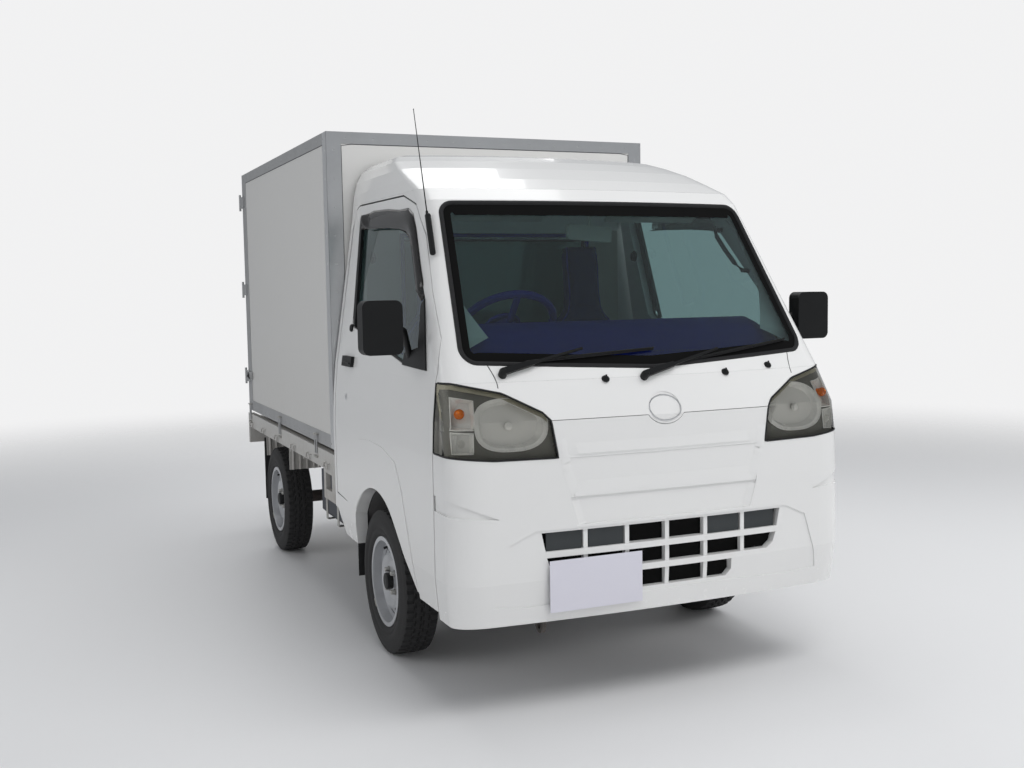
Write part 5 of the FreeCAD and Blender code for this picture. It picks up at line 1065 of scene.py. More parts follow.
# Wipers: painted steel arms with sprung heads, each carrying a black rubber blade in a slim steel bow.
# The arms are fixed on splined shafts at the cowl, and the blades park along the lower edge of the glass.
dress(black_plastic, "wipers", "antenna")
wiper_parks = (((-0.531, 1.079), (-0.251, 1.141), (-0.445, 1.112), (0.012, 1.140)),
        ((-0.053, 1.056), (0.252, 1.123), (0.120, 1.096), (0.575, 1.150)))
mesh = bmesh.new()
blades = bmesh.new()
for pivot, tip, blade_start, blade_end in wiper_parks:
    pivot_point, out = on_skin(nose_tree, (pivot[0], ahead_y, pivot[1]), (0, 1, 0))
    lift = (out + Vector((0, 0, 0.3))).normalized()
    add_turned(mesh, [(-0.004, 0.0135), (0.012, 0.0140), (0.021, 0.0125), (0.026, 0.008), (0.027, 0.0)],
            pivot_point, lift, 24)
    tip_point, tip_out = on_skin(glass_tree, (tip[0], ahead_y, tip[1]), (0, 1, 0))
    start = pivot_point + lift * 0.017
    end = tip_point + tip_out * 0.024
    along = (end - start).normalized()
    wide = along.cross(tip_out).normalized()
    for share0, share1, w0, w1, tall in ((0.0, 0.38, 0.0115, 0.0085, 0.0065),
            (0.34, 1.0, 0.0050, 0.0040, 0.0028)):
        a = start.lerp(end, share0)
        b = start.lerp(end, share1)
        outline = [a + wide * w0, a - wide * w0, b - wide * w1, b + wide * w1]
        add_slab(mesh, [point - tip_out * tall for point in outline], tip_out * tall * 2)
    path, spine = [], []
    for step in range(25):
        share = step / 24
        x = blade_start[0] + (blade_end[0] - blade_start[0]) * share
        z = blade_start[1] + (blade_end[1] - blade_start[1]) * share
        point, normal = on_skin(glass_tree, (x, ahead_y, z), (0, 1, 0))
        if point is None:
            continue
        bow = 0.0115 + 0.0050 * math.sin(math.pi * share)
        path.append(point + normal * 0.0052)
        spine.append(point + normal * bow)
    add_tube(blades, path, 0.0042, 8)
    add_tube(mesh, spine, 0.0030, 8)
    for share in (0.03, 0.33, 0.67, 0.97):
        index = int(share * (len(path) - 1))
        add_rod(mesh, path[index], spine[index], 0.0032, 8)
finish_piece(mesh, "wiper_arms", black_plastic, bevel=0.0006, replace=("wipers",))
finish_piece(blades, "wiper_blades", seal_rubber)

mesh = bmesh.new()
antenna_low = Vector((-0.648, -1.289, 1.472))
antenna_high = Vector((-0.633, -1.205, 1.597))
antenna_tip = Vector((-0.640, -1.094, 1.9695))
antenna_axis = (antenna_high - antenna_low).normalized()
add_tube(mesh, [antenna_low + Vector((-0.004, -0.006, 0)), antenna_high + Vector((-0.004, -0.006, 0))],
        0.0105, 14)


def add_dome(mesh, centre, axis, radius, height):
    profile = [(0, radius)]
    for share in (0.35, 0.65, 0.88):
        profile.append((height * share, radius * math.sqrt(1 - share * share)))
    add_turned(mesh, profile + [(height, 0)], centre, axis, 10)


add_dome(mesh, antenna_low + Vector((-0.004, -0.006, 0)), -antenna_axis, 0.0105, 0.010)
add_dome(mesh, antenna_high + Vector((-0.004, -0.006, 0)), antenna_axis, 0.0105, 0.010)
mast_start = antenna_high + Vector((-0.006, -0.010, -0.010))
add_turned(mesh, [(0, 0), (0, 0.0052), (0.026, 0.0046), (0.030, 0.0022),
        ((antenna_tip - mast_start).length - 0.004, 0.0013), ((antenna_tip - mast_start).length - 0.004,
        0.0024), ((antenna_tip - mast_start).length, 0.0)], mast_start, antenna_tip - mast_start, 12)
finish_piece(mesh, "antenna_mast", black_plastic, replace=("antenna",))


# Doors: each pressed door has black weather strips round its edge and its window, a black glass run
# behind the pane, a key slot under the handle, a moulded grey inner panel and a winder.
visor_outer = ((-0.468, 1.592), (-0.472, 1.628), (-0.500, 1.650), (-0.560, 1.657), (-0.750, 1.651),
        (-0.900, 1.638), (-1.005, 1.638), (-1.062, 1.614), (-1.116, 1.562), (-1.166, 1.495), (-1.212, 1.432),
        (-1.258, 1.378), (-1.274, 1.346), (-1.262, 1.316))
visor_inner = ((-0.490, 1.588), (-0.600, 1.586), (-0.800, 1.577), (-0.940, 1.566), (-1.020, 1.551),
        (-1.070, 1.527), (-1.105, 1.490), (-1.142, 1.440), (-1.180, 1.388), (-1.215, 1.340), (-1.246, 1.312))

beside_x = 1.2

mirror_silver = metal("mirror_silver", (0.90, 0.90, 0.90), (0.85, 0.85, 0.85), 0.1, 0.02, 0.0, metallic=1.0)
grey_plastic = moulded("grey_plastic", (0.085, 0.09, 0.10), (0.13, 0.13, 0.13), 0.25, 0.52, 0.6)
smoked_clear = clear("smoked_acrylic", (0.085, 0.078, 0.075), (0.12, 0.11, 0.11), 0.15, 0.05, 0.9)


def add_skin_plate(mesh, tree, rows, direction, lift, thick):
    top, low = [], []
    for row in rows:
        top_row, low_row = [], []
        for start in row:
            point, normal = on_skin(tree, start, direction)
            if point is None:
                top_row.append(None)
                low_row.append(None)
                continue
            top_row.append(mesh.verts.new(point + normal * lift))
            low_row.append(mesh.verts.new(point + normal * (lift - thick)))
        top.append(top_row)
        low.append(low_row)
    for i in range(len(rows) - 1):
        for j in range(len(rows[0]) - 1):
            corners = ((i, j), (i + 1, j), (i + 1, j + 1), (i, j + 1))
            if any(top[a][b] is None for a, b in corners):
                continue
            mesh.faces.new([top[a][b] for a, b in corners])
            mesh.faces.new([low[a][b] for a, b in reversed(corners)])
    rim = [edge for edge in mesh.edges if len(edge.link_faces) == 1]
    if rim:
        pairs = {}
        for top_row, low_row in zip(top, low):
            for a, b in zip(top_row, low_row):
                if a is not None:
                    pairs[a] = b
        for edge in rim:
            a, b = edge.verts
            if a in pairs and b in pairs:
                mesh.faces.new((a, b, pairs[b], pairs[a]))


for side_name, side in both_sides:
    body = "door_" + side_name
    dress(cab_white, body + "_panel")
    dress(window_glass, body + "_glass")
    dress(smoked_clear, body + "_visor")
    dress(black_plastic, body + "_fittings")
    out = Vector((side, 0, 0))
    door_tree = skin_tree(body + "_panel")
    loops = rim_path(body + "_panel", out, 0.6)
    outer_loop = max(loops, key=lambda loop: max(p.z for p in loop) - min(p.z for p in loop))
    mesh = bmesh.new()
    add_tube(mesh, [point - out * 0.009 for point in even(outer_loop, 0.014)], 0.0036, 6, closed=True)
    finish_piece(mesh, "door_edge_seal_" + side_name, seal_rubber, body)
    pane_tree = skin_tree(body + "_glass")
    pane_loops = rim_path(body + "_glass", out, 0.5)
    mesh = bmesh.new()
    add_tube(mesh, [point + out * 0.003 for point in even(pane_loops[0], 0.010)], 0.0052, 8, closed=True)
    finish_piece(mesh, "window_seal_" + side_name, seal_rubber, body)

    mesh = bmesh.new()
    rows = []
    for step in range(15):
        share = step / 14
        z = 1.628 + (1.208 - 1.628) * share
        rear = -0.384 + (-0.458 + 0.384) * share
        rows.append([(side * beside_x, rear - inset, z) for inset in (0.030, 0.015, 0)])
    add_skin_plate(mesh, pane_tree, rows, -out, 0.0135, 0.012)
    point, normal = on_skin(door_tree, (side * beside_x, -0.452, 1.203), -out)
    if point is not None:
        add_turned(mesh, [(-0.002, 0.016), (0.006, 0.015), (0.009, 0.011), (0.010, 0.0)], point, normal, 20)
    finish_piece(mesh, "glass_run_" + side_name, black_plastic, body, 0.0008)

    mesh = bmesh.new()
    point, normal = on_skin(door_tree, (side * beside_x, -0.452, 0.930), -out)
    add_turned(mesh, [(-0.001, 0.0135), (0.0012, 0.0135), (0.0022, 0.0115), (0.0010, 0.0085), (0.0004, 0.0)],
            point, normal, 28)
    finish_piece(mesh, "lock_barrel_" + side_name, bright_alloy, body)
    # The key slot is a thin near-black block on the barrel: painted shade standing for the slot's depth.
    mesh = bmesh.new()
    add_block(mesh, point + normal * 0.0006 + Vector((-0.0002, -0.0012, -0.0055)),
            point + normal * 0.0006 + Vector((0.0002, 0.0012, 0.0055)))
    finish_piece(mesh, "key_slot_" + side_name, black_and_shade_paint, body)

    mesh = bmesh.new()
    grip_point, grip_out = on_skin(skin_tree(body + "_fittings"), (side * beside_x, -0.468, 1.073), -out)
    if grip_point is not None:
        add_tube(mesh, [grip_point + grip_out * 0.001 + Vector((0, y, 0.010 * math.cos(y * 22) - 0.012))
                for y in [-0.05 + 0.01 * k for k in range(11)]], 0.0035, 8)
        finish_piece(mesh, "handle_ridge_" + side_name, black_plastic, body)
    else:
        mesh.free()

    mesh = bmesh.new()
    centre = Vector((side * 0.8455, -1.2893, 1.230))
    outline = []
    for cx, cz, first in ((0.046, 0.066, 0), (-0.046, 0.066, 90), (-0.046, -0.066, 180),
            (0.046, -0.066, 270)):
        for step in range(7):
            angle = math.radians(first + 15 * step)
            outline.append(centre + Vector((cx + 0.012 * math.cos(angle), 0, cz + 0.012 * math.sin(angle))))
    add_slab(mesh, outline, (0, 0.0012, 0))
    finish_piece(mesh, "mirror_pane_" + side_name, mirror_silver, body, 0.0004)

    mesh = bmesh.new()
    rows = []
    for step in range(11):
        z = 0.560 + (1.040 - 0.560) * step / 10
        front = -1.420 + max(0.0, 0.72 - z) * 1.2
        rows.append([(0, front + (-0.345 - front) * k / 26, z) for k in range(27)])
    add_skin_plate(mesh, door_tree, rows, out, 0.0045, 0.004)
    finish_piece(mesh, "door_lining_" + side_name, grey_plastic, body, 0.001)
    mesh = bmesh.new()
    seat_point = on_skin(door_tree, (0, -0.72, 0.960), out)[0]
    if seat_point is not None:
        inward = Vector((-side, 0, 0))
        base = seat_point + inward * 0.005
        add_slab(mesh, [base + Vector((0, y, z)) for y, z in ((-0.17, 0.018), (0.17, 0.030), (0.17, -0.020),
                (0.12, -0.038), (-0.12, -0.034), (-0.17, -0.010))],
                inward * 0.050)
    winder = on_skin(door_tree, (0, -1.060, 0.850), out)[0]
    if winder is not None:
        inward = Vector((-side, 0, 0))
        base = winder + inward * 0.005
        add_turned(mesh, [(0, 0.030), (0.006, 0.028), (0.012, 0.014), (0.020, 0.012), (0.020, 0.0)], base,
                inward, 24)
        tip = base + inward * 0.018 + Vector((0, 0.085, 0.060))
        add_tube(mesh, [base + inward * 0.014, base + inward * 0.018 + Vector((0, 0.04, 0.03)), tip], 0.0065,
                10)
        add_turned(mesh, [(-0.004, 0.0), (-0.004, 0.012), (0.026, 0.010), (0.030, 0.0)], tip, inward, 16)
        lever = base + Vector((0, 0.22, 0.12))
        add_turned(mesh, [(0, 0.022), (0.006, 0.021), (0.009, 0.0)], lever, inward, 20)
        add_tube(mesh, [lever + inward * 0.008, lever + inward * 0.014 + Vector((0, -0.05, 0.004))], 0.006,
                10)
    finish_piece(mesh, "door_controls_" + side_name, black_plastic, body, 0.002)

    mesh = bmesh.new()
    outer_edge = even([Vector((0, y, z)) for y, z in visor_outer], 0.020, closed=False)
    inner_edge = [Vector((0, y, z)) for y, z in visor_inner]
    spans = [0.0]
    for a, b in zip(inner_edge, inner_edge[1:]):
        spans.append(spans[-1] + (b - a).length)
    rows = []
    for index, outer_point in enumerate(outer_edge):
        along = spans[-1] * index / (len(outer_edge) - 1)
        k = max(i for i in range(len(spans) - 1) if spans[i] <= along + 1e-9)
        inner_point = inner_edge[k].lerp(inner_edge[k + 1], (along - spans[k]) / (spans[k + 1] - spans[k]))
        base = on_skin(door_tree, (side * beside_x, outer_point.y, outer_point.z), -out)[0]
        deep = on_skin(pane_tree, (side * beside_x, inner_point.y, inner_point.z), -out)[0]
        base_x = base.x if base is not None else side * 0.66
        deep_x = deep.x if deep is not None else base_x
        end_fade = min(1.0, index / 3, (len(outer_edge) - 1 - index) / 3)
        row = []
        for step in range(9):
            share = step / 8
            place = outer_point.lerp(inner_point, share)
            rise = 0.0012 + 0.0170 * math.sin(math.pi / 2 * min(1.0, share * 1.6)) * (0.35 + 0.65 * end_fade)
            x = base_x + (deep_x - base_x) * share
            row.append(mesh.verts.new((x + side * rise, place.y, place.z)))
        rows.append(row)
    for here, ahead in zip(rows, rows[1:]):
        for k in range(8):
            mesh.faces.new((here[k], ahead[k], ahead[k + 1], here[k + 1]))
    item = finish_piece(mesh, "rain_visor_" + side_name, smoked_clear, body, smooth=60,
            replace=(body + "_visor",))
    wall = item.modifiers.new("wall", "SOLIDIFY")
    wall.thickness = 0.0022
    wall.offset = 0


# Dashboard: navy soft-grain pad with the instruments let into it, round vents, a radio panel and a
# glove box. The wheel is moulded over a steel rim, and stalks stand out of the column cover.
navy_plastic = moulded("navy_plastic", (0.007, 0.011, 0.30), (0.03, 0.035, 0.26), 0.2, 0.55, 0.5)
dress(navy_plastic, "dashboard", "steering_wheel")

screen_tree = joined_tree(("cab_glass", "cab_shell"))

mesh = bmesh.new()
rings = []
for k in range(63):
    x = -0.620 + 1.240 * k / 62
    end = max(0.0, (abs(x) - 0.545) / 0.075)
    drop = 0.060 * end ** 2.2
    screen_point, normal = on_skin(screen_tree, (x, ahead_y, 1.125), (0, 1, 0))
    front = screen_point.y + 0.045 + 0.020 * end
    ring = []
    for y, z in ((front, 1.088), (front, 1.102), (front + 0.060, 1.134), (-1.430, 1.186), (-1.350, 1.221),
            (-1.312, 1.232), (-1.290, 1.230), (-1.280, 1.218), (-1.282, 1.196), (-1.292, 1.150),
            (-1.292, 1.088)):
        ring.append(mesh.verts.new((x, y, max(1.0885, z - drop * (z - 1.088) / 0.147))))
    rings.append(ring)
for here, ahead in zip(rings, rings[1:]):
    for k in range(len(here) - 1):
        mesh.faces.new((here[k], ahead[k], ahead[k + 1], here[k + 1]))
mesh.faces.new(rings[0])
mesh.faces.new(list(reversed(rings[-1])))
finish_piece(mesh, "dash_pad", navy_plastic, smooth=50)
pad = bpy.data.objects["dash_pad"].data
pad_tree = BVHTree.FromPolygons([vertex.co for vertex in pad.vertices],
        [face.vertices for face in pad.polygons])
mesh = bmesh.new()
for k in range(48):
    point, normal = on_skin(pad_tree, (-0.2940 + 0.588 * k / 47, -1.490, 1.4), (0, 0, -1))
    if point is not None:
        add_turned(mesh, [(0.0002, 0.0022), (0.0006, 0.0020), (0.0006, 0.0)], point, normal, 8)
finish_piece(mesh, "demister_holes", grey_plastic)
mesh = bmesh.new()
add_block(mesh, (-0.505, -1.293, 1.100), (-0.175, -1.2795, 1.204))
finish_piece(mesh, "instrument_face", black_and_shade_paint, bevel=0.004)
mesh = bmesh.new()
for x, radius in ((-0.400, 0.034), (-0.290, 0.034), (-0.345, 0.014)):
    place = Vector((x, -1.2790, 1.152))
    ring = [place + Vector((radius * math.cos(a), 0, radius * math.sin(a))) for a in
            [2 * math.pi * k / 40 for k in range(40)]]
    add_tube(mesh, ring, 0.0016, 6, closed=True)
    for k in range(9):
        angle = math.radians(-35 + 250 * k / 8)
        inner = place + Vector((radius * 0.78 * math.cos(angle), 0, radius * 0.78 * math.sin(angle)))
        outer = place + Vector((radius * 0.90 * math.cos(angle), 0, radius * 0.90 * math.sin(angle)))
        add_tube(mesh, [inner, outer], 0.0007, 4)
    add_tube(mesh, [place, place + Vector((-radius * 0.5, 0.0004, -radius * 0.35))], 0.0009, 4)
finish_piece(mesh, "gauge_rings", plate_white)

mesh = bmesh.new()
panel_y = -1.2885
for x in (-0.580, -0.130, 0.130, 0.580):
    centre = Vector((x, panel_y - 0.004, 1.028))
    ring = [centre + Vector((0.036 * math.cos(a), 0.002, 0.030 * math.sin(a))) for a in
            [2 * math.pi * k / 36 for k in range(36)]]
    add_tube(mesh, ring, 0.0045, 8, closed=True)
    for k in range(-3, 4):
        half = 0.034 * math.sqrt(max(0.0, 1 - (k * 0.0078 / 0.030) ** 2))
        add_tube(mesh, [centre + Vector((-half, 0.001, k * 0.0078)),
                centre + Vector((half, 0.001, k * 0.0078))], 0.0017, 6)
finish_piece(mesh, "dash_vents", black_plastic)
mesh = bmesh.new()
add_block(mesh, (-0.098, panel_y - 0.006, 0.962), (0.098, panel_y + 0.003, 1.022))
add_block(mesh, (-0.098, panel_y - 0.006, 0.905), (0.098, panel_y + 0.002, 0.952))
for x in (-0.075, 0.075):
    add_rod(mesh, (x, panel_y, 0.992), (x, panel_y + 0.018, 0.992), 0.012, 24)
for x in (-0.060, 0.0, 0.060):
    add_rod(mesh, (x, panel_y, 0.928), (x, panel_y + 0.016, 0.928), 0.015, 24)
finish_piece(mesh, "radio_and_heater_panel", black_plastic, bevel=0.0015)
mesh = bmesh.new()
box_outline = [Vector((0.190, panel_y + 0.001, 0.905)), Vector((0.600, panel_y + 0.001, 0.905)),
        Vector((0.600, panel_y + 0.001, 1.000)), Vector((0.190, panel_y + 0.001, 1.000))]
add_tube(mesh, even(box_outline, 0.02), 0.0018, 6, closed=True)
add_block(mesh, (0.370, panel_y, 0.968), (0.430, panel_y + 0.010, 0.986))
finish_piece(mesh, "glove_box_lid", black_plastic, bevel=0.001)

mesh = bmesh.new()
for side in (-1, 1):
    start = Vector((-0.340 + side * 0.020, -1.225, 1.125))
    add_tube(mesh, [start, start + Vector((side * 0.070, 0.010, 0.015)),
            start + Vector((side * 0.150, 0.016, 0.030))], 0.0065, 10)
    add_turned(mesh, [(0, 0.0), (0, 0.0095), (0.035, 0.0105), (0.038, 0.0)],
            start + Vector((side * 0.145, 0.0155, 0.029)), (side, 0.1, 0.15), 14)
finish_piece(mesh, "column_stalks", black_plastic)

wheel_centre = Vector((-0.340, -1.150, 1.200))
column_foot = Vector((-0.340, -1.340, 1.010))
wheel_axis = (wheel_centre - column_foot).normalized()
wheel_up = wheel_axis.cross(Vector((1, 0, 0))).normalized()
mesh = bmesh.new()
pad = []
for step in range(40):
    angle = 2 * math.pi * step / 40
    pad.append(wheel_centre + wheel_axis * 0.0165 + Vector((1, 0, 0)) * 0.068 * math.cos(angle)
            + wheel_up * 0.060 * math.sin(angle))
add_slab(mesh, pad, wheel_axis * 0.016)
finish_piece(mesh, "wheel_pad", navy_plastic, "steering", 0.006)
mesh = bmesh.new()
for step in range(48):
    angle = 2 * math.pi * step / 48
    spin = Vector((1, 0, 0)) * math.cos(angle) + wheel_up * math.sin(angle)
    if step % 12 in (1, 2, 10, 11):
        inner = wheel_centre + spin * (0.182 - 0.0148)
        add_tube(mesh, [inner - wheel_axis * 0.006, inner + wheel_axis * 0.006], 0.0022, 6)
finish_piece(mesh, "rim_grip_ribs", navy_plastic, "steering")


# Pedals, levers and floor: rubber faced steel pedals hang under the dashboard, the gear lever and the hand
# brake stand between the seats, and ribbed rubber mats lie on the floor.
floor_grey = painted("cab_floor_paint", (0.12, 0.12, 0.125), (0.20, 0.18, 0.16), 0.4, 0.8, 0.6, 0.4)
dress(floor_grey, "cab_floor")
mesh = bmesh.new()
pads = bmesh.new()
for x, wide in ((-0.440, 0.030), (-0.340, 0.032), (-0.240, 0.024)):
    foot = Vector((x, -1.360, 0.640))
    add_tube(mesh, [(x, -1.452, 0.902), (x, -1.440, 0.780), (x, -1.385, 0.665), foot], 0.007, 10)
    tilt = Vector((0, 0.45, 0.89)).normalized()
    face = Vector((0, 0.89, -0.45)).normalized()
    corners = [foot + Vector((a * wide, 0, 0)) + tilt * (b * (0.026 if wide > 0.025 else 0.055)) for a, b in
            ((-1, -1), (1, -1), (1, 1), (-1, 1))]
    add_slab(pads, corners, face * 0.010)
    for k in range(-2, 3):
        line = foot + face * 0.0105 + tilt * (k * (0.009 if wide > 0.025 else 0.020))
        add_tube(pads, [line + Vector((-wide * 0.85, 0, 0)), line + Vector((wide * 0.85, 0, 0))], 0.0018, 6)
finish_piece(mesh, "pedal_arms", chassis_black)
finish_piece(pads, "pedal_pads", seal_rubber, bevel=0.0015)

mesh = bmesh.new()
lever_base = Vector((0.0, -1.130, 0.709))
add_turned(mesh, [(0, 0.062), (0.010, 0.058), (0.018, 0.044), (0.024, 0.046), (0.032, 0.034), (0.038, 0.036),
        (0.048, 0.022), (0.054, 0.022), (0.070, 0.010), (0.072, 0.0)], lever_base, (0, -0.05, 1), 32)
finish_piece(mesh, "gear_boot", seal_rubber, smooth=50)
mesh = bmesh.new()
add_tube(mesh, [lever_base + Vector((0, 0, 0.060)), lever_base + Vector((0, -0.012, 0.16)),
        lever_base + Vector((0, -0.040, 0.255))], 0.0065, 12)
finish_piece(mesh, "gear_stem", zinc_steel)
mesh = bmesh.new()
add_turned(mesh, [(-0.012, 0.0), (-0.012, 0.010), (0.004, 0.019), (0.020, 0.024), (0.036, 0.022),
        (0.046, 0.012), (0.049, 0.0)], lever_base + Vector((0, -0.040, 0.255)), (0, -0.28, 0.96), 28)
finish_piece(mesh, "gear_knob", black_plastic, smooth=60)
mesh = bmesh.new()
add_block(mesh, (-0.028, -0.720, 0.7085), (0.028, -0.600, 0.760))
add_tube(mesh, [(0, -0.665, 0.745), (0, -0.760, 0.772), (0, -0.905, 0.800)], 0.0095, 12)
add_tube(mesh, [(0, -0.850, 0.790), (0, -0.955, 0.812)], 0.0145, 16)
add_rod(mesh, (0, -0.954, 0.8118), (0, -0.963, 0.8135), 0.008, 14)
finish_piece(mesh, "hand_brake", black_plastic, bevel=0.003)

for side_name, side in both_sides:
    mesh = bmesh.new()
    add_block(mesh, (side * 0.585, -1.540, 0.4925), (side * 0.095, -1.215, 0.4965))
    for k in range(20):
        y = -1.525 + 0.0158 * k
        add_tube(mesh, [(side * 0.570, y, 0.4972), (side * 0.110, y, 0.4972)], 0.0022, 6)
    finish_piece(mesh, "floor_mat_" + side_name, seal_rubber, bevel=0.0012)


# Cab lining: cream painted rear wall round the window, folded sun visors, room mirror, grab handle and belts.
# The wall is pressed with stiffening ribs, and the belts run from the pillars to the seat base.
mesh = bmesh.new()
wall_y = -0.2850
for x0, x1, z0, z1 in ((-0.60, 0.60, 0.74, 1.170), (-0.585, -0.440, 1.170, 1.600),
        (0.440, 0.585, 1.170, 1.600)):
    add_block(mesh, (x0, wall_y - 0.004, z0), (x1, wall_y - 0.0005, z1))
for z in (0.82, 0.92, 1.02, 1.12):
    add_tube(mesh, [(-0.55, wall_y - 0.003, z), (0.55, wall_y - 0.003, z)], 0.006, 8)

lining_cream = painted("lining_cream_paint", (0.60, 0.59, 0.54), (0.40, 0.38, 0.33), 0.2, 1.0, 0.55, 0.3)

finish_piece(mesh, "rear_wall_lining", lining_cream, bevel=0.002)
mesh = bmesh.new()
for z in (1.180, 1.568):
    add_block(mesh, (-0.430, wall_y - 0.010, z), (0.430, wall_y - 0.002, z + 0.016))
for x in (-0.436, 0.420):
    add_block(mesh, (x, wall_y - 0.010, 1.180), (x + 0.016, wall_y - 0.002, 1.584))
finish_piece(mesh, "rear_window_frame", navy_plastic, bevel=0.002)

mesh = bmesh.new()
for side in (-1, 1):
    top = Vector((0, -1.128, 1.652))
    drop = Vector((0, 0.070, -0.042))
    inner, outer = 0.130, 0.530
    outline = [top + Vector((side * inner, 0, 0)), top + Vector((side * outer, 0, 0)),
            top + Vector((side * (outer - 0.02), 0, 0)) + drop * 1.5,
            top + Vector((side * inner, 0, 0)) + drop * 1.5]
    add_slab(mesh, outline, (0, 0.006, 0.009))
finish_piece(mesh, "sun_visors", lining_cream, bevel=0.004)

mesh = bmesh.new()
mirror_centre = Vector((0.004, -1.150, 1.543))
outline = []
for cx, cz, first in ((0.082, 0.016, 0), (-0.082, 0.019, 90), (-0.082, -0.016, 180), (0.082, -0.019, 270)):
    for step in range(7):
        angle = math.radians(first + 15 * step)
        outline.append(mirror_centre + Vector((cx + 0.011 * math.cos(angle), 0.10 * cx,
                cz + 0.011 * math.sin(angle) - 0.05 * cx)))
add_slab(mesh, outline, (0, 0.020, 0))
add_tube(mesh, [mirror_centre + Vector((0, 0.006, 0.020)), mirror_centre + Vector((0, 0.000, 0.065)),
        mirror_centre + Vector((0, -0.012, 0.100))], 0.006, 10)
finish_piece(mesh, "room_mirror_case", lining_cream, bevel=0.003)
mesh = bmesh.new()
add_slab(mesh, [mirror_centre + (point - mirror_centre) * 0.93 + Vector((0, 0.0203, 0)) for point in outline],
        (0, 0.001, 0))
finish_piece(mesh, "room_mirror_pane", mirror_silver)

mesh = bmesh.new()
for side in (1, -1):
    a = Vector((side * 0.598, -1.105, 1.560))
    b = Vector((side * 0.628, -1.245, 1.400))
    inward = Vector((-side, 0.15, 0.05)).normalized()
    add_tube(mesh, [a, a + inward * 0.030, a.lerp(b, 0.18) + inward * 0.042, a.lerp(b, 0.5) + inward * 0.045,
            a.lerp(b, 0.82) + inward * 0.042, b + inward * 0.030, b], 0.0085, 12)
finish_piece(mesh, "grab_handles", grey_plastic)

mesh = bmesh.new()
webbing = bmesh.new()
for side in (-1, 1):
    high = Vector((side * 0.588, -0.420, 1.480))
    low = Vector((side * 0.662, -0.400, 0.800))
    add_turned(mesh, [(0, 0.024), (0.010, 0.022), (0.016, 0.0)], high + Vector((side * 0.010, 0, 0)),
            (-side, 0, 0), 24)
    add_block(mesh, (min(side * 0.640, side * 0.684), -0.445, 0.730), (max(side * 0.640, side * 0.684),
            -0.355, 0.830))
    wide = Vector((0, 0.022, 0))
    outline = [high - wide, high + wide, low + wide, low - wide]
    add_slab(webbing, outline, (side * -0.0014, 0, 0))
    buckle = Vector((side * 0.085, -0.560, 0.800))
    add_block(mesh, buckle + Vector((-0.012, -0.020, -0.04)), buckle + Vector((0.012, 0.020, 0.050)))
    add_tube(mesh, [buckle + Vector((0, 0, -0.035)), buckle + Vector((0, 0.010, -0.092))], 0.007, 10)
finish_piece(mesh, "belt_fittings", black_plastic, bevel=0.003)


# Seats: two navy cloth cushions on a painted steel base, each back narrowing above the shoulders to a fixed
# headrest. The foam is stretched over a frame, the cover is sewn in panels, and piping runs along its edges.
cushion_x = 0.330
cushion_half = 0.206
back_rows = ((0.795, 0.196), (0.900, 0.204), (1.040, 0.206), (1.130, 0.200), (1.200, 0.150), (1.255, 0.104),
        (1.330, 0.098), (1.450, 0.096), (1.535, 0.086))

mesh = bmesh.new()
outline = [Vector((cushion_x - cushion_half, y, z)) for y, z in
        ((-1.058, 0.742), (-1.066, 0.775), (-1.050, 0.806), (-1.010, 0.822), (-0.760, 0.806), (-0.560, 0.800),
        (-0.530, 0.770), (-0.530, 0.726), (-1.030, 0.722))]
add_slab(mesh, outline, (2 * cushion_half, 0, 0))


def grown_form(mesh, name, voxel, reach):
    data = bpy.data.meshes.new(name)
    mesh.to_mesh(data)
    mesh.free()
    item = bpy.data.objects.new(name, data)
    scene.collection.objects.link(item)
    even_mesh = item.modifiers.new("even_mesh", "REMESH")
    even_mesh.mode = "VOXEL"
    even_mesh.voxel_size = voxel
    graph = bpy.context.evaluated_depsgraph_get()
    filled = bpy.data.meshes.new_from_object(item.evaluated_get(graph))
    item.modifiers.clear()
    item.data = filled
    start = [vertex.co.copy() for vertex in filled.vertices]
    cloth = item.modifiers.new("foam_pressure", "CLOTH")
    cloth.settings.quality = 4
    cloth.settings.use_pressure = True
    cloth.settings.uniform_pressure_force = 4.0
    cloth.settings.effector_weights.gravity = 0.0
    cloth.point_cache.frame_start = 1
    cloth.point_cache.frame_end = 20
    for number in range(1, 21):
        scene.frame_set(number)
    graph = bpy.context.evaluated_depsgraph_get()
    grown = bpy.data.meshes.new_from_object(item.evaluated_get(graph))
    item.modifiers.clear()
    for vertex, swollen, first in zip(filled.vertices, grown.vertices, start):
        move = swollen.co - first
        if move.length > reach:
            move = move.normalized() * reach
        vertex.co = first + move
    scene.frame_set(1)
    return item


cushion = grown_form(mesh, "seat_cushion_left", 0.0075, 0.016)


def back_depth(z):
    share = (z - 0.760) / (1.560 - 0.760)
    return -0.560 + 0.110 * share + 0.020, -0.400 + 0.028 * share - 0.012


mesh = bmesh.new()
rings = []
for z, half in back_rows:
    front, rear = back_depth(z)
    corner = 0.030
    ring = [(-half, front + corner), (-half + corner, front), (half - corner, front), (half, front + corner),
            (half, rear - corner), (half - corner, rear), (-half + corner, rear), (-half, rear - corner)]
    rings.append([mesh.verts.new((cushion_x + x, y, z)) for x, y in ring])
for low_ring, high_ring in zip(rings, rings[1:]):
    for k in range(8):
        mesh.faces.new((low_ring[k], low_ring[(k + 1) % 8], high_ring[(k + 1) % 8], high_ring[k]))
mesh.faces.new(list(reversed(rings[0])))
mesh.faces.new(rings[-1])
back = grown_form(mesh, "seat_back_left", 0.0075, 0.014)

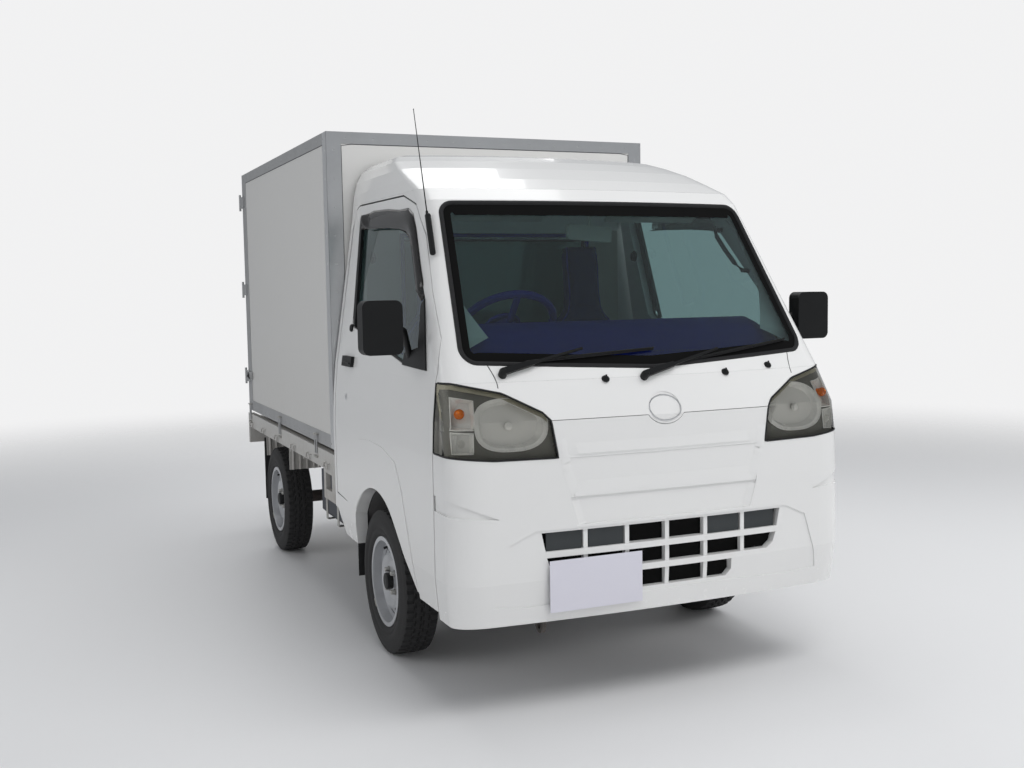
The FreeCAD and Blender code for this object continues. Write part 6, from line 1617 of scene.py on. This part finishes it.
cushion_top = [Vector((cushion_x - cushion_half, -1.03, 0.822)),
        Vector((cushion_x - cushion_half, -0.54, 0.808)), Vector((cushion_x + cushion_half, -0.54, 0.808)),
        Vector((cushion_x + cushion_half, -1.03, 0.822))]
cushion_channels = []
for offset in (-0.105, 0.105):
    cushion_channels.append([Vector((cushion_x + offset, -1.060, 0.83)),
            Vector((cushion_x + offset, -0.56, 0.83))])
for y in (-0.930, -0.800, -0.670):
    cushion_channels.append([Vector((cushion_x - 0.105, y, 0.84)), Vector((cushion_x + 0.105, y, 0.84))])


def sew(item, lines, deep, wide):
    tree = BVHTree.FromObject(item, bpy.context.evaluated_depsgraph_get())
    marks = []
    for line in lines:
        path = even(line, 0.008, closed=False)
        for point in path:
            near, normal, face, gap = tree.find_nearest(point)
            marks.append(near)
    cells = {}
    for mark in marks:
        cells.setdefault(tuple(int(math.floor(c / (wide * 2))) for c in mark), []).append(mark)
    for vertex in item.data.vertices:
        cell = [int(math.floor(c / (wide * 2))) for c in vertex.co]
        nearest = wide
        for i in (-1, 0, 1):
            for j in (-1, 0, 1):
                for k in (-1, 0, 1):
                    for mark in cells.get((cell[0] + i, cell[1] + j, cell[2] + k), ()):
                        nearest = min(nearest, (vertex.co - mark).length)
        if nearest < wide:
            vertex.co -= vertex.normal * deep * (1 - nearest / wide) ** 1.5


sew(cushion, cushion_channels, 0.0065, 0.020)
back_channels = []
for offset in (-0.105, 0.105):
    back_channels.append([Vector((cushion_x + offset, back_depth(z)[0] - 0.03, z)) for z in (0.80, 0.95, 1.10,
            1.17)])
for z in (0.900, 1.010, 1.120):
    back_channels.append([Vector((cushion_x - 0.105, back_depth(z)[0] - 0.03, z)),
            Vector((cushion_x + 0.105, back_depth(z)[0] - 0.03, z))])
back_channels.append([Vector((cushion_x - 0.110, back_depth(1.262)[0] - 0.03, 1.262)),
        Vector((cushion_x + 0.110, back_depth(1.262)[0] - 0.03, 1.262))])
sew(back, back_channels, 0.0065, 0.020)


def piping(item, lines, radius, mesh):
    tree = BVHTree.FromObject(item, bpy.context.evaluated_depsgraph_get())
    for line, closed in lines:
        path = []
        for point in even(line, 0.010, closed=closed):
            near, normal, face, gap = tree.find_nearest(point)
            path.append(near + normal * radius * 0.35)
        add_tube(mesh, path, radius, 8, closed=closed)


pipe_mesh = bmesh.new()
piping(cushion, [(cushion_top, True)], 0.0040, pipe_mesh)
back_edges = []
for side in (-1, 1):
    back_edges.append(([Vector((cushion_x + side * (half - 0.004), back_depth(z)[0] - 0.010, z))
            for z, half in back_rows], False))
piping(back, back_edges, 0.0038, pipe_mesh)
pipe_data = bpy.data.meshes.new("seat_piping_left")
pipe_mesh.to_mesh(pipe_data)
pipe_mesh.free()
pipes = bpy.data.objects.new("seat_piping_left", pipe_data)
scene.collection.objects.link(pipes)

seat_cloth = moulded("seat_cloth", (0.0085, 0.012, 0.120), (0.030, 0.035, 0.14), 0.35, 0.86, 0.9)

for source in (cushion, back, pipes):
    for polygon in source.data.polygons:
        polygon.use_smooth = True
    twin_data = source.data.copy()
    for vertex in twin_data.vertices:
        vertex.co.x -= 2 * cushion_x
    twin = bpy.data.objects.new(source.name.replace("left", "right"), twin_data)
    scene.collection.objects.link(twin)
    for item in (source, twin):
        item.data.materials.clear()
        item.data.materials.append(seat_cloth if source is not pipes else navy_plastic)
        if source is not pipes:
            smoother = item.modifiers.new("soft_cover", "SUBSURF")
            smoother.levels = 1
            smoother.render_levels = 1
        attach(item, "truck")
        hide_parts("seats")

mesh = bmesh.new()
for side in (-1, 1):
    x = side * cushion_x
    for dx in (-0.170, 0.170):
        add_block(mesh, (x + dx - 0.012, -1.020, 0.7085), (x + dx + 0.012, -0.540, 0.722))
    add_turned(mesh, [(0, 0.0), (0, 0.034), (0.010, 0.033), (0.014, 0.0)],
            (x + side * 0.212, -0.560, 0.800), (side, 0, 0), 24)
    add_tube(mesh, [(x + side * 0.206, -0.575, 0.790), (x + side * 0.226, -0.640, 0.768),
            (x + side * 0.226, -0.720, 0.765)], 0.008, 10)
finish_piece(mesh, "seat_runners", black_plastic, bevel=0.002)


# Load bed: pressed steel deck edged by a folded side rail, with rope hooks welded under it, ribbed splash
# guards and rubber mud flaps. All is sprayed white, and bolts show where the flaps and guards are fixed.
bed_white = painted("bed_white_paint", (0.60, 0.60, 0.585), (0.20, 0.15, 0.11), 0.6, 0.85, 0.45, 0.3)
dress(bed_white, "bed_frame")
dress(seal_rubber, "mudflaps")
hook_ys = (-0.130, 0.200, 0.520, 0.900, 1.240, 1.560)
mesh = bmesh.new()
for side in (-1, 1):
    for y in hook_ys:
        base = Vector((side * 0.735, y, 0.622))
        add_tube(mesh, [base + Vector((side * -0.004, -0.030, 0)),
                base + Vector((side * 0.010, -0.030, -0.002)), base + Vector((side * 0.012, -0.028, -0.020)),
                base + Vector((side * 0.012, 0.028, -0.020)), base + Vector((side * 0.010, 0.030, -0.002)),
                base + Vector((side * -0.004, 0.030, 0))], 0.0042, 8)
finish_piece(mesh, "rope_hooks", bed_white)
mesh = bmesh.new()
for side in (-1, 1):
    for y in (0.985, 1.556):
        for x in (0.590, 0.700):
            add_nut(mesh, (side * x, y - 0.0002, 0.622), (0, -1, 0), 0.008, 0.006)
    for x in (0.585, 0.640, 0.700):
        add_nut(mesh, (side * x, 1.6732 + 0.0002, 0.545), (0, 1, 0), 0.0065, 0.005)
    for y in (0.04, 0.32, 0.60):
        add_dome(mesh, (side * 0.7352, y, 0.585), (side, 0, 0), 0.007, 0.003)
finish_piece(mesh, "bed_bolts", zinc_steel)


# Tail lamps: each is a black tray with red, amber and clear lenses clipped on.
# The ribs moulded inside the lens show as fine upright lines.
amber_clear = clear("amber_lens", (0.85, 0.22, 0.03), (0.70, 0.24, 0.05), 0.2, 0.08, 0.35)
red_clear = clear("red_lens", (0.50, 0.012, 0.010), (0.30, 0.05, 0.04), 0.2, 0.09, 0.25)

for side_name, side in both_sides:
    mesh = bmesh.new()
    low, high = Vector((0.5600, 1.6903, 0.5200)), Vector((0.7150, 1.6975, 0.6000))
    xs = sorted((side * low.x, side * high.x))
    add_block(mesh, (xs[0], low.y, low.z), (xs[1], low.y + 0.0030, high.z))
    finish_piece(mesh, "tail_lamp_tray_" + side_name, black_plastic, bevel=0.001,
            replace=("tail_lamps",))
    for zone, (share0, share1), material, slot in (("stop", (0.44, 0.975), red_clear, "red_lens"),
            ("turn", (0.225, 0.425), amber_clear, "lamp_lens"),
            ("reverse", (0.025, 0.210), lens_clear, "lamp_lens")):
        x0 = side * (low.x + (high.x - low.x) * share0)
        x1 = side * (low.x + (high.x - low.x) * share1)
        mesh = bmesh.new()
        add_block(mesh, (min(x0, x1), low.y + 0.0030, low.z + 0.003),
                (max(x0, x1), high.y - 0.0007, high.z - 0.003))
        count = int(abs(x1 - x0) / 0.0045)
        for k in range(1, count):
            x = x0 + (x1 - x0) * k / count
            add_rod(mesh, (x, high.y - 0.0008, low.z + 0.006), (x, high.y - 0.0008, high.z - 0.006), 0.0006,
                    6)
        finish_piece(mesh, "tail_lens_" + zone + "_" + side_name, material, bevel=0.0008)


# Box: flat white panels in an aluminium frame of corner trims, top cap and base rail, set with pop rivets and
# bedded on grey sealant. The doors are gasketed panels on strap hinges, shut by cam rods with lever handles.
box_white = painted("box_panel_enamel", (0.66, 0.655, 0.64), (0.50, 0.48, 0.44), 0.25, 1.1, 0.42, 0.25)
dress(box_white, "box_walls", "box_roof", "box_door_right_panel", "box_door_left_panel")
dress(grey_alloy, "box_frame")
dress(zinc_steel, "box_door_right_gear", "box_door_left_gear")
box_front, box_rear = -0.243, 1.663
box_half = 0.732
box_low, box_top = 0.690, 2.000


def rivet(target, place, out):
    add_dome(target, place, out, 0.0048, 0.0019)


mesh = bmesh.new()
bright = bmesh.new()

for side in (-1, 1):
    x = side * (box_half + 0.0001)
    for k in range(19):
        y = box_front + 0.050 + k * (box_rear - box_front - 0.1) / 18
        rivet(mesh, (x, y, box_top - 0.026), (side, 0, 0))
        rivet(mesh, (x, y, box_low + 0.020), (side, 0, 0))
    for k in range(11):
        z = box_low + 0.075 + k * (box_top - box_low - 0.15) / 10
        rivet(bright, (x, box_front + 0.030, z), (side, 0, 0))
        rivet(mesh, (x, box_rear - 0.040, z), (side, 0, 0))
        rivet(bright, (side * (box_half - 0.030), box_front - 0.0001, z), (0, -1, 0))
        rivet(mesh, (side * (box_half - 0.016), box_rear + 0.0001, z), (0, 1, 0))
for k in range(12):
    x = -box_half + 0.08 + k * (2 * box_half - 0.16) / 11
    rivet(bright, (x, box_front - 0.0001, box_top - 0.026), (0, -1, 0))
    rivet(mesh, (x, box_rear + 0.0001, box_low + 0.018), (0, 1, 0))
finish_piece(mesh, "trim_rivets", grey_alloy, smooth=50)
finish_piece(bright, "corner_rivets", bright_alloy, smooth=50)

# The corner trims and the front cap were polished, and catch the light more than the rest of the frame.
mesh = bmesh.new()
for side in (-1, 1):
    outer = side * (box_half + 0.0004)
    a, b = sorted((outer, side * (box_half - 0.062)))
    add_block(mesh, (a, box_front - 0.0004, box_low + 0.002), (b, box_front + 0.0002, box_top - 0.0005))
    a, b = sorted((outer, side * (box_half - 0.0004)))
    add_block(mesh, (a, box_front - 0.0004, box_low + 0.002), (b, box_front + 0.062, box_top - 0.0005))
add_block(mesh, (-box_half + 0.062, box_front - 0.0004, box_top - 0.048),
        (box_half - 0.062, box_front + 0.0002, box_top - 0.0005))
finish_piece(mesh, "polished_trims", bright_alloy)

mesh = bmesh.new()
for side in (-1, 1):
    x = side * (box_half - 0.0019)
    loop = [Vector((x, y, z)) for y, z in ((box_front + 0.0635, box_low + 0.041),
            (box_rear - 0.0750, box_low + 0.041), (box_rear - 0.0750, box_top - 0.0495),
            (box_front + 0.0635, box_top - 0.0495))]
    add_tube(mesh, even(loop, 0.05), 0.0019, 6, closed=True)
loop = [Vector((x, box_front + 0.0019, z)) for x, z in ((-box_half + 0.0635, box_low + 0.041),
        (box_half - 0.0635, box_low + 0.041),
        (box_half - 0.0635, box_top - 0.0495),
        (-box_half + 0.0635, box_top - 0.0495))]
add_tube(mesh, even(loop, 0.05), 0.0019, 6, closed=True)
finish_piece(mesh, "sealant_beads", grey_plastic)

mesh = bmesh.new()
for side in (-1, 1):
    for y, z in ((1.540, 0.874), (1.570, 0.900)):
        add_nut(mesh, (side * 0.7500, y, z), (side, 0, 0), 0.0055, 0.004)
    add_turned(mesh, [(0, 0.012), (0.006, 0.011), (0.010, 0.005), (0.010, 0)], (side * 0.750, 1.555, 0.887),
            (side, 0, 0), 20)
finish_piece(mesh, "hold_back_catches", chassis_black)
mesh = bmesh.new()
for side in (-1, 1):
    for share in (0.159, 0.560, 0.967):
        y = box_front + (box_rear - box_front) * share
        for leg in (-1, 1):
            add_nut(mesh, (side * 0.7388, y + leg * 0.015, 0.6300), (0, 0, -1), 0.0085, 0.009)
            add_nut(mesh, (side * 0.7388, y + leg * 0.015, 0.7222), (0, 0, 1), 0.0085, 0.007)
finish_piece(mesh, "clamp_nuts", zinc_steel)

# The doors' own pieces ride on each door: gasket, rod collars, handle grip, hinge bolts and lock cams.
for side_name, side in both_sides:
    body = "box_door_" + side_name
    low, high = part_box(body + "_panel")
    mesh = bmesh.new()
    lip = 0.0030
    west, east, foot, head = low[0] + lip, high[0] - lip, low[2] + lip, high[2] - lip
    loop = [Vector((x, high[1] - 0.001, z)) for x, z in ((west, foot), (east, foot), (east, head),
            (west, head))]
    add_tube(mesh, even(loop, 0.04), 0.0030, 6, closed=True)
    finish_piece(mesh, "box_door_gasket_" + side_name, seal_rubber, body)
    mesh = bmesh.new()
    for k in range(12):
        z = low[2] + 0.05 + k * (high[2] - low[2] - 0.1) / 11
        for x in (low[0] + 0.020, high[0] - 0.020):
            add_dome(mesh, (x, high[1], z), (0, 1, 0), 0.0045, 0.0018)
    for k in range(1, 6):
        x = low[0] + 0.020 + k * (high[0] - low[0] - 0.04) / 6
        for z in (low[2] + 0.020, high[2] - 0.020):
            add_dome(mesh, (x, high[1], z), (0, 1, 0), 0.0045, 0.0018)
    finish_piece(mesh, "box_door_rivets_" + side_name, grey_alloy, body, smooth=50)
    mesh = bmesh.new()
    rod_x = side * 0.110
    rod_y = high[1] + 0.0065
    gear_low, gear_high = 0.760, 1.985
    for share in (0.025, 0.245, 0.653, 0.971):
        z = gear_low + (gear_high - gear_low) * share
        for dx in (-0.0125, 0.0125):
            for dz in (-0.0115, 0.0115):
                add_dome(mesh, (rod_x + dx, rod_y, z + dz), (0, 1, 0), 0.0030, 0.0020)
    for z in (gear_low + 0.085, gear_high - 0.085):
        add_turned(mesh, [(-0.012, 0.0), (-0.012, 0.0062), (0.012, 0.0062), (0.012, 0.0)], (rod_x, rod_y, z),
                (0, 0, 1), 16)
    for z in (0.880, 1.365, 1.850):
        for step in (0.022, 0.062):
            add_dome(mesh, (side * (0.740 - 0.012 - step), 1.6900, z), (0, 1, 0), 0.0050, 0.0024)
    finish_piece(mesh, "door_gear_bolts_" + side_name, zinc_steel, body, smooth=50)
    handle_z = gear_low + (gear_high - gear_low) * 0.302
    mesh = bmesh.new()
    add_tube(mesh, [(rod_x + side * x, rod_y + 0.0002, handle_z) for x in (0.128, 0.150, 0.195, 0.236)],
            0.0064, 12)
    finish_piece(mesh, "lever_grip_" + side_name, seal_rubber, body)


# Load space: varnished plywood floor boards, aluminium lashing rails riveted along the walls.
# The boards run lengthwise, with darker patches here and there.
plywood = painted("plywood_boards", (0.33, 0.23, 0.14), (0.24, 0.19, 0.14), 0.6, 1.5, 0.62, 0.8)
dress(plywood, "box_floor")
mesh = bmesh.new()
for x in (-0.4, -0.2, 0.0, 0.2, 0.4):
    add_block(mesh, (x - 0.0015, -0.215, 0.7112), (x + 0.0015, 1.600, 0.7124))
finish_piece(mesh, "board_joints", black_and_shade_paint)
mesh = bmesh.new()
# The slots in the rails are thin near-black blocks: painted shade standing for the openings.
slots = bmesh.new()
for side in (-1, 1):
    wall = side * (0.730 - 0.022)
    for z in (1.150, 1.600):
        a, b = sorted((wall, wall - side * 0.009))
        add_block(mesh, (a, -0.190, z - 0.030), (b, 1.600, z + 0.030))
        for k in range(18):
            y = -0.150 + k * 0.100
            a, b = sorted((wall - side * 0.0088, wall - side * 0.0096))
            add_block(slots, (a, y - 0.016, z - 0.008), (b, y + 0.016, z + 0.008))
finish_piece(mesh, "lashing_rails", grey_alloy, bevel=0.002)
finish_piece(slots, "lashing_slots", black_and_shade_paint)


# Studio and camera: a pale floor and a white surround under large soft lamps.
# The camera stands off the front right corner, a little below eye height.
scene.view_settings.view_transform = "Standard"

camera_place = Vector((-1.918, -4.893, 1.352))
camera_yaw = math.radians(23.203)
camera_pitch = math.radians(-4.796)
camera_roll = math.radians(-0.950)
forward = Vector((math.sin(camera_yaw) * math.cos(camera_pitch),
        math.cos(camera_yaw) * math.cos(camera_pitch), math.sin(camera_pitch)))
level_right = Vector((math.cos(camera_yaw), -math.sin(camera_yaw), 0))
level_up = level_right.cross(forward)
right = level_right * math.cos(camera_roll) + level_up * math.sin(camera_roll)
up = level_up * math.cos(camera_roll) - level_right * math.sin(camera_roll)
camera_data = bpy.data.cameras.new("photo_camera")
camera_data.sensor_width = 36.0
camera_data.lens = 40.35
camera_data.clip_end = 60.0
camera = bpy.data.objects.new("photo_camera", camera_data)
camera.matrix_world = Matrix((
        (right.x, up.x, -forward.x, camera_place.x),
        (right.y, up.y, -forward.y, camera_place.y),
        (right.z, up.z, -forward.z, camera_place.z),
        (0, 0, 0, 1)))
scene.collection.objects.link(camera)
scene.camera = camera

floor_half = 14.0
floor_mesh = bpy.data.meshes.new("studio_floor")
floor_mesh.from_pydata([(-floor_half, -floor_half, 0), (floor_half, -floor_half, 0),
        (floor_half, floor_half, 0), (-floor_half, floor_half, 0)], [], [(0, 1, 2, 3)])
floor = bpy.data.objects.new("studio_floor", floor_mesh)
scene.collection.objects.link(floor)
floor_paint = painted("studio_floor", (0.82, 0.82, 0.825), (0.78, 0.78, 0.78), 0.1, 0.2, 0.50, 0.0)
floor_tree = floor_paint.node_tree
spot = floor_tree.nodes.new("ShaderNodeTexCoord")
reach = floor_tree.nodes.new("ShaderNodeVectorMath")
reach.operation = "LENGTH"
floor_tree.links.new(spot.outputs["Object"], reach.inputs[0])
fade = floor_tree.nodes.new("ShaderNodeMapRange")
fade.interpolation_type = "SMOOTHSTEP"
fade.inputs["From Min"].default_value = 3.2
fade.inputs["From Max"].default_value = 9.0
floor_tree.links.new(reach.outputs["Value"], fade.inputs["Value"])
see_through = floor_tree.nodes.new("ShaderNodeBsdfTransparent")
floor_mix = floor_tree.nodes.new("ShaderNodeMixShader")
floor_tree.links.new(fade.outputs["Result"], floor_mix.inputs[0])
floor_tree.links.new(floor_tree.nodes["Principled BSDF"].outputs[0], floor_mix.inputs[1])
floor_tree.links.new(see_through.outputs[0], floor_mix.inputs[2])
floor_tree.links.new(floor_mix.outputs[0], floor_tree.nodes["Material Output"].inputs["Surface"])
floor_mesh.materials.append(floor_paint)

world = bpy.data.worlds.new("studio_air")
world.use_nodes = True
air = world.node_tree.nodes
air_links = world.node_tree.links
soft_air = air["Background"]
soft_air.inputs["Color"].default_value = (0.90, 0.93, 0.97, 1.0)
soft_air.inputs["Strength"].default_value = 0.36
white_air = air.new("ShaderNodeBackground")
white_air.inputs["Color"].default_value = (0.93, 0.93, 0.935, 1.0)
white_air.inputs["Strength"].default_value = 0.95
ray = air.new("ShaderNodeLightPath")
air_choice = air.new("ShaderNodeMixShader")
air_links.new(ray.outputs["Is Camera Ray"], air_choice.inputs[0])
air_links.new(soft_air.outputs[0], air_choice.inputs[1])
air_links.new(white_air.outputs[0], air_choice.inputs[2])
air_links.new(air_choice.outputs[0], air["World Output"].inputs["Surface"])
scene.world = world


def soft_lamp(name, place, target, size, watts):
    lamp = bpy.data.lights.new(name, "AREA")
    lamp.shape = "RECTANGLE"
    lamp.size, lamp.size_y = size
    lamp.energy = watts
    item = bpy.data.objects.new(name, lamp)
    item.location = place
    item.rotation_mode = "QUATERNION"
    item.rotation_quaternion = (Vector(target) - Vector(place)).to_track_quat("-Z", "Y")
    scene.collection.objects.link(item)
    return item


over_front = soft_lamp("lamp_over_front", (0.9, -3.6, 4.6), (0, -0.6, 0.8), (4.5, 2.2), 104)
low_front = soft_lamp("lamp_low_front", (0.4, -6.2, 1.9), (0, -1.2, 0.7), (4.0, 1.8), 34)
soft_lamp("lamp_right_side", (-5.2, -0.6, 2.6), (0, 0, 0.9), (3.4, 2.4), 44)
left_side = soft_lamp("lamp_left_side", (5.2, -1.8, 2.8), (0, 0, 0.9), (3.4, 2.4), 70)
for item in (over_front, low_front, left_side):
    item.visible_glossy = False
    item.visible_transmission = False
soft_lamp("lamp_over_box", (0.0, 1.6, 5.0), (0, 0.8, 1.0), (3.2, 3.2), 62)
soft_lamp("lamp_behind", (1.2, 5.4, 2.8), (0, 1.2, 1.0), (3.4, 2.2), 46)
